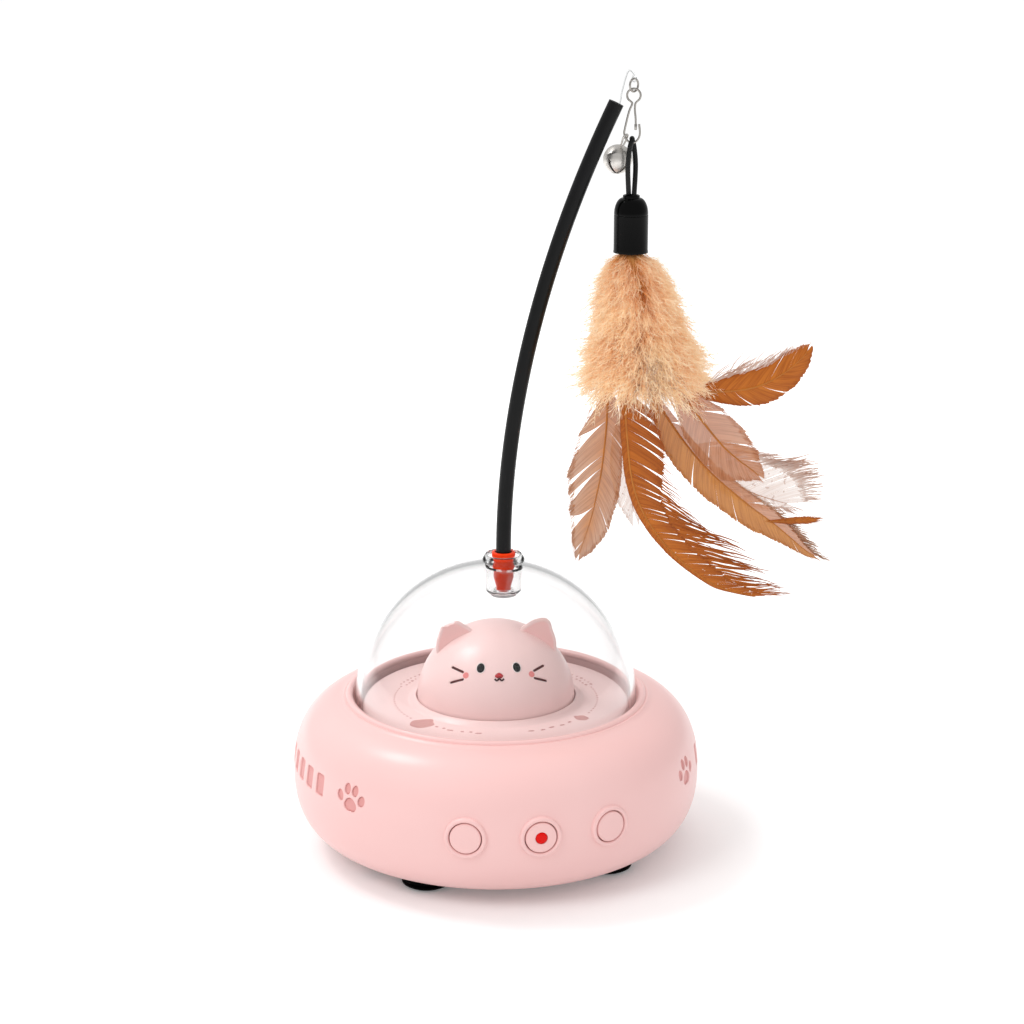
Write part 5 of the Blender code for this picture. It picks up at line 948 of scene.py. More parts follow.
def new_tree(name: str, sockets: dict[str, str]) -> bpy.types.NodeTree:
    """Starts a geometry tree with its inputs.

    Args:
        name: The tree's name.
        sockets: The kind of each input by its name, beside the geometry.

    Returns:
        The tree.
    """
    tree = bpy.data.node_groups.new(name, "GeometryNodeTree")
    tree.interface.new_socket("Geometry", in_out="INPUT", socket_type="NodeSocketGeometry")
    for label, kind in sockets.items():
        tree.interface.new_socket(label, in_out="INPUT", socket_type=kind)
    tree.interface.new_socket("Geometry", in_out="OUTPUT", socket_type="NodeSocketGeometry")
    return tree


def close_tree(tree: bpy.types.NodeTree, geometry: bpy.types.NodeSocket, finish: bpy.types.NodeSocket) -> None:
    """Ends a geometry tree: real copies that wear the finish.

    Args:
        tree: The tree.
        geometry: What it has made.
        finish: The input that holds the material.
    """
    real = add_node(tree, "GeometryNodeRealizeInstances", {"Geometry": geometry})
    dressed = add_node(tree, "GeometryNodeSetMaterial", {"Geometry": real.outputs["Geometry"], "Material": finish})
    add_node(tree, "NodeGroupOutput", {"Geometry": dressed.outputs["Geometry"]})


def copy_tree() -> bpy.types.NodeTree:
    """The tree that puts copies of up to three shapes on points, each turned, sized and picked by the point's values.

    Returns:
        The tree, made at its first use.
    """
    made = bpy.data.node_groups.get("copies on points")
    if made is not None:
        return made
    sockets = dict.fromkeys(COPY_NAMES, "NodeSocketObject")
    sockets |= {"Size": "NodeSocketFloat", "Spread": "NodeSocketFloat", "Seed": "NodeSocketInt"}
    tree = new_tree("copies on points", sockets | {"Finish": "NodeSocketMaterial"})
    given = add_node(tree, "NodeGroupInput").outputs
    shapes = add_node(tree, "GeometryNodeJoinGeometry")
    for name in reversed(COPY_NAMES):
        shape = add_node(tree, "GeometryNodeObjectInfo", {"Object": given[name], "As Instance": True})
        tree.links.new(shape.outputs["Geometry"], shapes.inputs["Geometry"])
    kind = add_node(tree, "GeometryNodeInputNamedAttribute", {"Name": "kind"}, data_type="INT")
    turn = add_node(tree, "GeometryNodeInputNamedAttribute", {"Name": "turn"}, data_type="FLOAT_VECTOR")
    scale = add_node(tree, "GeometryNodeInputNamedAttribute", {"Name": "scale"}, data_type="FLOAT_VECTOR")
    least = add_node(tree, "ShaderNodeMath", {0: 1.0, 1: given["Spread"]}, operation="SUBTRACT")
    most = add_node(tree, "ShaderNodeMath", {0: 1.0, 1: given["Spread"]}, operation="ADD")
    chance = add_node(
        tree,
        "FunctionNodeRandomValue",
        {"Min": least.outputs["Value"], "Max": most.outputs["Value"], "Seed": given["Seed"]},
        data_type="FLOAT",
    )
    # The random node shows one output for each of its kinds, and the number is the second
    share = add_node(tree, "ShaderNodeMath", {0: chance.outputs[1], 1: given["Size"]}, operation="MULTIPLY")
    size = add_node(
        tree,
        "ShaderNodeVectorMath",
        {0: scale.outputs["Attribute"], "Scale": share.outputs["Value"]},
        operation="SCALE",
    )
    placed = add_node(
        tree,
        "GeometryNodeInstanceOnPoints",
        {
            "Points": given["Geometry"],
            "Instance": shapes.outputs["Geometry"],
            "Pick Instance": True,
            "Instance Index": kind.outputs["Attribute"],
            "Rotation": turn.outputs["Attribute"],
            "Scale": size.outputs["Vector"],
        },
    )
    close_tree(tree, placed.outputs["Instances"], given["Finish"])
    return tree


def wire_tree() -> bpy.types.NodeTree:
    """The tree that draws round wire along a chain of edges.

    Returns:
        The tree, made at its first use.
    """
    made = bpy.data.node_groups.get("round wire")
    if made is not None:
        return made
    sockets = {"Wire radius": "NodeSocketFloat", "Sides": "NodeSocketInt", "Finish": "NodeSocketMaterial"}
    tree = new_tree("round wire", sockets)
    given = add_node(tree, "NodeGroupInput").outputs
    path = add_node(tree, "GeometryNodeMeshToCurve", {"Mesh": given["Geometry"]})
    section = add_node(
        tree, "GeometryNodeCurvePrimitiveCircle", {"Resolution": given["Sides"], "Radius": given["Wire radius"]}
    )
    drawn = add_node(
        tree,
        "GeometryNodeCurveToMesh",
        {"Curve": path.outputs["Curve"], "Profile Curve": section.outputs["Curve"], "Fill Caps": True},
    )
    close_tree(tree, drawn.outputs["Mesh"], given["Finish"])
    return tree


def grow(mesh: bpy.types.Mesh, tree: bpy.types.NodeTree, values: dict[str, object]) -> bpy.types.Mesh:
    """Runs a geometry tree on a mesh and keeps what it makes as a plain mesh.

    Args:
        mesh: The points or edges that the tree starts from.
        tree: The tree.
        values: Its inputs by name.

    Returns:
        The mesh that it made.
    """
    start = bpy.data.objects.new("start", mesh)
    bpy.context.scene.collection.objects.link(start)
    modifier = start.modifiers.new("grow", "NODES")
    modifier.node_group = tree
    for item in tree.interface.items_tree:
        if item.item_type == "SOCKET" and item.in_out == "INPUT" and item.name in values:
            modifier[item.identifier] = values[item.name]
    graph = bpy.context.evaluated_depsgraph_get()
    made = bpy.data.meshes.new_from_object(start.evaluated_get(graph), depsgraph=graph)
    start.modifiers.remove(modifier)
    bpy.data.objects.remove(start)
    for name in ("kind", "turn", "scale"):
        if name in made.attributes:
            made.attributes.remove(made.attributes[name])
    return made


@dataclass
class Copies:
    """Places for copies of some shapes: where, how turned, how big, which shape and how light."""

    places: list[Vector] = field(default_factory=list)
    turns: list[Vector] = field(default_factory=list)
    scales: list[Vector] = field(default_factory=list)
    kinds: list[int] = field(default_factory=list)
    tones: list[float] = field(default_factory=list)

    def add(
        self, place: Vector, turn: Matrix, scale: Sequence[float] = (1, 1, 1), kind: int = 0, tone: float = 0.0
    ) -> None:
        """Adds one copy.

        Args:
            place: Where it stands.
            turn: Its turn.
            scale: Its size along its own axes.
            kind: Which of the shapes it is.
            tone: How much lighter or darker it is than the rest.
        """
        self.places.append(Vector(place))
        self.turns.append(Vector(turn.to_3x3().to_euler()))
        self.scales.append(Vector(scale))
        self.kinds.append(kind)
        self.tones.append(tone)

    def grown(
        self, shapes: Sequence[bmesh.types.BMesh], finish: Finish, seed: int = 1, spread: float = 0.0
    ) -> bpy.types.Mesh:
        """Makes the mesh of all the copies.

        Args:
            shapes: One to three shapes, which are used up.
            finish: What they are made of.
            seed: For the random part of their size.
            spread: How big that part is.

        Returns:
            The mesh.
        """
        mesh = bpy.data.meshes.new("places")
        mesh.from_pydata([tuple(p) for p in self.places], [], [])
        for name, kind, values in (
            ("turn", "FLOAT_VECTOR", np.array(self.turns, np.float32).ravel()),
            ("scale", "FLOAT_VECTOR", np.array(self.scales, np.float32).ravel()),
            ("kind", "INT", np.array(self.kinds, np.int32)),
            ("tone", "FLOAT", np.array(self.tones, np.float32)),
        ):
            layer = mesh.attributes.new(name, kind, "POINT")
            layer.data.foreach_set("vector" if kind == "FLOAT_VECTOR" else "value", values)
        objects = []
        for bm in shapes:
            shape = bpy.data.meshes.new("shape")
            bm.to_mesh(shape)
            bm.free()
            shape.shade_smooth()
            objects.append(bpy.data.objects.new("shape", shape))
        for obj in objects:
            bpy.context.scene.collection.objects.link(obj)
        chosen = [objects[min(i, len(objects) - 1)] for i in range(len(COPY_NAMES))]
        values = dict(zip(COPY_NAMES, chosen))
        values |= {"Size": 1.0, "Spread": spread, "Seed": seed, "Finish": finish.material()}
        made = grow(mesh, copy_tree(), values)
        for obj in objects:
            bpy.data.objects.remove(obj)
        return made


def wire(points: Sequence[Vector], radius: float, finish: Finish, closed: bool = False, sides: int = 14) -> bpy.types.Mesh:
    """Round wire along points.

    Args:
        points: Its middle line.
        radius: Its radius.
        finish: What it is made of.
        closed: Whether its ends meet.
        sides: How many sides it has.

    Returns:
        The mesh.
    """
    mesh = bpy.data.meshes.new("path")
    edges = [(i, i + 1) for i in range(len(points) - 1)]
    if closed:
        edges.append((len(points) - 1, 0))
    mesh.from_pydata([tuple(p) for p in points], edges, [])
    return grow(mesh, wire_tree(), {"Wire radius": radius, "Sides": sides, "Finish": finish.material()})


def joined(meshes: Sequence[bpy.types.Mesh]) -> bpy.types.Mesh:
    """Puts several meshes into one.

    Args:
        meshes: The meshes.

    Returns:
        The one mesh.
    """
    bm = bmesh.new()
    for mesh in meshes:
        bm.from_mesh(mesh)
    both = bpy.data.meshes.new("joined")
    bm.to_mesh(both)
    bm.free()
    return both


@dataclass
class Skin:
    """A turned surface whose even grid gives way to outlines that are let in, raised or pierced.

    A place on it is given by how far round it lies, measured at the widest radius, and how far along the profile.
    """

    profile: list[Point]
    columns: int
    start: float
    frame: Matrix = field(default_factory=lambda: Matrix.Identity(4))

    def __post_init__(self) -> None:
        """Measures the profile."""
        self.lengths = [0.0]
        for (r0, z0), (r1, z1) in zip(self.profile, self.profile[1:]):
            self.lengths.append(self.lengths[-1] + math.hypot(r1 - r0, z1 - z0))
        self.widest = max(r for r, _ in self.profile)
        self.rings: list[tuple[list[Point], list[Vector], bool]] = []
        self.outer: list[list[Point]] = []

    def along(self, z: float) -> float:
        """How far along the profile a height lies.

        Args:
            z: The height.

        Returns:
            The length from the profile's start.
        """
        for i, ((_, z0), (_, z1)) in enumerate(zip(self.profile, self.profile[1:])):
            if min(z0, z1) <= z <= max(z0, z1) and z0 != z1:
                share = (z - z0) / (z1 - z0)
                return self.lengths[i] + share * (self.lengths[i + 1] - self.lengths[i])
        raise ValueError(f"the profile has no height {z}")

    def at(self, u: float, s: float, lift: float = 0.0) -> Vector:
        """The point in space at a place on the surface.

        Args:
            u: How far round.
            s: How far along.
            lift: How far off the surface.

        Returns:
            The point.
        """
        i = min(max(bisect_right(self.lengths, s) - 1, 0), len(self.lengths) - 2)
        (r0, z0), (r1, z1) = self.profile[i], self.profile[i + 1]
        span = self.lengths[i + 1] - self.lengths[i]
        share = (s - self.lengths[i]) / span
        slope = self.slope(i) * (1 - share) + self.slope(i + 1) * share
        slope.normalize()
        r, z = r0 + (r1 - r0) * share + slope.y * lift, z0 + (z1 - z0) * share - slope.x * lift
        angle = u / self.widest
        return Vector((r * math.sin(angle), -r * math.cos(angle), z))

    def slope(self, i: int) -> Vector:
        """The profile's direction at one of its points."""
        before, after = self.profile[max(i - 1, 0)], self.profile[min(i + 1, len(self.profile) - 1)]
        return Vector((after[0] - before[0], after[1] - before[1])).normalized()

    def place(self, azimuth: float, z: float, outline: Sequence[Point]) -> list[Point]:
        """Moves a flat outline to its place, so that it keeps its size there.

        Args:
            azimuth: Where its middle lies, in radians.
            z: The height of its middle.
            outline: Its points, counter-clockwise as seen from outside.

        Returns:
            The outline's places on the surface.
        """
        middle = self.along(z)
        radius = math.hypot(*self.at(0.0, middle).xy)
        return [(azimuth * self.widest + x * self.widest / radius, middle + y) for x, y in outline]

    def let_in(self, places: Sequence[Point], steps: Sequence[Point], hole: bool = False) -> None:
        """Lets an outline in, or raises it.

        Args:
            places: The outline's places.
            steps: From the outside in, each ring's offset from the outline and its lift.
            hole: Whether the inside of the last ring is open.
        """
        for k, (offset, lift) in enumerate(steps):
            ring_places = widen(places, offset)
            if k == 0:
                self.outer.append(ring_places)
            points = [self.at(u, s, lift) for u, s in ring_places]
            self.rings.append((ring_places, points, hole and k == len(steps) - 1))

    def raise_rings(self, azimuth: float, z: float, rings: Sequence[tuple[float, float | None]], hole: bool) -> None:
        """Adds round rings about a level axis that points out: a bezel, a bore.

        Args:
            azimuth: The axis's azimuth.
            z: Its height.
            rings: From the outside in, each ring's radius and how far out it lies, or None on the surface.
            hole: Whether the inside of the last ring is open.
        """
        frame_out = outward(azimuth, z)
        steps = 64
        for k, (radius, out) in enumerate(rings):
            ring_places, points = [], []
            for i in range(steps):
                angle = math.tau * i / steps
                x, y = radius * math.cos(angle), radius * math.sin(angle)
                if out is None:
                    s = self.along(z + y)
                    wall = math.hypot(*self.at(0.0, s).xy)
                    depth = math.sqrt(wall**2 - x**2)
                else:
                    depth = out
                point = frame_out @ Vector((x, y, depth))
                points.append(point)
                turn = math.atan2(point.x, -point.y)
                turn = azimuth + (turn - azimuth + math.pi) % math.tau - math.pi
                ring_places.append((turn * self.widest, self.along(z + y)))
            if k == 0:
                self.outer.append(ring_places)
            self.rings.append((ring_places, points, hole and k == len(rings) - 1))

    def clear_of(self, place: Point, margin: float) -> bool:
        """Whether a place lies outside every outline, and not close to one."""
        x, y = place
        for outline in self.outer:
            inside = False
            low = min(p[0] for p in outline) - margin, min(p[1] for p in outline) - margin
            high = max(p[0] for p in outline) + margin, max(p[1] for p in outline) + margin
            if not (low[0] < x < high[0] and low[1] < y < high[1]):
                continue
            for (x0, y0), (x1, y1) in zip(outline, [*outline[1:], outline[0]]):
                if math.hypot(x - x0, y - y0) < margin:
                    return False
                if (y0 > y) != (y1 > y) and x < x0 + (y - y0) / (y1 - y0) * (x1 - x0):
                    inside = not inside
            if inside:
                return False
        return True

    def build(self, bm: bmesh.types.BMesh) -> tuple[list, list, list[list]]:
        """Makes the surface.

        Args:
            bm: The mesh that gets it.

        Returns:
            The ring of vertices at the profile's start, the one at its end, and one ring for each hole.
        """
        scale = 1 / MM
        step = math.tau * self.widest / self.columns
        first = self.start * self.widest
        rows = len(self.profile)
        places: list[Point] = []
        verts: list = []
        low, high = [], []
        edge_rows = {0: low, rows - 1: high}
        sides: list[list] = [[], []]
        for row, s in enumerate(self.lengths):
            opening = None
            for column in range(self.columns + 1):
                u = first + column * step
                edge = row in edge_rows or column in (0, self.columns)
                if not edge and not self.clear_of((u, s), 0.45 * step):
                    continue
                if column == self.columns:
                    vert = opening
                else:
                    vert = bm.verts.new(self.at(u, s))
                if column == 0:
                    opening = vert
                places.append((u, s))
                verts.append(vert)
                if column in (0, self.columns):
                    sides[column > 0].append(len(places) - 1)
                if row in edge_rows and column < self.columns:
                    edge_rows[row].append(vert)
        edges = []
        for side in sides:
            edges += list(zip(side, side[1:]))
        borders = []
        for ring_places, points, is_hole in self.rings:
            base = len(places)
            count = len(points)
            places += ring_places
            ring_verts = [bm.verts.new(p) for p in points]
            verts += ring_verts
            edges += [(base + i, base + (i + 1) % count) for i in range(count)]
            if is_hole:
                borders.append(ring_verts)
        flat = [Vector((u * scale, s * scale)) for u, s in places]
        found = delaunay_2d_cdt(flat, edges, [], 0, 1e-6)
        source = [origins[0] for origins in found[3]]
        hole_sets = [set(border) for border in borders]
        for corners in found[2]:
            face = [verts[source[i]] for i in corners]
            if len(set(face)) < 3 or any(all(v in hole_set for v in face) for hole_set in hole_sets):
                continue
            bm.faces.new(face)
        return low, high, borders


def outward(azimuth: float, z: float) -> Matrix:
    """A frame on the upright axis whose Z points out level, with its X to the right as seen from outside.

    Args:
        azimuth: Where it points.
        z: Its height.

    Returns:
        The frame.
    """
    right = Vector((math.cos(azimuth), math.sin(azimuth), 0))
    out = Vector((math.sin(azimuth), -math.cos(azimuth), 0))
    turn = Matrix((right, (0, 0, 1), out)).transposed().to_4x4()
    return Matrix.Translation((0, 0, z)) @ turn


def side_arc(inset: float, upper: bool, from_radius: float, to_radius: float, steps: int) -> list[Point]:
    """The base's rounded side, as a superellipse about its widest height.

    Args:
        inset: How far inside the outer side it runs.
        upper: Whether it is the part above the widest height or the one below.
        from_radius: Where it starts.
        to_radius: Where it ends; zero stands for the widest point.
        steps: How many parts it has.

    Returns:
        Its points.
    """
    flat = (UPPER_FLAT if upper else LOWER_FLAT) - 0.0
    height = (SIDE_TOP_Z - WIDEST_Z if upper else WIDEST_Z) - inset
    power = UPPER_POWER if upper else LOWER_POWER
    reach = BASE_RADIUS - inset - flat

    def angle(radius: float) -> float:
        """The arc's angle at a radius."""
        return math.acos(min(1.0, max(0.0, (radius - flat) / reach) ** (power / 2)))

    start = angle(from_radius) if from_radius else 0.0
    end = angle(to_radius) if to_radius else 0.0
    points = []
    for i in range(steps + 1):
        a = start + (end - start) * i / steps
        r = flat + reach * math.cos(a) ** (2 / power)
        z = height * math.sin(a) ** (2 / power)
        points.append((r, WIDEST_Z + z if upper else WIDEST_Z - z))
    return points


BASE_RADIUS = 75.0 * MM
WIDEST_Z = 25.4 * MM
SIDE_TOP_Z = 52.7 * MM
UPPER_FLAT = 50.0 * MM
LOWER_FLAT = 51.8 * MM
UPPER_POWER = 2.37
LOWER_POWER = 2.46
WALL = 2.2 * MM
SPLIT_RADIUS = 64.2 * MM
CROWN_RADIUS = 56.9 * MM


@dataclass
class BaseShell:
    """The base: its upper shell with the well, the let-in pictures, the charging port, the plate, feet and screws."""

    columns: int = 300
    seam_azimuth: float = math.radians(-140)
    step_rise: float = 0.6 * MM
    bead_radius: float = 54.3 * MM
    bead_half: float = 1.1 * MM
    bead_lean: float = 1.6 * MM
    bead_rise: float = 1.3 * MM
    well_floor_z: float = 44.5 * MM
    well_under_z: float = 42.3 * MM
    bush_hole: float = 5.4 * MM
    pocket_depth: float = 1.05 * MM
    lip: float = 0.27 * MM
    paw_azimuth: float = math.radians(55.3)
    paw_z: float = 30.2 * MM
    pad_half: Point = (3.1 * MM, 2.6 * MM)
    toe_half: Point = (1.55 * MM, 2.05 * MM)
    toe_reach: float = 5.8 * MM
    toe_angles: tuple[float, ...] = (-65.0, -19.0, 19.0, 65.0)
    stripe_azimuth: float = math.radians(69.5)
    stripe_pitch: float = math.radians(6.5)
    stripe_count: int = 5
    stripe_z: float = 32.2 * MM
    stripe_size: Point = (5.3 * MM, 7.9 * MM)
    stripe_corner: float = 1.0 * MM
    pad_sink: float = 0.55 * MM
    button_z: float = 26.0 * MM
    button_spread: float = math.radians(20.0)
    bore: float = 5.8 * MM
    bezel: float = 7.4 * MM
    bezel_out: float = 75.9 * MM
    bezel_round: float = 0.85 * MM
    port_z: float = 19.5 * MM
    port_recess: tuple[float, float, float] = (12.6 * MM, 6.8 * MM, 2.5 * MM)
    port_hole: tuple[float, float, float] = (9.6 * MM, 3.8 * MM, 1.6 * MM)
    port_depth: float = 0.7 * MM
    plate_radius: float = 63.9 * MM
    plate_rim: float = 2.1 * MM
    sink_circle: float = 58.5 * MM
    sink_radius: float = 2.9 * MM
    sink_rise: float = 1.0 * MM
    sink_azimuths: tuple[float, ...] = (62.0, 118.0, 242.0, 298.0)

    def outside(self) -> Skin:
        """The outer side between the split and the crown."""
        lower = side_arc(0.0, False, SPLIT_RADIUS, 0.0, 18)
        upper = side_arc(0.0, True, 0.0, CROWN_RADIUS, 20)
        return Skin(lower + upper[1:], self.columns, self.seam_azimuth)

    def inside(self) -> Skin:
        """The inner side, one wall in."""
        lower = side_arc(WALL, False, SPLIT_RADIUS, 0.0, 12)
        upper = side_arc(WALL, True, 0.0, self.bead_radius + self.bead_half, 16)
        return Skin(lower + upper[1:], self.columns, self.seam_azimuth)

    def button_azimuths(self) -> tuple[float, float, float]:
        """The azimuths of the left, the power and the right button, in the base's own frame."""
        return -self.button_spread, 0.0, self.button_spread

    def paw(self) -> list[list[Point]]:
        """The outlines of a paw's pad and its four toes, about the pad's middle."""
        half_width, half_height = self.pad_half
        pad = []
        for x, y in oval(half_width, half_height, 44):
            narrowing = 1 - 0.22 * max(0.0, y / half_height)
            notch = 0.13 * half_height * math.exp(-((x / (0.22 * half_width)) ** 2)) if y < 0 else 0.0
            flare = 1 + 0.06 * max(0.0, -y / half_height)
            pad.append((x * narrowing * flare, y + notch))
        outlines = [pad]
        for degrees in self.toe_angles:
            angle = math.radians(degrees)
            centre = self.toe_reach * math.sin(angle), self.toe_reach * math.cos(angle)
            outlines.append(oval(*self.toe_half, 32, centre, -angle / 3))
        return outlines

    def pictures(self, skin: Skin, side: int) -> list[list[Point]]:
        """The places of one side's paw and stripes.

        Args:
            skin: The outer side.
            side: -1 for the left, 1 for the right.

        Returns:
            The places of each outline.
        """
        outlines = [skin.place(side * self.paw_azimuth, self.paw_z, outline) for outline in self.paw()]
        stripe = rounded_box(*self.stripe_size, self.stripe_corner)
        for i in range(self.stripe_count):
            azimuth = side * (self.stripe_azimuth + i * self.stripe_pitch)
            outlines.append(skin.place(azimuth, self.stripe_z, stripe))
        return outlines

    def rounded_lip(self, depth: float, draft: float = 0.03 * MM) -> list[Point]:
        """The rings of a pocket's rounded lip, wall and floor edge, as offset and lift."""
        steps = []
        for i in range(6):
            angle = math.pi / 2 * i / 5
            steps.append((self.lip * (1 - math.sin(angle)), -self.lip * (1 - math.cos(angle))))
        return [*steps, (-draft, -depth + 0.12 * MM), (-draft - 0.10 * MM, -depth)]

    def build_shell(self) -> None:
        """The upper shell: outer side, crown bead, well and inner side in one closed skin."""
        bm = bmesh.new()
        outer, inner = self.outside(), self.inside()
        for side in (-1, 1):
            for places in self.pictures(outer, side):
                outer.let_in(places, self.rounded_lip(self.pocket_depth))
        curve = []
        for i in range(7):
            angle = math.pi * i / 6
            share = math.cos(angle) * (self.bezel - self.bore) / 2
            curve.append(((self.bezel + self.bore) / 2 + share, self.bezel_out + self.bezel_round * (math.sin(angle) - 1)))
        for azimuth in self.button_azimuths():
            rings = [(self.bezel + 0.40 * MM, None), (self.bezel + 0.12 * MM, None), *curve]
            outer.raise_rings(azimuth, self.button_z, rings, True)
            inner.raise_rings(azimuth, self.button_z, [(self.bore, None)], True)
        recess = outer.place(math.pi, self.port_z, rounded_box(*self.port_recess))
        outer.let_in(recess, self.rounded_lip(self.port_depth))
        mouth = rounded_box(*self.port_hole)
        outer.let_in(outer.place(math.pi, self.port_z, mouth), [(0.0, -self.port_depth)], True)
        inner.let_in(inner.place(math.pi, self.port_z, mouth), [(0.0, 0.0)], True)
        low, high, holes = outer.build(bm)
        inner_low, inner_high, inner_holes = inner.build(bm)
        for one, other in zip(holes, inner_holes):
            bridge(bm, one, other)
        bridge(bm, low, inner_low)
        ledge_z = outer.profile[-1][1] + self.step_rise
        crown = [(CROWN_RADIUS - self.step_rise, ledge_z)]
        for i in range(15):
            angle = math.pi * i / 14
            half = self.bead_half if i < 7 else self.bead_lean
            crown.append((self.bead_radius + half * math.cos(angle), ledge_z + self.bead_rise * math.sin(angle)))
        well_radius = self.bead_radius - self.bead_half
        corners = [
            crown[-1],
            (crown[-1][0], ledge_z - 0.5 * MM),
            (well_radius, ledge_z - 1.4 * MM),
            (well_radius, self.well_floor_z),
            (self.bush_hole, self.well_floor_z),
        ]
        well = soften(corners, 0.5 * MM)
        under = [(self.bush_hole, self.well_under_z), (inner.profile[-1][0], self.well_under_z)]
        ring_before = high
        for radius, z in [*crown, *well[1:], *under]:
            ring_after = ring(bm, radius, z, self.columns, self.seam_azimuth)
            bridge(bm, ring_before, ring_after)
            ring_before = ring_after
        bridge(bm, ring_before, inner_high)
        put("upper_shell_moulding", bm, PINK_ABS, Body.BASE, ["upper_shell"], BASE_FRAME)

    def build_pictures(self) -> None:
        """The rose pads that fill the paw and the stripes on both sides."""
        skin = self.outside()
        for side, name in ((-1, "left"), (1, "right")):
            bm = bmesh.new()
            for places in self.pictures(skin, side):
                inner = widen(places, -0.10 * MM)
                middle = Vector((sum(p[0] for p in inner), sum(p[1] for p in inner))) / len(inner)
                rims = []
                for share, lift in ((0.4, 0.0), (0.75, 0.0), (0.9, -0.02), (0.97, -0.08), (1.0, -0.2), (1.0, -0.5)):
                    rim = []
                    for u, s in inner:
                        spot = middle + (Vector((u, s)) - middle) * share
                        rim.append(bm.verts.new(skin.at(spot.x, spot.y, lift * MM - self.pad_sink)))
                    rims.append(rim)
                top = bm.verts.new(skin.at(middle.x, middle.y, -self.pad_sink))
                under = bm.verts.new(skin.at(middle.x, middle.y, -0.5 * MM - self.pad_sink))
                for one, other in zip([[top], *rims], [*rims, [under]]):
                    bridge(bm, one, other)
            put(f"{name}_picture", bm, ROSE_ABS, Body.BASE, [f"{name}_inlay"], BASE_FRAME)

    def build_plate(self) -> None:
        """The base plate with the screws' sinks."""
        rim = side_arc(0.0, False, self.plate_radius, LOWER_FLAT + 0.01 * MM, 14)
        top = rim[0][1] + self.plate_rim
        bm = turned(
            [(0, 0), *reversed(rim), (self.plate_radius, top), (self.plate_radius - WALL, top), (61.0 * MM, 2.6 * MM)]
            + [(55.0 * MM, WALL), (0, WALL)],
            192,
        )
        tools = bmesh.new()
        for degrees in self.sink_azimuths:
            before = set(tools.verts)
            turned([(0, -1 * MM), (self.sink_radius, -1 * MM), (self.sink_radius, self.seat_z()), (0, self.seat_z())], 40, bm=tools)
            fresh = [vert for vert in tools.verts if vert not in before]
            bmesh.ops.translate(tools, verts=fresh, vec=BASE_FRAME @ self.on_circle(degrees, self.sink_circle))
        put("base_plate_moulding", cut_away(bm, tools), PINK_ABS, Body.BASE, ["base_plate"], sharp=30)

    def on_circle(self, degrees: float, radius: float) -> Vector:
        """A point on a level circle at an azimuth."""
        angle = math.radians(degrees)
        return Vector((radius * math.sin(angle), -radius * math.cos(angle), 0))

    def seat_z(self) -> float:
        """The height of the screws' seats."""
        rim = side_arc(0.0, False, self.sink_circle, self.sink_circle + 0.01 * MM, 1)
        return rim[0][1] + self.sink_rise


@dataclass
class PushButtons:
    """The three buttons in their bezels, and the lamp lens in the middle one."""

    z: float = 26.0 * MM
    spread: float = math.radians(20.0)
    face: float = 76.0 * MM
    dome: float = 0.3 * MM
    radius: float = 5.5 * MM
    edge: float = 0.55 * MM
    flange_radius: float = 6.8 * MM
    flange_out: float = 71.6 * MM
    flange_in: float = 70.4 * MM
    lens_radius: float = 2.0 * MM
    lens_proud: float = 0.4 * MM
    lens_gap: float = 0.2 * MM
    columns: int = 72

    def cap(self, bore: float) -> list[Point]:
        """The cap's profile as radius and distance out, with a bore or none."""
        top = []
        for i in range(9):
            radius = bore + (self.radius - self.edge - bore) * i / 8
            top.append((radius, self.face - self.dome * (radius / self.radius) ** 2))
        rim = top[-1][1]
        for i in range(1, 6):
            angle = math.pi / 2 * i / 5
            top.append((self.radius - self.edge * (1 - math.sin(angle)), rim - self.edge * (1 - math.cos(angle))))
        foot = [(self.radius, self.flange_out), (self.flange_radius, self.flange_out), (self.flange_radius, self.flange_in)]
        return top + foot + [(bore, self.flange_in)]

    def build(self) -> None:
        """Makes the caps and the lens."""
        bodies = (Body.LEFT_PUSH, Body.POWER_PUSH, Body.RIGHT_PUSH)
        for body, side, name in zip(bodies, (-1, 0, 1), ("left", "power", "right")):
            place = BASE_FRAME @ outward(side * self.spread, self.z)
            bore = self.lens_radius + self.lens_gap if side == 0 else 0.0
            bm = turned(self.cap(bore), self.columns, closed=bore > 0)
            put(f"{name}_button_cap", bm, PINK_ABS, body, [f"{name}_button"], place)
        top = []
        for i in range(9):
            angle = math.pi / 2 * i / 8
            top.append((self.lens_radius * math.sin(angle), self.face - 0.1 * MM + (self.lens_proud + 0.1 * MM) * math.cos(angle)))
        bm = turned([*top, (self.lens_radius, self.flange_in), (0, self.flange_in)], 48)
        lens_place = BASE_FRAME @ outward(0.0, self.z)
        put("lamp_lens", bm, RED_ACRYLIC, Body.POWER_PUSH, ["indicator_lens"], lens_place)


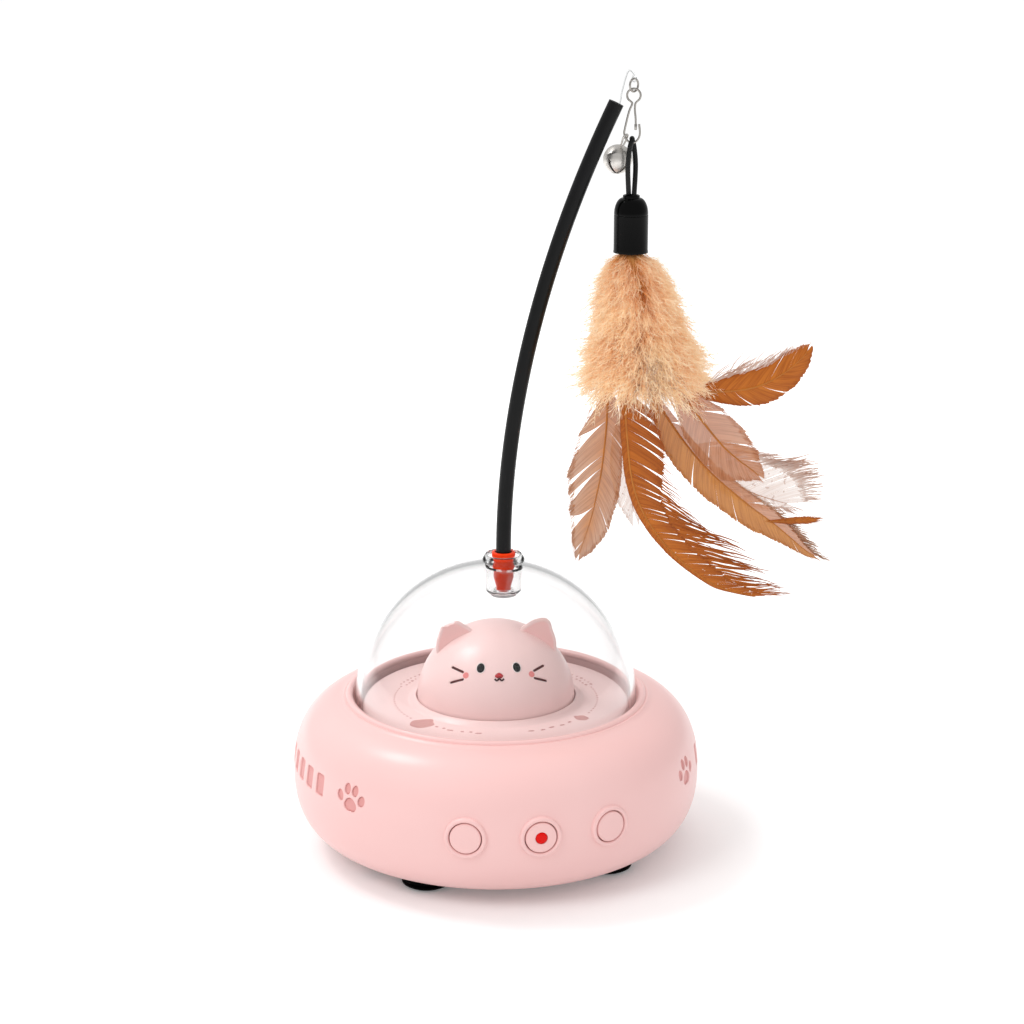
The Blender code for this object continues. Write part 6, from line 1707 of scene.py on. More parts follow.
@dataclass
class Turntable:
    """The deck that turns in the well, with its lip, channel and printed marks."""

    deck_z: float = 50.6 * MM
    deck_radius: float = 48.6 * MM
    lip_from: float = 29.6 * MM
    lip_to: float = 33.0 * MM
    lip_rise: float = 1.6 * MM
    channel_z: float = 46.1 * MM
    channel_radius: float = 49.1 * MM
    rim_radius: float = 52.6 * MM
    rim_under_z: float = 44.7 * MM
    under_z: float = 48.6 * MM
    hub_radius: float = 7.0 * MM
    hub_z: float = 46.1 * MM
    bore: float = 3.3 * MM
    ink: float = 0.03 * MM
    dash_radius: float = 37.6 * MM
    columns: int = 256

    def build(self) -> None:
        """Makes the deck and prints its marks."""
        lip = []
        for i in range(11):
            share = i / 10
            radius = self.lip_from + (self.lip_to - self.lip_from) * share
            lip.append((radius, self.deck_z + self.lip_rise * math.cos(math.pi / 2 * share) ** 2))
        corners = [
            (self.lip_to + 1 * MM, self.deck_z),
            (self.deck_radius, self.deck_z),
            (self.channel_radius, self.deck_z - 0.5 * MM),
            (self.channel_radius, self.channel_z),
            (self.rim_radius, self.channel_z),
            (self.rim_radius, self.rim_under_z),
            (self.hub_radius + 40.1 * MM, self.rim_under_z),
            (self.hub_radius + 40.1 * MM, self.under_z),
            (self.hub_radius, self.under_z),
            (self.hub_radius, self.hub_z),
            (self.bore, self.hub_z),
        ]
        profile = [(self.bore, self.deck_z), (self.lip_from, self.deck_z), *lip, *soften(corners, 0.35 * MM)]
        # The deck wears the pink painted lighter, as painted light under the dome
        put("turntable_deck", turned(profile, self.columns, closed=True), PINK_ABS_PAINTED_LIGHTER, Body.TABLE, ["turntable"])
        self.print_marks()

    def mark(self, outline: Sequence[Point]) -> bmesh.types.BMesh:
        """One mark: a flat patch of ink with a closed edge."""
        bm = bmesh.new()
        low = [bm.verts.new((x, y, -self.ink)) for x, y in outline]
        high = [bm.verts.new((x, y, 0)) for x, y in outline]
        bridge(bm, low, high)
        bm.faces.new(high)
        bm.faces.new(list(reversed(low)))
        return bm

    def print_marks(self) -> None:
        """Prints short dashes in loose runs, double rows of dots behind and a few ragged blots."""
        dash = self.mark(rounded_box(1.2 * MM, 1.1 * MM, 0.4 * MM, 4))
        dot = self.mark(oval(0.42 * MM, 0.42 * MM, 12))
        ragged = []
        for x, y in oval(1.0 * MM, 1.0 * MM, 48):
            share = 1 + 0.34 * noise.noise(Vector((x, y, 2 * MM)) / (0.8 * MM))
            ragged.append((x * share, y * share))
        blot = self.mark(ragged)
        marks = Copies()
        top = self.deck_z + self.ink + 0.012 * MM
        rng = random.Random(4)

        def stamp(degrees: float, radius: float, kind: int, scale: Sequence[float] = (1, 1, 1), tilt: float = 0.0) -> None:
            """Puts one mark on the deck."""
            angle = math.radians(degrees)
            place = Vector((radius * math.sin(angle), -radius * math.cos(angle), top))
            marks.add(place, Matrix.Rotation(angle + tilt, 3, "Z"), scale, kind)

        for start, end, kind in ((-34, -6, 0), (20, 46, 0), (148, 172, 0), (200, 224, 0), (-108, -52, 1), (64, 108, 1)):
            degrees = float(start)
            while degrees < end:
                stretch = rng.uniform(0.7, 2.1) if kind == 0 else 1.0
                radius = self.dash_radius + rng.uniform(-0.5, 0.5) * MM * (kind == 0)
                stamp(degrees, radius, kind, (stretch, 1, 1), rng.uniform(-0.25, 0.25) * (kind == 0))
                degrees += 2.2 + 2.4 * stretch if kind == 0 else 3.6
        for start, end in ((-142, -112), (112, 142)):
            for i in range(9):
                degrees = start + (end - start) * i / 8
                for row in (-1, 1):
                    radius = self.dash_radius + row * 1.1 * MM + rng.uniform(-0.2, 0.2) * MM
                    stamp(degrees, radius, 1 if i % 3 else 0, (rng.uniform(0.7, 1.3), 1, 1), 0.3)
        for degrees, width, depth in ((-43, 4.0, 4.4), (55, 2.2, 2.6), (-150, 3.4, 3.8), (160, 2.2, 2.6)):
            stamp(degrees, self.dash_radius, 2, (width, depth, 1), 0.12)
        mesh = marks.grown([dash, dot, blot], DECK_INK)
        put("deck_marks", mesh, DECK_INK, Body.TABLE)


@dataclass
class ClearDome:
    """The clear dome over the head, and the clear cup in its crown that holds the rod's plug."""

    radius: float = 52.1 * MM
    wall: float = 2.0 * MM
    centre_z: float = 50.3 * MM
    foot_z: float = 46.4 * MM
    hole: float = 6.7 * MM
    hole_x: float = 2.9 * MM
    columns: int = 192
    rows: int = 56

    def ball(self, radius: float, share: float, column: int) -> Vector:
        """A point on a ball about the dome's centre, between the foot's ring and the hole's.

        Args:
            radius: The ball's radius.
            share: 0 at the foot, 1 at the hole.
            column: Which column it is in.

        Returns:
            The point.
        """
        angle = math.tau * column / self.columns
        drop = self.foot_z - self.centre_z
        level = math.sqrt(radius**2 - drop**2)
        foot = Vector((level * math.sin(angle), -level * math.cos(angle), drop))
        x, y = self.hole_x + self.hole * math.sin(angle), -self.hole * math.cos(angle)
        top = Vector((x, y, math.sqrt(radius**2 - x**2 - y**2)))
        point = foot.normalized().slerp(top.normalized(), share) * radius
        return Vector((point.x, point.y, point.z + self.centre_z))

    def build(self) -> None:
        """Makes the dome with a rounded foot and hole, and the cup."""
        bm = bmesh.new()
        inner = self.radius - self.wall
        rounding = 0.35 * MM
        shares = [i / self.rows for i in range(self.rows + 1)]
        rings = []
        for share in shares:
            rings.append([bm.verts.new(self.ball(self.radius, share, k)) for k in range(self.columns)])
        for share in reversed(shares):
            rings.append([bm.verts.new(self.ball(inner, share, k)) for k in range(self.columns)])
        for low, high in zip(rings, [*rings[1:], rings[0]]):
            bridge(bm, low, high)
        edges = [e for e in bm.edges if e.calc_face_angle(0) > math.radians(50)]
        bmesh.ops.bevel(bm, geom=edges, offset=rounding, segments=3, profile=0.5, affect="EDGES")
        put("clear_dome", bm, CLEAR_PC, Body.TABLE, ["dome"], sharp=60)
        shape = [
            (0.0, 90.2),
            (4.6, 90.2),
            (6.4, 92.0),
            (6.4, 102.7),
            (6.8, 102.7),
            (7.7, 103.6),
            (7.7, 104.5),
            (6.8, 105.85),
            (6.6, 106.3),
            (5.7, 105.4),
            (5.7, 92.4),
            (4.8, 91.5),
            (3.6, 91.5),
            (3.6, 92.6),
            (2.9, 92.6),
            (2.9, 91.5),
            (0.0, 91.5),
        ]
        profile = soften([(r * MM, z * MM) for r, z in shape], 0.5 * MM, 5)
        cup = turned(profile, 96, x=self.hole_x)
        put("clear_cup", cup, CLEAR_CUP, Body.TABLE, ["rod_socket"], sharp=50)


@dataclass
class CatHead:
    """The hollow cat head: smooth cap, two ears, eyes, nose, mouth, cheeks and cut-in whiskers."""

    radius: float = 29.0 * MM
    base_z: float = 52.0 * MM
    height: float = 28.0 * MM
    skirt_z: float = 50.9 * MM
    power: float = 1.95
    wall: float = 2.0 * MM
    columns: int = 240
    band: Point = (math.radians(14), math.radians(56))
    start: float = math.radians(-179.4)
    ear_tip: Point = (17.6 * MM, 82.3 * MM)
    ear_half: float = 6.4 * MM
    ear_round: float = 2.2 * MM
    ear_front: float = -5.0 * MM
    ear_depth: float = 8.0 * MM
    ear_back_share: float = 0.62
    eye_azimuth: float = math.radians(16.8)
    eye_z: float = 69.5 * MM
    eye_half: Point = (1.45 * MM, 1.85 * MM)
    eye_proud: float = 0.6 * MM
    nose_z: float = 67.4 * MM
    nose_half: Point = (1.5 * MM, 1.05 * MM)
    whisker_width: float = 0.95 * MM
    whisker_depth: float = 0.55 * MM
    whiskers: tuple[tuple[float, float, float, float], ...] = (
        (31.5, 67.6, 46.2, 68.4),
        (30.0, 65.6, 42.0, 63.5),
    )
    mouth_z: float = 66.5 * MM
    cheek_azimuth: float = math.radians(29.0)
    cheek_z: float = 66.8 * MM
    cheek_radius: float = 1.15 * MM

    def arc(self, start: float, end: float, steps: int, inset: float = 0.0) -> list[Point]:
        """Points of the head's outline between two angles of its superellipse."""
        points = []
        for i in range(steps + 1):
            a = start + (end - start) * i / steps
            across = (self.radius - inset) * max(0.0, math.cos(a)) ** (2 / self.power)
            points.append((across, self.base_z + (self.height - inset) * math.sin(a) ** (2 / self.power)))
        return points

    def skin(self) -> Skin:
        """The band of the head that carries the face."""
        return Skin(self.arc(*self.band, 30), self.columns, self.start)

    def whisker_outline(self, skin: Skin, side: int, ends: tuple[float, float, float, float], width: float) -> list[Point]:
        """The places of one whisker's outline.

        Args:
            skin: The face's band.
            side: -1 for the cat's right, 1 for its left.
            ends: Azimuth and height of its near and far end, in degrees and millimetres.
            width: Its width.

        Returns:
            The places.
        """
        near, near_z, far, far_z = ends
        middle_z = (near_z + far_z) / 2 * MM
        radius = math.hypot(*skin.at(0.0, skin.along(middle_z)).xy)
        run = math.radians(far - near) * radius
        rise = skin.along(far_z * MM) - skin.along(near_z * MM)
        tilt = math.atan2(rise, run) * side
        flat = rounded_box(math.hypot(run, rise), width, width / 2 - 0.01 * MM, 7)
        outline = [(x * math.cos(tilt) - y * math.sin(tilt), x * math.sin(tilt) + y * math.cos(tilt)) for x, y in flat]
        return skin.place(side * math.radians((near + far) / 2), middle_z, outline)

    def nose_outline(self) -> list[Point]:
        """A rounded triangle, wide below and narrow above, as the photograph shows it."""
        width, height = self.nose_half
        points = []
        for x, y in oval(width, height, 36):
            points.append((x * (1 - 0.42 * max(0.0, y / height)), y))
        return points

    def build(self) -> None:
        """Makes the head and the pieces of its face."""
        skin = self.skin()
        lip = [(0.34, 0.0), (0.24, 0.05), (0.12, 0.05), (0.03, -0.02), (0.0, -0.12), (-0.02, -0.75), (-0.12, -0.8)]
        steps = [(offset * MM, lift * MM) for offset, lift in lip]
        for side in (-1, 1):
            skin.let_in(skin.place(side * self.eye_azimuth, self.eye_z, oval(*self.eye_half, 44)), steps)
            for ends in self.whiskers:
                outline = self.whisker_outline(skin, side, ends, self.whisker_width)
                cut = [(0.20, 0.0), (0.10, 0.02), (0.03, -0.02), (0.0, -0.10)]
                floor = [(-0.05 * MM, -self.whisker_depth)]
                skin.let_in(outline, [(offset * MM, lift * MM) for offset, lift in cut] + floor)
        skin.let_in(skin.place(0.0, self.nose_z, self.nose_outline()), steps)
        bm = bmesh.new()
        low, high, _ = skin.build(bm)
        below = self.arc(self.band[0], 0.0, 10)
        ring_before = low
        inner = self.arc(0.0, math.radians(89), 24, self.wall)
        down = [*below[1:], (self.radius, self.skirt_z + 0.2 * MM), (self.radius - 0.2 * MM, self.skirt_z)]
        up = [(self.radius - self.wall, self.skirt_z), *inner, (0.0, self.base_z + self.height - self.wall)]
        for radius, z in down + up:
            ring_after = ring(bm, radius, z, self.columns, self.start)
            bridge(bm, ring_before, ring_after)
            ring_before = ring_after
        ring_before = high
        for radius, z in [*self.arc(self.band[1], math.radians(89), 22)[1:], (0.0, self.base_z + self.height)]:
            ring_after = ring(bm, radius, z, self.columns, self.start)
            bridge(bm, ring_before, ring_after)
            ring_before = ring_after
        for side in (-1, 1):
            self.add_ear(bm, side)
        # The head wears the pink painted lighter, as painted light under the dome
        put("cat_head_moulding", bm, PINK_ABS_PAINTED_LIGHTER, Body.TABLE, ["cat_head"], FACE_FRAME)
        self.build_face(skin)

    def ear_outline(self, side: int) -> list[Point]:
        """An ear from the front: a steep outer edge, a round tip and a long inner edge, smoothed."""
        tip, half, round_tip = Vector(self.ear_tip), self.ear_half, self.ear_round
        outer = Vector((tip.x + half * 0.66, tip.y - half * 2.3))
        points = [
            outer,
            outer + Vector((round_tip * 0.05, half * 0.9)),
            tip + Vector((round_tip * 1.28, -round_tip * 1.75)),
            tip + Vector((round_tip * 1.02, -round_tip * 0.84)),
            tip + Vector((round_tip * 0.50, -round_tip * 0.24)),
            tip + Vector((-round_tip * 0.26, -round_tip * 0.02)),
            tip + Vector((-round_tip * 1.15, -round_tip * 0.16)),
            tip + Vector((-half * 0.85, -half * 0.24)),
            Vector((tip.x - half * 1.60, tip.y - half * 0.95)),
            Vector((tip.x - half * 1.30, tip.y - half * 2.3)),
        ]
        route = smooth_route([Vector((p.x, p.y, 0)) for p in points], 6)
        outline = [(side * p.x, p.y) for p in route]
        return outline if side > 0 else list(reversed(outline))

    def add_ear(self, bm: bmesh.types.BMesh, side: int) -> None:
        """Adds an ear: a rim round a flat front that lies a little lower, drawn in towards its back.

        Args:
            bm: The head's mesh.
            side: -1 or 1.
        """
        outline = self.ear_outline(side)
        centre = Vector((side * (self.ear_tip[0] + self.ear_round / 2), self.ear_tip[1] - self.ear_half * 2.3))
        rings = []
        front = [(-1.15, 0.12), (-0.95, 0.0), (-0.72, 0.0), (-0.45, 0.04), (-0.2, 0.18), (-0.04, 0.45), (0.0, 0.85)]
        for offset, back in front:
            places = widen(outline, offset * MM)
            rings.append([bm.verts.new((x, self.ear_front + back * MM, z)) for x, z in places])
        for i in range(1, 9):
            share = i / 8
            shrink = 1 - (1 - self.ear_back_share) * share**1.5
            y = self.ear_front + 0.85 * MM + (self.ear_depth - 0.85 * MM) * math.sin(math.pi / 2 * share)
            if share == 1:
                shrink *= 0.86
            points = [centre + (Vector(p) - centre) * shrink for p in outline]
            rings.append([bm.verts.new((p.x, y, p.y)) for p in points])
        for low, high in zip(rings, rings[1:]):
            bridge(bm, low, high)
        bm.faces.new(rings[0])
        bm.faces.new(rings[-1])

    def cushion(self, skin: Skin, places: Sequence[Point], lifts: Sequence[Point]) -> bmesh.types.BMesh:
        """A closed body that bulges out of the skin inside an outline.

        Args:
            skin: The skin.
            places: The outline's places.
            lifts: From the middle to the rim and under it, the share of the outline and its lift.

        Returns:
            Its mesh.
        """
        bm = bmesh.new()
        middle = Vector((sum(p[0] for p in places), sum(p[1] for p in places))) / len(places)
        rings = []
        for share, lift in lifts:
            spots = [middle + (Vector(p) - middle) * share for p in places] if share else [middle]
            rings.append([bm.verts.new(skin.at(p.x, p.y, lift)) for p in spots])
        for low, high in zip(rings, rings[1:]):
            bridge(bm, low, high)
        return bm

    def build_face(self, skin: Skin) -> None:
        """The eyes with their painted highlight rims, nose, mouth, cheeks, and the paint and painted shade in the
        whisker slots.
        """
        bulge = []
        for i in range(9):
            angle = math.pi / 2 * i / 8
            bulge.append((math.sin(angle), (self.eye_proud + 0.15 * MM) * math.cos(angle) - 0.15 * MM))
        bulge += [(1.0, -0.7 * MM), (0.0, -0.7 * MM)]
        for side, name in ((-1, "left"), (1, "right")):
            places = skin.place(side * self.eye_azimuth, self.eye_z, widen(oval(*self.eye_half, 44), -0.04 * MM))
            eye = self.cushion(skin, places, bulge)
            put(f"{name}_eye_bead", eye, BLACK_BEAD, Body.TABLE, [f"{name}_eye"], FACE_FRAME, 60)
            # Painted highlight: a thin pale wire round each eye stands for the light caught by the pocket's edge
            places = skin.place(side * self.eye_azimuth, self.eye_z, widen(oval(*self.eye_half, 44), 0.12 * MM))
            rim = wire([skin.at(u, s, 0.02 * MM) for u, s in places], 0.15 * MM, EYE_RIM_HIGHLIGHT, True, 10)
            put(f"{name}_eye_rim", rim, EYE_RIM_HIGHLIGHT, Body.TABLE, turn=FACE_FRAME)
        places = skin.place(0.0, self.nose_z, widen(self.nose_outline(), -0.04 * MM))
        put("cat_nose_bead", self.cushion(skin, places, bulge), NOSE_PAINT, Body.TABLE, ["cat_nose"], FACE_FRAME)
        for side, name in ((-1, "left"), (1, "right")):
            flat = oval(self.cheek_radius, self.cheek_radius, 36)
            places = skin.place(side * self.cheek_azimuth, self.cheek_z, flat)
            layer = [(0.0, 0.02 * MM), (0.5, 0.02 * MM), (1.0, 0.02 * MM), (1.0, -0.01 * MM), (0.0, -0.03 * MM)]
            cheek = self.cushion(skin, places, layer)
            put(f"{name}_cheek_print", cheek, CHEEK_INK, Body.TABLE, turn=FACE_FRAME, sharp=60)
            # The whisker slots' fill: dark rose paint, darkened further as painted shade of the recess
            fills = bmesh.new()
            for ends in self.whiskers:
                outline = self.whisker_outline(skin, side, ends, self.whisker_width - 0.06 * MM)
                lift = -self.whisker_depth + 0.12 * MM
                paint = self.cushion(skin, outline, [(0.0, lift), (0.6, lift), (1.0, lift + 0.1 * MM), (1.0, lift - 0.1 * MM), (0.0, lift - 0.1 * MM)])
                piece = bpy.data.meshes.new("paint")
                paint.to_mesh(piece)
                paint.free()
                fills.from_mesh(piece)
            put(f"{name}_whisker_paint", fills, SLOT_PAINT_AND_SHADE, Body.TABLE, turn=FACE_FRAME, sharp=60)
            self.build_ear_front(side, name)
        middle = skin.along(self.mouth_z)
        curve = []
        for i in range(25):
            share = i / 24 * 2 - 1
            sag = 0.78 * math.sin(math.pi * abs(share)) - 0.10 + 0.28 * abs(share) ** 3
            curve.append(skin.at(share * 1.75 * MM * skin.widest / self.radius * 1.1, middle - sag * MM, 0.06 * MM))
        put("cat_mouth", wire(curve, 0.34 * MM, MOUTH_INK, sides=10), MOUTH_INK, Body.TABLE, turn=FACE_FRAME)

    def build_ear_front(self, side: int, name: str) -> None:
        """The ear's front, a thin plate in a deeper pink inside the rim."""
        outline = widen(self.ear_outline(side), -1.02 * MM)
        bm = bmesh.new()
        front = [bm.verts.new((x, self.ear_front + 0.06 * MM, z)) for x, z in outline]
        back = [bm.verts.new((x, self.ear_front + 0.30 * MM, z)) for x, z in outline]
        bridge(bm, front, back)
        bm.faces.new(front)
        bm.faces.new(back)
        put(f"{name}_ear_front", bm, EAR_ABS, Body.TABLE, turn=FACE_FRAME)


@dataclass
class Rod:
    """The bowed hollow rod, its silicone plug and the clear line at its tip."""

    foot_x: float = 2.9 * MM
    reach: float = 39.3 * MM
    straight_z: float = 106.3 * MM
    tip_z: float = 269.0 * MM
    power: float = 1.95
    low_z: float = 98.5 * MM
    radius: float = 2.75 * MM
    bore: float = 1.8 * MM
    line_radius: float = 0.3 * MM
    eye: Vector = field(default_factory=lambda: Vector((48.2 * MM, 0, 277.225 * MM)))
    contact: float = 0.975 * MM
    link_turn: float = math.radians(40)

    def x_at(self, z: float) -> float:
        """Where the rod's middle lies along X at a height."""
        share = max(0.0, (z - self.straight_z) / (self.tip_z - self.straight_z))
        return self.foot_x + self.reach * share**self.power

    def build(self) -> None:
        """Makes the plug, the rod and the line."""
        shape = [
            (0.0, 91.8),
            (2.3, 91.8),
            (2.6, 92.1),
            (2.6, 93.2),
            (3.6, 96.8),
            (3.6, 100.1),
            (4.0, 101.14),
            (3.7, 102.18),
            (4.0, 103.48),
            (3.7, 104.52),
            (4.3, 105.3),
            (4.3, 106.8),
            (3.05, 107.1),
            (3.05, 98.2),
            (0.0, 98.2),
        ]
        profile = soften([(r * MM, z * MM) for r, z in shape], 0.45 * MM, 5)
        plug = turned(profile, 72, x=self.foot_x)
        put("silicone_plug", plug, PLUG_SILICONE, Body.ROD, ["rod_plug"], sharp=50)
        route = []
        for i in range(73):
            z = self.low_z + (self.tip_z - self.low_z) * i / 72
            route.append(Vector((self.x_at(z), 0, z)))
        put("hollow_rod", tube(route, self.radius, 40, self.bore), BLACK_ROD, Body.ROD, ["rod_tube"])
        line = wire(smooth_route(self.line_route(), 5), self.line_radius, CLEAR_NYLON, sides=12)
        put("clear_line", line, CLEAR_NYLON, Body.ROD, ["tip_line"])

    def line_route(self) -> list[Vector]:
        """The line's route: out of the bore, over to the link and once round its wire."""
        below_z = self.tip_z - 8 * MM
        tip = Vector((self.x_at(self.tip_z), 0, self.tip_z))
        below = Vector((self.x_at(below_z), 0, below_z))
        way = (tip - below).normalized()
        aside = Vector((way.z, 0, -way.x)) * (self.bore * math.cos(math.radians(18)) - 2 * self.line_radius)
        crown = tip + way * 4.6 * MM
        top = self.eye + Vector((0, 0, self.contact))
        points = [below + aside, tip + aside, crown]
        points.append(Vector(((crown.x + self.eye.x) / 2, 0, top.z + 1.61 * MM)))
        points.append(top + Vector((0, 0, 0.55 * MM)))
        across = Vector((-math.sin(self.link_turn), math.cos(self.link_turn), 0))
        for i in range(1, 9):
            angle = math.tau * i / 9.6
            points.append(self.eye + self.contact * (math.cos(angle) * Vector((0, 0, 1)) + math.sin(angle) * across))
        return points


@dataclass
class TipHardware:
    """The small link, the bent wire clip with its sleeve, and the bell on the clip's hook."""

    wire_radius: float = 0.375 * MM
    link_half: Point = (1.925 * MM, 2.225 * MM)
    link_middle: Vector = field(default_factory=lambda: Vector((48.2 * MM, 0, 275.0 * MM)))
    link_turn: float = math.radians(40)
    contact: float = 1.05 * MM
    eye_radius: float = 2.35 * MM
    clip_turn: float = math.radians(-8)
    clip_length: float = 16.4 * MM
    hook_half: float = 2.6 * MM
    gate_end: float = 9.1 * MM
    gate_length: float = 2.1 * MM
    bell_centre: Vector = field(default_factory=lambda: Vector((43.1 * MM, 5.4 * MM, 248.8 * MM)))
    bell_radius: float = 5.15 * MM
    bell_wall: float = 0.5 * MM
    waist: float = 0.12 * MM
    slot_half: float = 0.42 * MM
    shell_tilt: float = math.radians(-58)
    slot_turns: tuple[float, float] = (math.radians(38), math.radians(128))

    def clip_point(self, across: float, down: float, deep: float = 0.0) -> Vector:
        """A place on the clip, across and down from its eye's middle, and deep behind it."""
        eye = self.link_middle + Vector((0, 0, self.contact - self.eye_radius - self.link_half[1]))
        along = Vector((math.cos(self.clip_turn), math.sin(self.clip_turn), 0))
        back = Vector((-math.sin(self.clip_turn), math.cos(self.clip_turn), 0))
        return eye + along * across + back * deep - Vector((0, 0, down))

    def hook_bottom(self) -> Vector:
        """The lowest point of the hook's wire."""
        return self.clip_point(-self.hook_half / 6, self.clip_length)

    def hook_side(self) -> tuple[Vector, Vector]:
        """Two places on the hook's long side, between which the bell's ring hangs."""
        half = self.hook_half
        above = self.clip_point(-half * 1.22, self.clip_length - half * 1.15)
        return above, self.clip_point(-half * 0.86, self.clip_length - half * 0.36)

    def build(self) -> None:
        """Makes the link, the clip and the bell."""
        along = Vector((math.cos(self.link_turn), math.sin(self.link_turn), 0))
        ring_points = []
        for i in range(48):
            angle = math.tau * i / 48
            side = along * (self.link_half[0] * math.cos(angle))
            ring_points.append(self.link_middle + side + Vector((0, 0, self.link_half[1] * math.sin(angle))))
        # The link's wire wears the nickel painted darker, as painted shade
        link = wire(ring_points, self.wire_radius, SHADED_NICKEL_WIRE, closed=True)
        put("small_link", link, SHADED_NICKEL_WIRE, Body.LINK, ["top_link"])
        self.build_clip()
        self.build_bell()

    def build_clip(self) -> None:
        """The clip, one bent wire, and the square sleeve where its gate snaps."""
        half, end, wide = self.hook_half, self.gate_end, self.wire_radius * 1.5
        points = [
            self.clip_point(half * 0.30, end + self.gate_length),
            self.clip_point(half * 0.28, end * 0.9),
            self.clip_point(half * 0.16, end * 0.55),
            self.clip_point(wide, self.eye_radius * 1.25),
        ]
        for i in range(13):
            angle = math.radians(28 + 304 * i / 12)
            points.append(self.clip_point(self.eye_radius * math.sin(angle), self.eye_radius * math.cos(angle)))
        points += [
            self.clip_point(-wide, self.eye_radius * 1.25),
            self.clip_point(-half * 0.62, end * 0.62),
            self.clip_point(-half * 1.12, end + self.gate_length),
            *self.hook_side(),
            self.hook_bottom(),
            self.clip_point(half * 0.50, self.clip_length - half * 0.34),
            self.clip_point(half * 0.86, self.clip_length - half * 1.15),
            self.clip_point(half * 0.76, end + self.gate_length / 3),
        ]
        # The clip's wire wears the nickel painted darker, as painted shade
        bent = wire(smooth_route(points, 7), self.wire_radius, SHADED_NICKEL_WIRE)
        middle = self.clip_point(half * 0.30, end + self.gate_length)
        sleeve = bmesh.new()
        outline = rounded_box(0.96 * MM, 0.96 * MM, 0.25 * MM, 5)
        rings = []
        for inset, z in ((0.12, -0.7), (0.0, -0.58), (0.0, 1.28), (0.12, 1.4)):
            places = widen(outline, -inset * MM)
            rings.append([sleeve.verts.new((x, y, z * MM)) for x, y in places])
        for low, high in zip(rings, rings[1:]):
            bridge(sleeve, low, high)
        sleeve.faces.new(rings[0])
        sleeve.faces.new(rings[-1])
        sleeve.transform(Matrix.Translation(middle) @ Matrix.Rotation(self.clip_turn, 4, "Z"))
        bmesh.ops.recalc_face_normals(sleeve, faces=sleeve.faces)
        block = bpy.data.meshes.new("sleeve")
        sleeve.to_mesh(block)
        sleeve.free()
        put("wire_clip", joined([bent, block]), SHADED_NICKEL_WIRE, Body.CLIP, ["snap_clip"], sharp=50)

    def build_bell(self) -> None:
        """The bell: a thin ball with a waist, two crossed slots with round ends, and its wire ring."""
        above, below = self.hook_side()
        half = self.hook_half
        hang = self.clip_point(-half * 1.09, self.clip_length - half * 0.724)
        up = (hang - self.bell_centre).normalized()
        side = up.cross(Vector((1, 0, 0))).normalized()
        place = Matrix((side.cross(up), side, up)).transposed().to_4x4()
        place.translation = self.bell_centre
        inner = self.bell_radius - self.bell_wall
        outer_arc, inner_arc = [], []
        for i in range(49):
            angle = math.pi * i / 48
            bulge = self.waist * math.exp(-(((angle - math.pi / 2) * self.bell_radius / (0.42 * MM)) ** 2))
            across = math.sin(angle) if 0 < i < 48 else 0.0
            outer_arc.append(((self.bell_radius + bulge) * across, (self.bell_radius) * math.cos(angle)))
            inner_arc.append((inner * across, inner * math.cos(angle)))
        ball = turned(outer_arc, 96)
        turned(inner_arc, 96, bm=ball)
        bmesh.ops.recalc_face_normals(ball, faces=ball.faces)
        inside = [f for f in ball.faces if f.calc_center_median().length < self.bell_radius - self.bell_wall / 2]
        bmesh.ops.reverse_faces(ball, faces=inside)
        tools = bmesh.new()
        reach = self.bell_radius * 0.80
        for turn in self.slot_turns:
            bar = [(-reach, -self.slot_half), (reach, -self.slot_half)]
            for i in range(1, 8):
                angle = -math.pi / 2 + math.pi * i / 8
                bar.append((reach + 0.72 * MM * math.cos(angle), 0.72 * MM * math.sin(angle)))
            bar += [(reach, self.slot_half), (-reach, self.slot_half)]
            for i in range(1, 8):
                angle = math.pi / 2 + math.pi * i / 8
                bar.append((-reach + 0.72 * MM * math.cos(angle), 0.72 * MM * math.sin(angle)))
            spin = Matrix.Rotation(turn, 3, "Z")
            low = [tools.verts.new(spin @ Vector((x, y, -self.bell_radius - 1 * MM))) for x, y in bar]
            high = [tools.verts.new(spin @ Vector((x, y, -inner * 0.30))) for x, y in bar]
            bridge(tools, low, high)
            tools.faces.new(low)
            tools.faces.new(high)
        shell = self.cut_bell(ball, tools)
        shell.transform(place @ Matrix.Rotation(self.shell_tilt, 4, "X"))
        loop_side = up.cross(below - above).normalized()
        reach_up = self.contact + 0.15 * MM
        reach_down = (hang - self.bell_centre).length - self.bell_radius + self.wire_radius / 2
        points = []
        for i in range(48):
            angle = math.tau * i / 48
            stretch = reach_up if math.cos(angle) >= 0 else reach_down
            points.append(hang + up * (stretch * math.cos(angle)) + loop_side * (reach_up * math.sin(angle)))
        loop = wire(points, self.wire_radius, NICKEL, closed=True)
        put("bell", joined([shell, loop]), NICKEL, Body.BELL, ["bell_shell"], sharp=40)

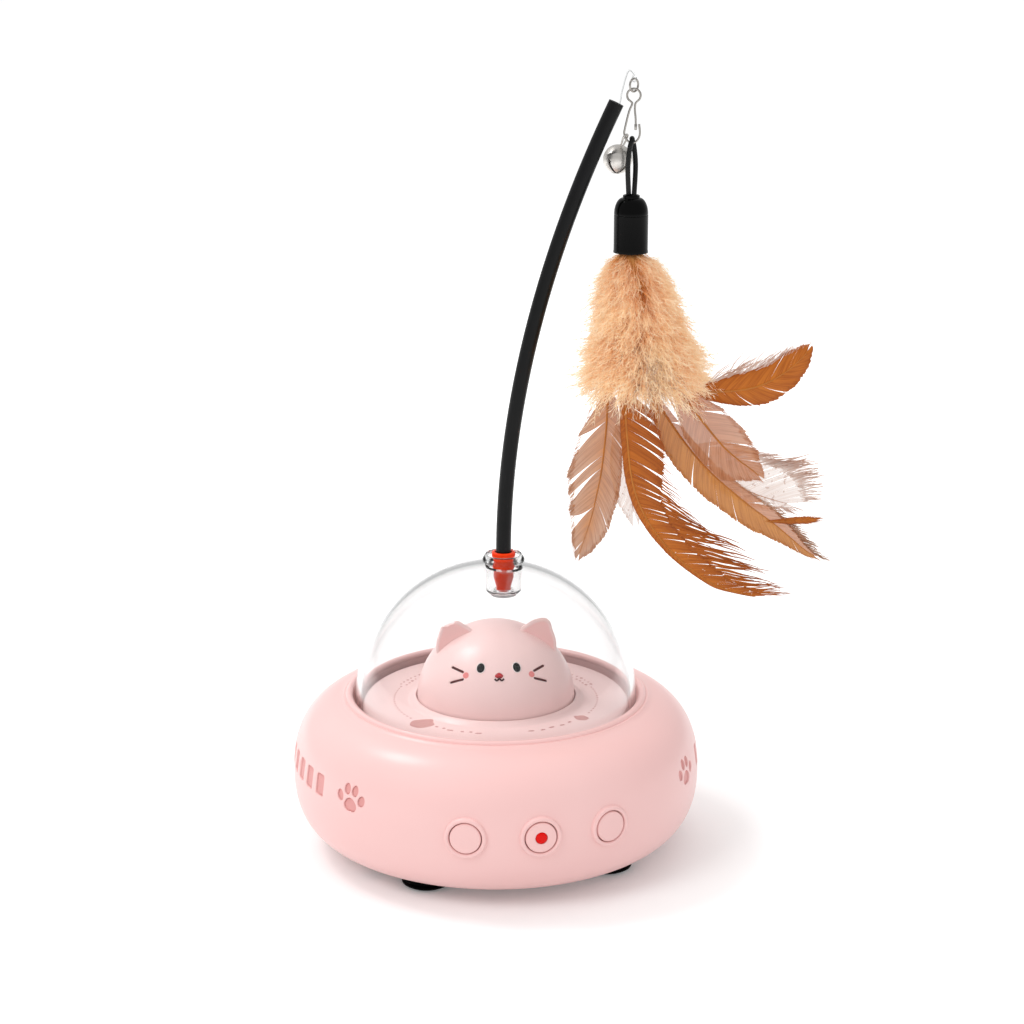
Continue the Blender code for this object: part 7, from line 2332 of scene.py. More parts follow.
    def cut_bell(self, ball: bmesh.types.BMesh, tools: bmesh.types.BMesh) -> bpy.types.Mesh:
        """Cuts the slots out of the hollow ball, one at a time.

        Args:
            ball: The ball with its hollow, whose faces point the right way.
            tools: The two slots.

        Returns:
            The cut ball.
        """
        mesh = bpy.data.meshes.new("ball")
        ball.to_mesh(mesh)
        ball.free()
        bmesh.ops.recalc_face_normals(tools, faces=tools.faces)
        tool_mesh = bpy.data.meshes.new("slots")
        tools.to_mesh(tool_mesh)
        tools.free()
        objects = [bpy.data.objects.new("ball", mesh), bpy.data.objects.new("slots", tool_mesh)]
        for obj in objects:
            bpy.context.scene.collection.objects.link(obj)
        modifier = objects[0].modifiers.new("slots", "BOOLEAN")
        modifier.operation = "DIFFERENCE"
        modifier.solver = "EXACT"
        modifier.use_self = True
        modifier.object = objects[1]
        graph = bpy.context.evaluated_depsgraph_get()
        result = bpy.data.meshes.new_from_object(objects[0].evaluated_get(graph))
        for obj in objects:
            bpy.data.objects.remove(obj)
        return result


@dataclass(frozen=True)
class VaneSide:
    """One side of a feather. Its rows of sizes are in millimetres and run evenly from the root to the tip.

    Its barbs cling together in locks that part towards the edge, and go on beyond it as loose barbs.
    """

    finish: Plumage
    closed: tuple[float, ...]
    loose: tuple[float, ...] = (0.7, 0.7)
    loose_finish: Plumage | None = None
    lock: float = 16.0
    gape: float = 0.08
    spacing: float = 0.26
    thick: float = 0.14
    stray: float = 0.10


@dataclass(frozen=True)
class Feather:
    """One feather of the lure: its shaft from root to tip as X, Z and Y in millimetres, and its two sides."""

    name: str
    slot: str
    shaft: tuple[tuple[float, float, float], ...]
    upper: VaneSide
    under: VaneSide
    lean: float = 46.0
    quill: float = 0.40
    node: bool = True


@dataclass
class Spine:
    """A feather's shaft line, along which its barbs are placed. A place on it is a share of its length."""

    route: list[Vector]

    def __post_init__(self) -> None:
        """Measures the line."""
        steps = [(b - a).length for a, b in zip(self.route, self.route[1:])]
        self.marks = np.concatenate(([0.0], np.cumsum(steps)))
        self.length = float(self.marks[-1])

    def at(self, t: float) -> Vector:
        """The point at a share of the length."""
        way = min(max(t, 0.0), 1.0) * self.length
        return Vector([float(np.interp(way, self.marks, [p[axis] for p in self.route])) for axis in range(3)])

    def barb_point(self, t: float, s: float, side: int, reach: float, lean: float) -> Vector:
        """A point on a barb.

        Args:
            t: Where the barb leaves the shaft.
            s: How far along the barb.
            side: 1 for the upper side, -1 for the lower.
            reach: The barb's length.
            lean: Its angle to the shaft at the root.

        Returns:
            The point.
        """
        forward = (self.at(t + 0.02) - self.at(t - 0.02)).normalized()
        flat = forward.cross(Vector((0, 1, 0))).normalized() * side
        angle = lean * (1 - 0.78 * t**3)
        across = flat * (reach * math.sin(angle) * s)
        spot = self.at(t) + across + forward * (reach * math.cos(angle) * (0.75 * s + 0.25 * s * s))
        spot.y += 0.11 * reach * s * s + 0.5 * MM * s * noise.noise(Vector((t * self.length / (5 * MM), s * 1.5, side)))
        return spot


@dataclass
class Lure:
    """What hangs from the clip: the elastic loop, the ferrule, the down and the seven feathers."""

    x: float = 47.77 * MM
    hook_z: float = 255.07 * MM
    cord_radius: float = 0.9 * MM
    over: float = 1.575 * MM
    seat: float = 0.975 * MM
    loop_foot_z: float = 233.0 * MM
    nose_z: float = 236.0 * MM
    nose_radius: float = 3.0 * MM
    body_radius: float = 6.05 * MM
    dome_height: float = 5.8 * MM
    ferrule_low_z: float = 216.8 * MM
    ferrule_hole: float = 2.2 * MM
    ferrule_wall: float = 0.8 * MM
    fluff_top_z: float = 216.5 * MM
    fluff_length: float = 60.0 * MM
    fluff_width: float = 23.6 * MM
    fluff_lean: float = 8.0 * MM
    span: float = 70.0 * MM
    rows: tuple[Point, ...] = (
        (0.0, 0.29),
        (0.06, 0.44),
        (0.24, 0.63),
        (0.5, 0.775),
        (0.76, 1.0),
        (0.88, 0.99),
        (0.95, 0.86),
        (0.99, 0.62),
        (1.0, 0.43),
    )
    feathers: tuple[Feather, ...] = (
        Feather(
            "feather_1",
            "feather",
            ((71, 167.5, -5), (79, 167.4, -4.5), (89.3, 168.3, -4), (96.6, 170.5, -3.5), (103.8, 174.7, -3))
            + ((109.5, 179.9, -2.5), (111, 181.9, -2)),
            VaneSide(BURNT_ORANGE, (5, 9, 11.5, 12, 9, 3.5), (12, 11, 8, 4, 1.5, 0.8), BROWN_TIPPED, stray=0.16, thick=0.26),
            VaneSide(BURNT_ORANGE, (4, 8.5, 10.5, 10, 7.5, 3)),
            lean=42.0,
        ),
        Feather(
            "feather_2",
            "pale_feather",
            ((63.9, 171, -9), (69.7, 162.8, -9.5), (80.1, 149.9, -10), (86.1, 144.3, -10), (92, 139.8, -9.8), (94, 138, -9.6)),
            VaneSide(ROSY, (4, 12, 14, 13.5, 8, 3), (1.0, 0.8), lock=13.0, gape=0.30),
            VaneSide(ROSY, (4, 12, 13.5, 13.5, 8.5, 3), (0.6, 1.4)),
            quill=0.5,
        ),
        Feather(
            "feather_3",
            "pale_feather",
            ((72.9, 144.8, 10.5), (83.7, 132.4, 11), (93.6, 126.2, 11.5), (103.5, 122.7, 12), (107, 121.8, 12)),
            VaneSide(BLUSH, (8, 18, 20, 17, 8), (4, 9, 12, 10, 6), BROWN_TIPPED, lock=4.0, gape=0.5, stray=0.06, thick=0.4),
            VaneSide(BLUSH, (3, 5, 6, 5, 4), (1, 2, 2, 4, 6), BROWN_TIPPED, lock=4.0, gape=0.5, stray=0.1, thick=0.24),
            lean=58.0,
            quill=0.25,
        ),
        Feather(
            "feather_4",
            "feather",
            ((55.4, 167.6, -3.5), (59.2, 161.4, -3.5), (67.4, 149.2, -3.5), (77.2, 137.7, -3.5), (90.1, 126.4, -3.5), (101.3, 117.9, -3.5))
            + ((111.4, 109.2, -3.5), (115.6, 106.4, -3.5)),
            VaneSide(ROSY, (2, 4, 5, 6, 8, 6, 3), (0.6, 0.6, 0.8, 1.2, 4, 7, 5), DUSKY, gape=0.25, stray=0.14, thick=0.22),
            VaneSide(TAN, (5, 11, 12, 12, 12, 10.5, 7, 2.5), (2.5, 1.0, 1.0, 2.0)),
            lean=43.0,
            quill=0.5,
        ),
        Feather(
            "feather_4_tuft",
            "feather",
            ((97.5, 119.4, -4), (104, 119.4, -4), (111, 119.7, -4), (116, 119.9, -4)),
            VaneSide(BURNT_ORANGE, (0.5, 2.6, 3.4, 2.4), (0.5, 2.0)),
            VaneSide(BURNT_ORANGE, (0.5, 2.6, 3.2, 2.4), (0.5, 2.0)),
            lean=28.0,
            quill=0.16,
            node=False,
        ),
        Feather(
            "feather_5",
            "feather",
            ((45.8, 169.4, -9), (47, 151.4, -9.5), (49.2, 135, -10.5), (54.3, 122.3, -11), (64, 109.6, -11.5))
            + ((76.5, 99.4, -12), (85, 95.8, -12.5), (93.5, 93.9, -13)),
            VaneSide(
                SPECKLED_ORANGE,
                (13, 17, 15, 11, 9.5, 10, 10, 8, 4),
                (1, 2, 9, 21, 26, 25, 21, 16, 11),
                lock=4.2,
                gape=0.40,
                spacing=0.95,
                thick=0.52,
                stray=0.035,
            ),
            VaneSide(BURNT_ORANGE, (2.2, 2.8, 3.0, 3.0, 2.8, 2.4, 2.0, 1.4), (0.3, 0.3), lock=40.0, gape=0.0),
            lean=52.0,
        ),
        Feather(
            "feather_6",
            "pale_feather",
            ((40.5, 168.7, -2), (39.7, 152.7, -2.5), (38.2, 138.5, -3.5), (36.4, 128.8, -4), (34.3, 119.8, -4.5))
            + ((30.4, 107.6, -5),),
            VaneSide(HORN, (4, 9, 11, 12.5, 13, 10, 3), (0.5, 1.0), gape=0.05),
            VaneSide(HORN, (8, 16, 19, 16, 13, 9, 3), (1.2, 1.6), lock=8.0, gape=0.85),
            lean=42.0,
        ),
        Feather(
            "feather_7",
            "pale_feather",
            ((46.6, 156.4, 8), (47.1, 145.5, 9), (49.2, 129.6, 10), (50.3, 121, 11), (50.6, 119, 11)),
            VaneSide(BLUSH, (4, 8, 9, 6), (1.0, 1.4)),
            VaneSide(BLUSH, (4, 9, 10, 6), (1.0, 1.4)),
            quill=0.3,
        ),
    )

    def build(self) -> None:
        """Makes the loop, the ferrule, the down and the feathers."""
        self.build_loop()
        self.build_ferrule()
        self.build_down()
        for number, feather in enumerate(self.feathers):
            self.build_feather(feather, random.Random(70 + number))

    def build_loop(self) -> None:
        """The elastic cord: up from the ferrule, over the hook from the front and down again."""
        rise = self.hook_z - (self.loop_foot_z + 4 * MM)
        foot = self.loop_foot_z
        left = [
            Vector((self.x - self.seat, 0, foot)),
            Vector((self.x - self.seat, 0, foot + 4 * MM)),
            Vector((self.x - 1.4 * MM, -0.8 * self.over, foot + 4 * MM + 0.55 * rise)),
            Vector((self.x - 0.77 * MM, -1.05 * self.over, self.hook_z - 0.8 * self.over)),
            Vector((self.x, -0.78 * self.over, self.hook_z + 0.62 * self.over)),
        ]
        right = [Vector((2 * self.x - p.x, -p.y, p.z)) for p in reversed(left)]
        route = smooth_route([*left, Vector((self.x, 0, self.hook_z + self.over)), *right], 10)
        bm = tube(route, self.cord_radius, 24)
        put("elastic_cord", bm, ELASTIC_COVER, Body.LURE, ["elastic_loop"])

    def build_ferrule(self) -> None:
        """The ferrule: a domed cap, and the sleeve below it with a moulding line and a tiny flare."""
        cap = [(self.ferrule_hole, self.nose_z - 4.5 * MM), (self.ferrule_hole, self.nose_z + 0.7 * MM)]
        for i in range(1, 6):
            angle = math.pi / 2 * i / 5
            cap.append((self.nose_radius - 0.35 * MM + 0.35 * MM * math.sin(angle), self.nose_z + 0.65 * MM + 0.35 * MM * math.cos(angle)))
        low = self.nose_z - self.dome_height
        for i in range(21):
            angle = math.pi / 2 * i / 20
            spread = (self.body_radius - self.nose_radius) * math.sin(angle)
            cap.append((self.nose_radius + spread, low + self.dome_height * math.cos(angle)))
        split = low - 0.15 * MM
        cap += [(self.body_radius - 0.1 * MM, split), (self.body_radius - self.ferrule_wall, split)]
        cap += [(self.body_radius - self.ferrule_wall, self.nose_z - 4.5 * MM)]
        put("ferrule_cap", turned(cap, 96, closed=True, x=self.x), BLACK_GLOSS, Body.LURE, ["ferrule"])
        top = split - 0.03 * MM
        sleeve = [
            (self.body_radius - 0.12 * MM, top),
            (self.body_radius, top - 0.12 * MM),
            (self.body_radius, self.ferrule_low_z + 1.0 * MM),
            (self.body_radius + 0.14 * MM, self.ferrule_low_z + 0.35 * MM),
            (self.body_radius + 0.10 * MM, self.ferrule_low_z),
            (self.body_radius - self.ferrule_wall, self.ferrule_low_z),
            (self.body_radius - self.ferrule_wall, top),
        ]
        bm = turned(sleeve, 120, closed=True, x=self.x)
        middle = Vector((self.x, 0, 0))
        for vert in bm.verts:
            offset = (vert.co - middle).to_2d()
            azimuth = math.atan2(offset.x, -offset.y)
            ridge = 0.07 * MM * math.exp(-(((azimuth + 0.45) / 0.035) ** 2))
            if offset.length > self.body_radius - 0.2 * MM:
                vert.co.x += offset.x / offset.length * ridge
                vert.co.y += offset.y / offset.length * ridge
        put("ferrule_sleeve", bm, BLACK_SATIN, Body.LURE)

    def fluff_radius(self, share: float) -> float:
        """The down's outer radius at a share of its length."""
        for (s0, r0), (s1, r1) in zip(self.rows, self.rows[1:]):
            if share <= s1:
                t = (share - s0) / (s1 - s0)
                return self.fluff_width * (r0 + (r1 - r0) * t)
        return 0.0

    def fluff_point(self, share: float, azimuth: float, part: float) -> Vector:
        """A point in the down.

        Args:
            share: How far down.
            azimuth: Which way round.
            part: 0 on its middle line, 1 on its outside.

        Returns:
            The point.
        """
        radius = self.fluff_radius(share) * part
        middle_x = self.x + self.fluff_lean * share
        z = self.fluff_top_z - self.fluff_length * share
        return Vector((middle_x + radius * math.sin(azimuth), -radius * math.cos(azimuth), z))

    def plume(self, seed: int, length: float, hairs: int) -> bmesh.types.BMesh:
        """A wisp of down: a thin wavy stem along Z with fine hairs on both sides.

        Args:
            seed: For its waves.
            length: Its length.
            hairs: How many hairs it has.

        Returns:
            Its mesh.
        """
        rng = random.Random(seed)
        bm = bmesh.new()
        along = bm.verts.layers.float.new("along")
        phase, sway = rng.uniform(0, math.tau), rng.uniform(0.04, 0.10)

        def stem(t: float) -> Vector:
            """The stem's middle line."""
            wave = sway * length * t
            return Vector((wave * math.sin(7 * t + phase), wave * math.cos(5 * t + phase), t * length))

        def strip(points: list[Vector], width: float, start: float, end: float, face: Vector) -> None:
            """A flat strip along points that narrows to its tip."""
            rows = []
            for i, point in enumerate(points):
                share = i / (len(points) - 1)
                half = width / 2 * (1 - 0.85 * share)
                before, after = points[max(i - 1, 0)], points[min(i + 1, len(points) - 1)]
                side = (after - before).cross(face).normalized() * half
                row = [bm.verts.new(point - side), bm.verts.new(point + side)]
                for vert in row:
                    vert[along] = start + (end - start) * share
                rows.append(row)
            for low, high in zip(rows, rows[1:]):
                bm.faces.new((low[0], low[1], high[1], high[0]))

        spine = [stem(i / 7) for i in range(8)]
        strip(spine, 0.52 * MM, 0.0, 1.0, Vector((0.3, 1, 0)))
        for i in range(hairs):
            t = 0.10 + 0.88 * (i + rng.random()) / hairs
            side = 1 if i % 2 else -1
            lean = rng.uniform(0.9, 1.8)
            turn = rng.uniform(-0.9, 0.9)
            way = Vector((side * math.cos(turn), math.sin(turn), lean)).normalized()
            reach = length * rng.uniform(0.12, 0.24) * (1 - 0.5 * t)
            root = stem(t)
            middle = root + way * reach * 0.55
            end = root + way * reach + Vector((0, 0, 0.25 * reach))
            strip([root, middle, end], 0.20 * MM, t, min(1.0, t + 0.25), Vector((0, 1, 0.2)))
        return bm

    def build_down(self) -> None:
        """The down: a dark core, in part painted shade, that shows where the wisps part, and layers of wisps over it.
        """
        core = []
        for i in range(33):
            share = i / 32
            core.append((max(0.0, self.fluff_radius(min(share, 0.99)) * 0.50), share))
        bm = bmesh.new()
        rings = []
        for radius, share in core:
            around = []
            for k in range(64):
                azimuth = math.tau * k / 64
                spot = self.fluff_point(share * 0.78, azimuth, 1.0)
                middle = self.fluff_point(share * 0.78, 0, 0.0)
                away = (spot - middle).normalized()
                rough = 1 + 0.22 * noise.noise(Vector((azimuth * 3, share * 12, 3.0)))
                around.append(bm.verts.new(middle + away * max(radius * rough, 0.2 * MM)))
            rings.append(around)
        for low, high in zip(rings, rings[1:]):
            bridge(bm, low, high)
        bm.faces.new(rings[0])
        bm.faces.new(rings[-1])
        put("down_core", bm, DOWN_CORE_AND_SHADE, Body.LURE, sharp=180)
        rng = random.Random(11)
        layers = (
            ("down_under", 2300, 0.30, 14.0, DOWN),
            ("down_middle", 2300, 0.44, 13.0, DOWN),
            ("down_outer", 2500, 0.60, 12.0, DOWN),
            ("down_flecks", 90, 0.66, 9.0, GREY_DOWN),
        )
        for number, (name, count, part, length, finish) in enumerate(layers):
            wisps = Copies()
            for _ in range(count):
                share = rng.random() ** 0.9 * 0.75
                azimuth = rng.uniform(-math.pi, math.pi)
                if finish is GREY_DOWN:
                    share, azimuth = rng.uniform(0.50, 0.76), rng.gauss(0.15, 0.22)
                aside = azimuth - self.parting(share)
                if number and abs(aside) < 0.5 * (0.36 - share) and rng.random() < 0.5:
                    continue
                root = self.fluff_point(share, azimuth, part * rng.uniform(0.75, 1.1))
                reach = share + rng.uniform(0.02, 0.15)
                tuft = 1.02 + 0.16 * noise.noise(Vector((azimuth * 2.6, share * 7, number)))
                if rng.random() < 0.16:
                    tuft *= rng.uniform(1.05, 1.22)
                opening = 0.30 * math.exp(-abs(aside) * 2.2) * max(0.0, 1 - 1.9 * share)
                sweep = math.copysign(opening, aside) + rng.uniform(-0.25, 0.25)
                tip = self.fluff_point(reach, azimuth + sweep, tuft * rng.uniform(0.88, 1.0))
                tip.z -= max(0.0, share - 0.60) * rng.random() ** 4 * 1.2 * self.fluff_length
                way = tip - root
                size = way.length / (length * MM)
                turn = way.to_track_quat("Z", "X").to_matrix() @ Matrix.Rotation(rng.uniform(0, math.tau), 3, "Z")
                # Painted shade: wisps near the parting, towards the top, are darkened where the down opens onto its
                # inside
                tone = 0.5 * noise.noise(Vector((azimuth * 1.5, share * 5, 5.0))) + rng.uniform(-0.30, 0.32)
                tone += 0.22 * share - 0.04 - 0.9 * math.exp(-((aside / 0.34) ** 2)) * max(0.0, 0.48 - share)
                wide = min(max(size, 0.75), 1.3)
                wisps.add(root, turn, (wide, wide, size), rng.randrange(3), tone + 0.06 * number)
            shapes = [self.plume(20 + 3 * number + k, length * MM, 12) for k in range(3)]
            mesh = wisps.grown(shapes, finish, seed=5 + number, spread=0.08)
            stands_for = ["fluff"] if number == 0 else []
            put(name, mesh, finish, Body.LURE, stands_for, sharp=180)

    def parting(self, share: float) -> float:
        """The azimuth at which the down parts, at a share of its length."""
        return 0.12 + 0.10 * math.sin(9 * share)

    def barb(self, seed: int, width: float) -> bmesh.types.BMesh:
        """One loose barb of unit length along X, a flat strip that bends to +Y and narrows to its tip.

        Args:
            seed: For its waves.
            width: Its width as a share of its length.

        Returns:
            Its mesh.
        """
        rng = random.Random(seed)
        bm = bmesh.new()
        along = bm.verts.layers.float.new("along")
        phase, bend = rng.uniform(0, math.tau), rng.uniform(0.02, 0.16)
        rows = []
        for i in range(8):
            t = i / 7
            middle = Vector((t - 0.05 * t * t, bend * t * t + 0.012 * math.sin(8 * t + phase), 0.02 * math.cos(5 * t + phase)))
            half = Vector((0, width / 2 * (1 - 0.8 * t**1.6), 0))
            row = [bm.verts.new(middle - half), bm.verts.new(middle + half)]
            for vert in row:
                vert[along] = t
            rows.append(row)
        for low, high in zip(rows, rows[1:]):
            bm.faces.new((low[0], high[0], high[1], low[1]))
        return bm

    def closed_vane(
        self, spine: Spine, vane: VaneSide, side: int, lean: float, rng: random.Random
    ) -> bmesh.types.BMesh:
        """The closed part of one side: locks of barbs that part towards the edge.

        Args:
            spine: The shaft's line.
            vane: The side's sizes.
            side: 1 for the upper side, -1 for the lower.
            lean: The barbs' angle to the shaft.
            rng: For the partings.

        Returns:
            Its mesh, with how far along the barb and the shaft each point lies and how light it is.
        """
        bm = bmesh.new()
        along, tone, station = (bm.verts.layers.float.new(name) for name in ("along", "tone", "station"))
        stations = np.linspace(0, 1, len(vane.closed))
        steps = 10
        start = 0.01
        while start < 1.0:
            end = start + vane.lock * MM * rng.uniform(0.4, 1.8) / spine.length
            if end > 1 - 0.4 * vane.lock * MM / spine.length:
                end = 1.0
            count = max(2, round((end - start) * spine.length / (0.42 * MM)))
            gape = vane.gape * rng.uniform(0.25, 1.0) * (1.25 - start)
            shade = rng.uniform(-0.12, 0.12)
            columns = []
            for c in range(count + 1):
                q = c / count
                t = start + (end - start) * q
                reach = float(np.interp(t, stations, vane.closed)) * MM
                reach *= (1 - 0.22 * gape * abs(2 * q - 1) ** 3) * (1 + rng.gauss(0, 0.022))
                column = []
                for k in range(steps + 1):
                    s = k / steps
                    drawn = t + ((start + end) / 2 - t) * gape * s * s * 0.8
                    vert = bm.verts.new(spine.barb_point(drawn, s, side, reach, lean))
                    vert[along], vert[station] = s, t * spine.length
                    vert[tone] = shade + 0.3 * noise.noise(Vector((t * spine.length / (9 * MM), s * 1.2, side * 4.0)))
                    column.append(vert)
                columns.append(column)
            for one, other in zip(columns, columns[1:]):
                for k in range(steps):
                    bm.faces.new((one[k], other[k], other[k + 1], one[k + 1]))
            start = end
        return bm

    def loose_barbs(
        self, spine: Spine, vane: VaneSide, side: int, lean: float, rng: random.Random
    ) -> bpy.types.Mesh:
        """The loose barbs that go on beyond one side's closed part, with the same arguments."""
        barbs = Copies()
        stations = np.linspace(0, 1, len(vane.closed))
        reaches = np.linspace(0, 1, len(vane.loose))
        count = int(spine.length / (vane.spacing * MM))
        for i in range(count):
            t = 0.02 + 0.98 * (i + rng.random() * 0.8) / count
            reach = float(np.interp(t, stations, vane.closed)) * MM
            length = float(np.interp(t, reaches, vane.loose)) * MM * rng.uniform(0.55, 1.1)
            share = rng.uniform(0.80, 0.97)
            root = spine.barb_point(t, share, side, reach, lean)
            way = (spine.barb_point(t, share + 0.1, side, reach, lean) - root).normalized()
            forward = (spine.at(t + 0.02) - spine.at(t - 0.02)).normalized()
            stray = Vector([rng.gauss(0, vane.stray) for _ in range(3)])
            way = (way + stray).normalized()
            up = way.cross(forward).normalized()
            across = up.cross(way)
            turn = Matrix((way, across, up)).transposed()
            length += reach * (0.97 - share)
            barbs.add(root, turn, (length, length, length), rng.randrange(3), rng.uniform(-0.15, 0.15))
        width = vane.thick / (sum(vane.loose) / len(vane.loose) + 0.1 * sum(vane.closed) / len(vane.closed))
        shapes = [self.barb(rng.randrange(999), width) for _ in range(3)]
        finish = vane.loose_finish or vane.finish
        return barbs.grown(shapes, finish, seed=rng.randrange(99), spread=0.1)

    def build_feather(self, feather: Feather, rng: random.Random) -> None:
        """One feather: a tapered shaft, and on both sides a closed vane that ends in loose barbs.

        Args:
            feather: Its sizes.
            rng: For its random parts.
        """
        points = [Vector((x, y, z)) * MM for x, z, y in feather.shaft]
        spine = Spine(smooth_route(points, 10))
        taper = [1.0 - 0.8 * i / (len(spine.route) - 1) for i in range(len(spine.route))]
        front = [p + Vector((0, -0.12 * MM, 0)) for p in spine.route]
        put(f"{feather.name}_shaft", tube(front, feather.quill * MM, 8, taper=taper), QUILL, Body.LURE)
        lean = math.radians(feather.lean)
        for side, vane, label in ((1, feather.upper, "upper"), (-1, feather.under, "lower")):
            sheet = self.closed_vane(spine, vane, side, lean, rng)
            stands_for = [feather.name] if feather.node and side > 0 else []
            name = f"{feather.name}_{label}"
            put(f"{name}_vane", sheet, vane.finish, Body.LURE, stands_for, sharp=180)
            barbs = self.loose_barbs(spine, vane, side, lean, rng)
            put(f"{name}_barbs", barbs, vane.loose_finish or vane.finish, Body.LURE, sharp=180)


@dataclass
class InnerWorks:
    """The finishes of what the frame carries over: screws, boards, motor, gears, cell and pellet."""

    finishes: dict[str, Finish] = field(
        default_factory=lambda: {
            "base_screw_1": ZINC,
            "base_screw_2": ZINC,
            "base_screw_3": ZINC,
            "base_screw_4": ZINC,
            "motor_screw_1": ZINC,
            "motor_screw_2": ZINC,
            "head_screw_1": ZINC,
            "head_screw_2": ZINC,
            "head_screw_3": ZINC,
            "spindle": ZINC,
            "spindle_nut": ZINC,
            "usb_socket": ZINC,
            "motor_can": ZINC,
            "bell_pellet": DULL_STEEL,
            "spindle_bush": ACETAL,
            "gearbox_case": ACETAL,
            "motor_pinion": ACETAL,
            "drive_gear": ACETAL,
            "main_board": SOLDER_MASK,
            "charge_board": SOLDER_MASK,
            "left_switch": BLACK_SATIN,
            "power_switch": BLACK_SATIN,
            "right_switch": BLACK_SATIN,
            "indicator_led": RED_ACRYLIC,
            "battery_cell": SHRINK_WRAP,
        }
    )

    def dress(self, nodes: dict[str, bpy.types.Object]) -> None:
        """Gives each carried-over node its finish.

        Args:
            nodes: The frame's nodes by name.
        """
        for name, finish in self.finishes.items():
            nodes[name].data.materials.clear()
            nodes[name].data.materials.append(finish.material())
            log.info("%s: %s", name, finish.name)


@dataclass
class Feet:
    """The four rubber feet under the base plate."""

    circle: float = 50.2 * MM
    azimuths: tuple[float, ...] = (41.5, 138.5, 221.5, 318.5)
    shape: tuple[Point, ...] = (
        (0.0, -0.3),
        (9.4, -0.3),
        (9.37, -1.2),
        (8.60, -1.5),
        (8.60, -1.9),
        (9.20, -2.2),
        (9.0, -3.1),
        (7.05, -4.2),
        (0.0, -4.2),
    )
    stem_top_z: float = 3.4 * MM

    def build(self) -> None:
        """Makes one foot and copies it to its four places."""
        profile = soften([(r * MM, z * MM) for r, z in self.shape], 0.45 * MM, 4)
        feet = Copies()
        for degrees in self.azimuths:
            angle = math.radians(degrees) + BASE_TURN
            place = Vector((self.circle * math.sin(angle), -self.circle * math.cos(angle), 0))
            feet.add(place, Matrix.Rotation(angle, 3, "Z"))
        shape = turned(profile, 72)
        bmesh.ops.recalc_face_normals(shape, faces=shape.faces)
        mesh = feet.grown([shape], FOOT_RUBBER)
        names = [f"foot_{i + 1}" for i in range(len(self.azimuths))]
        put("rubber_feet", mesh, FOOT_RUBBER, Body.BASE, names, sharp=50)


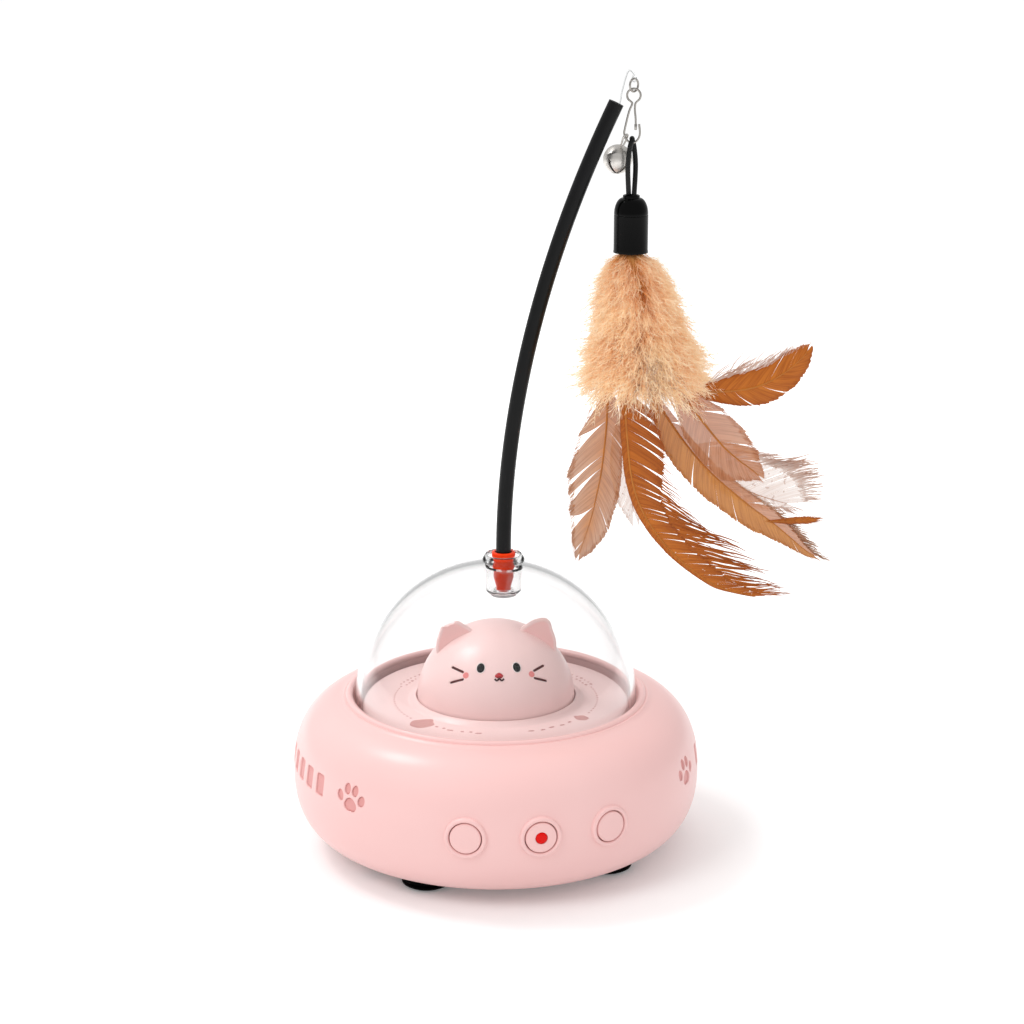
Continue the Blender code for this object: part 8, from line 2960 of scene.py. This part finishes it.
@dataclass
class Studio:
    """The pale floor, the soft lights and the camera of the photograph."""

    floor_z: float = -4.2 * MM
    floor_radius: float = 8.0
    lens: float = 85.0
    camera_place: Vector = field(default_factory=lambda: Vector((0.006, -0.844978, 0.356445)))
    camera_tilt: float = math.radians(90 - 15.519)
    near: float = 0.04
    far: float = 0.60
    near_glow: float = 0.13
    far_glow: float = 0.44
    dome_share: float = 0.04

    def build(self) -> None:
        """Lays the floor, sets the lights and places the camera."""
        scene = bpy.context.scene
        scene.view_settings.view_transform = "Standard"
        bm = bmesh.new()
        bmesh.ops.create_circle(bm, cap_ends=True, segments=96, radius=self.floor_radius)
        bmesh.ops.translate(bm, verts=bm.verts, vec=(0, 0, self.floor_z))
        mesh = bpy.data.meshes.new("studio_floor")
        bm.to_mesh(mesh)
        bm.free()
        mesh.materials.append(self.paper())
        floor = bpy.data.objects.new("studio_floor", mesh)
        scene.collection.objects.link(floor)
        floor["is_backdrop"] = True
        self.light("key_light", (-0.70, -0.70, 0.95), 0.60, 4.9)
        self.light("fill_light", (0.95, -0.55, 0.55), 1.0, 1.5)
        self.light("top_light", (0.0, 0.25, 1.25), 1.2, 2.6)
        self.light("back_light", (-0.5, 1.0, 0.8), 0.8, 2.2)
        self.light("shine_light", (-0.65, 0.18, 1.15), 0.34, 3.4, True)
        self.sky()
        camera = bpy.data.objects.new("photo_camera", bpy.data.cameras.new("photo_camera"))
        camera.data.lens = self.lens
        camera.data.sensor_width = 36.0
        camera.location = self.camera_place
        camera.rotation_euler = (self.camera_tilt, 0, 0)
        camera.data.clip_end = 50.0
        scene.collection.objects.link(camera)
        scene.camera = camera

    def paper(self) -> bpy.types.Material:
        """White paper whose open parts come out white while it keeps the toy's soft shadow."""
        made = bpy.data.materials.new("white_paper")
        made.use_nodes = True
        tree = made.node_tree
        shader = tree.nodes["Principled BSDF"]
        shader.inputs["Base Color"].default_value = linear("#f4f4f4")
        shader.inputs["Roughness"].default_value = 0.9
        shader.inputs["Specular IOR Level"].default_value = 0.1
        ray = add_node(tree, "ShaderNodeLightPath")
        seen = add_node(
            tree, "ShaderNodeMath", {0: ray.outputs["Is Camera Ray"], 1: ray.outputs["Is Glossy Ray"]}, operation="ADD"
        )
        through = add_node(
            tree, "ShaderNodeMath", {0: ray.outputs["Is Transmission Ray"], 1: self.dome_share}, operation="MULTIPLY"
        )
        seen = add_node(tree, "ShaderNodeMath", {0: seen.outputs[0], 1: through.outputs[0]}, operation="ADD")
        spot = add_node(tree, "ShaderNodeTexCoord")
        away = add_node(tree, "ShaderNodeVectorMath", {0: spot.outputs["Object"]}, operation="LENGTH")
        more = add_node(
            tree,
            "ShaderNodeMapRange",
            {
                "Value": away.outputs["Value"],
                "From Min": self.near,
                "From Max": self.far,
                "To Min": self.near_glow,
                "To Max": self.far_glow,
            },
            interpolation_type="SMOOTHSTEP",
        )
        glow = add_node(
            tree, "ShaderNodeMath", {0: seen.outputs[0], 1: more.outputs["Result"]}, operation="MULTIPLY"
        )
        tree.links.new(glow.outputs[0], shader.inputs["Emission Strength"])
        shader.inputs["Emission Color"].default_value = linear("#ffffff")
        return made

    def light(self, name: str, place: Sequence[float], size: float, power: float, mirrored: bool = False) -> None:
        """Adds a soft round light that faces the toy.

        Args:
            name: Its name.
            place: Where it hangs.
            size: Its width.
            power: Its power in watts.
            mirrored: Whether glossy surfaces mirror it.
        """
        lamp = bpy.data.objects.new(name, bpy.data.lights.new(name, "AREA"))
        lamp.data.shape = "DISK"
        lamp.data.size = size
        lamp.data.energy = power
        lamp.visible_glossy = lamp.visible_transmission = mirrored
        lamp.location = place
        aim = Vector((0.01, 0, 0.12)) - Vector(place)
        lamp.rotation_euler = aim.to_track_quat("-Z", "Y").to_euler()
        bpy.context.scene.collection.objects.link(lamp)

    def sky(self) -> None:
        """An even pale surrounding that fills the shadows."""
        world = bpy.data.worlds.new("studio")
        world.use_nodes = True
        background = world.node_tree.nodes["Background"]
        background.inputs["Color"].default_value = linear("#ffffff")
        ray = add_node(world.node_tree, "ShaderNodeLightPath").outputs["Is Camera Ray"]
        level = add_node(world.node_tree, "ShaderNodeMapRange", {"Value": ray, "To Min": 0.64, "To Max": 1.0})
        world.node_tree.links.new(level.outputs["Result"], background.inputs["Strength"])
        bpy.context.scene.world = world


def note_size(label: str) -> dict[str, list[list[float]]]:
    """Measures what is shown.

    Args:
        label: What the measure is called.

    Returns:
        The lowest and the highest corner under that label.
    """
    low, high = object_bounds()
    return {label: [list(low), list(high)]}


def main() -> None:
    """Builds the toy's sub-assemblies in order, then the studio."""
    logging.basicConfig(level=logging.INFO, format="%(name)s %(message)s")
    sizes = note_size("cad")
    InnerWorks().dress(frame["nodes"])
    base = BaseShell()
    base.build_shell()
    base.build_pictures()
    base.build_plate()
    Feet().build()
    PushButtons().build()
    Turntable().build()
    ClearDome().build()
    CatHead().build()
    Rod().build()
    TipHardware().build()
    Lure().build()
    Studio().build()
    sizes |= note_size("visual")


if __name__ == "__main__":
    main()
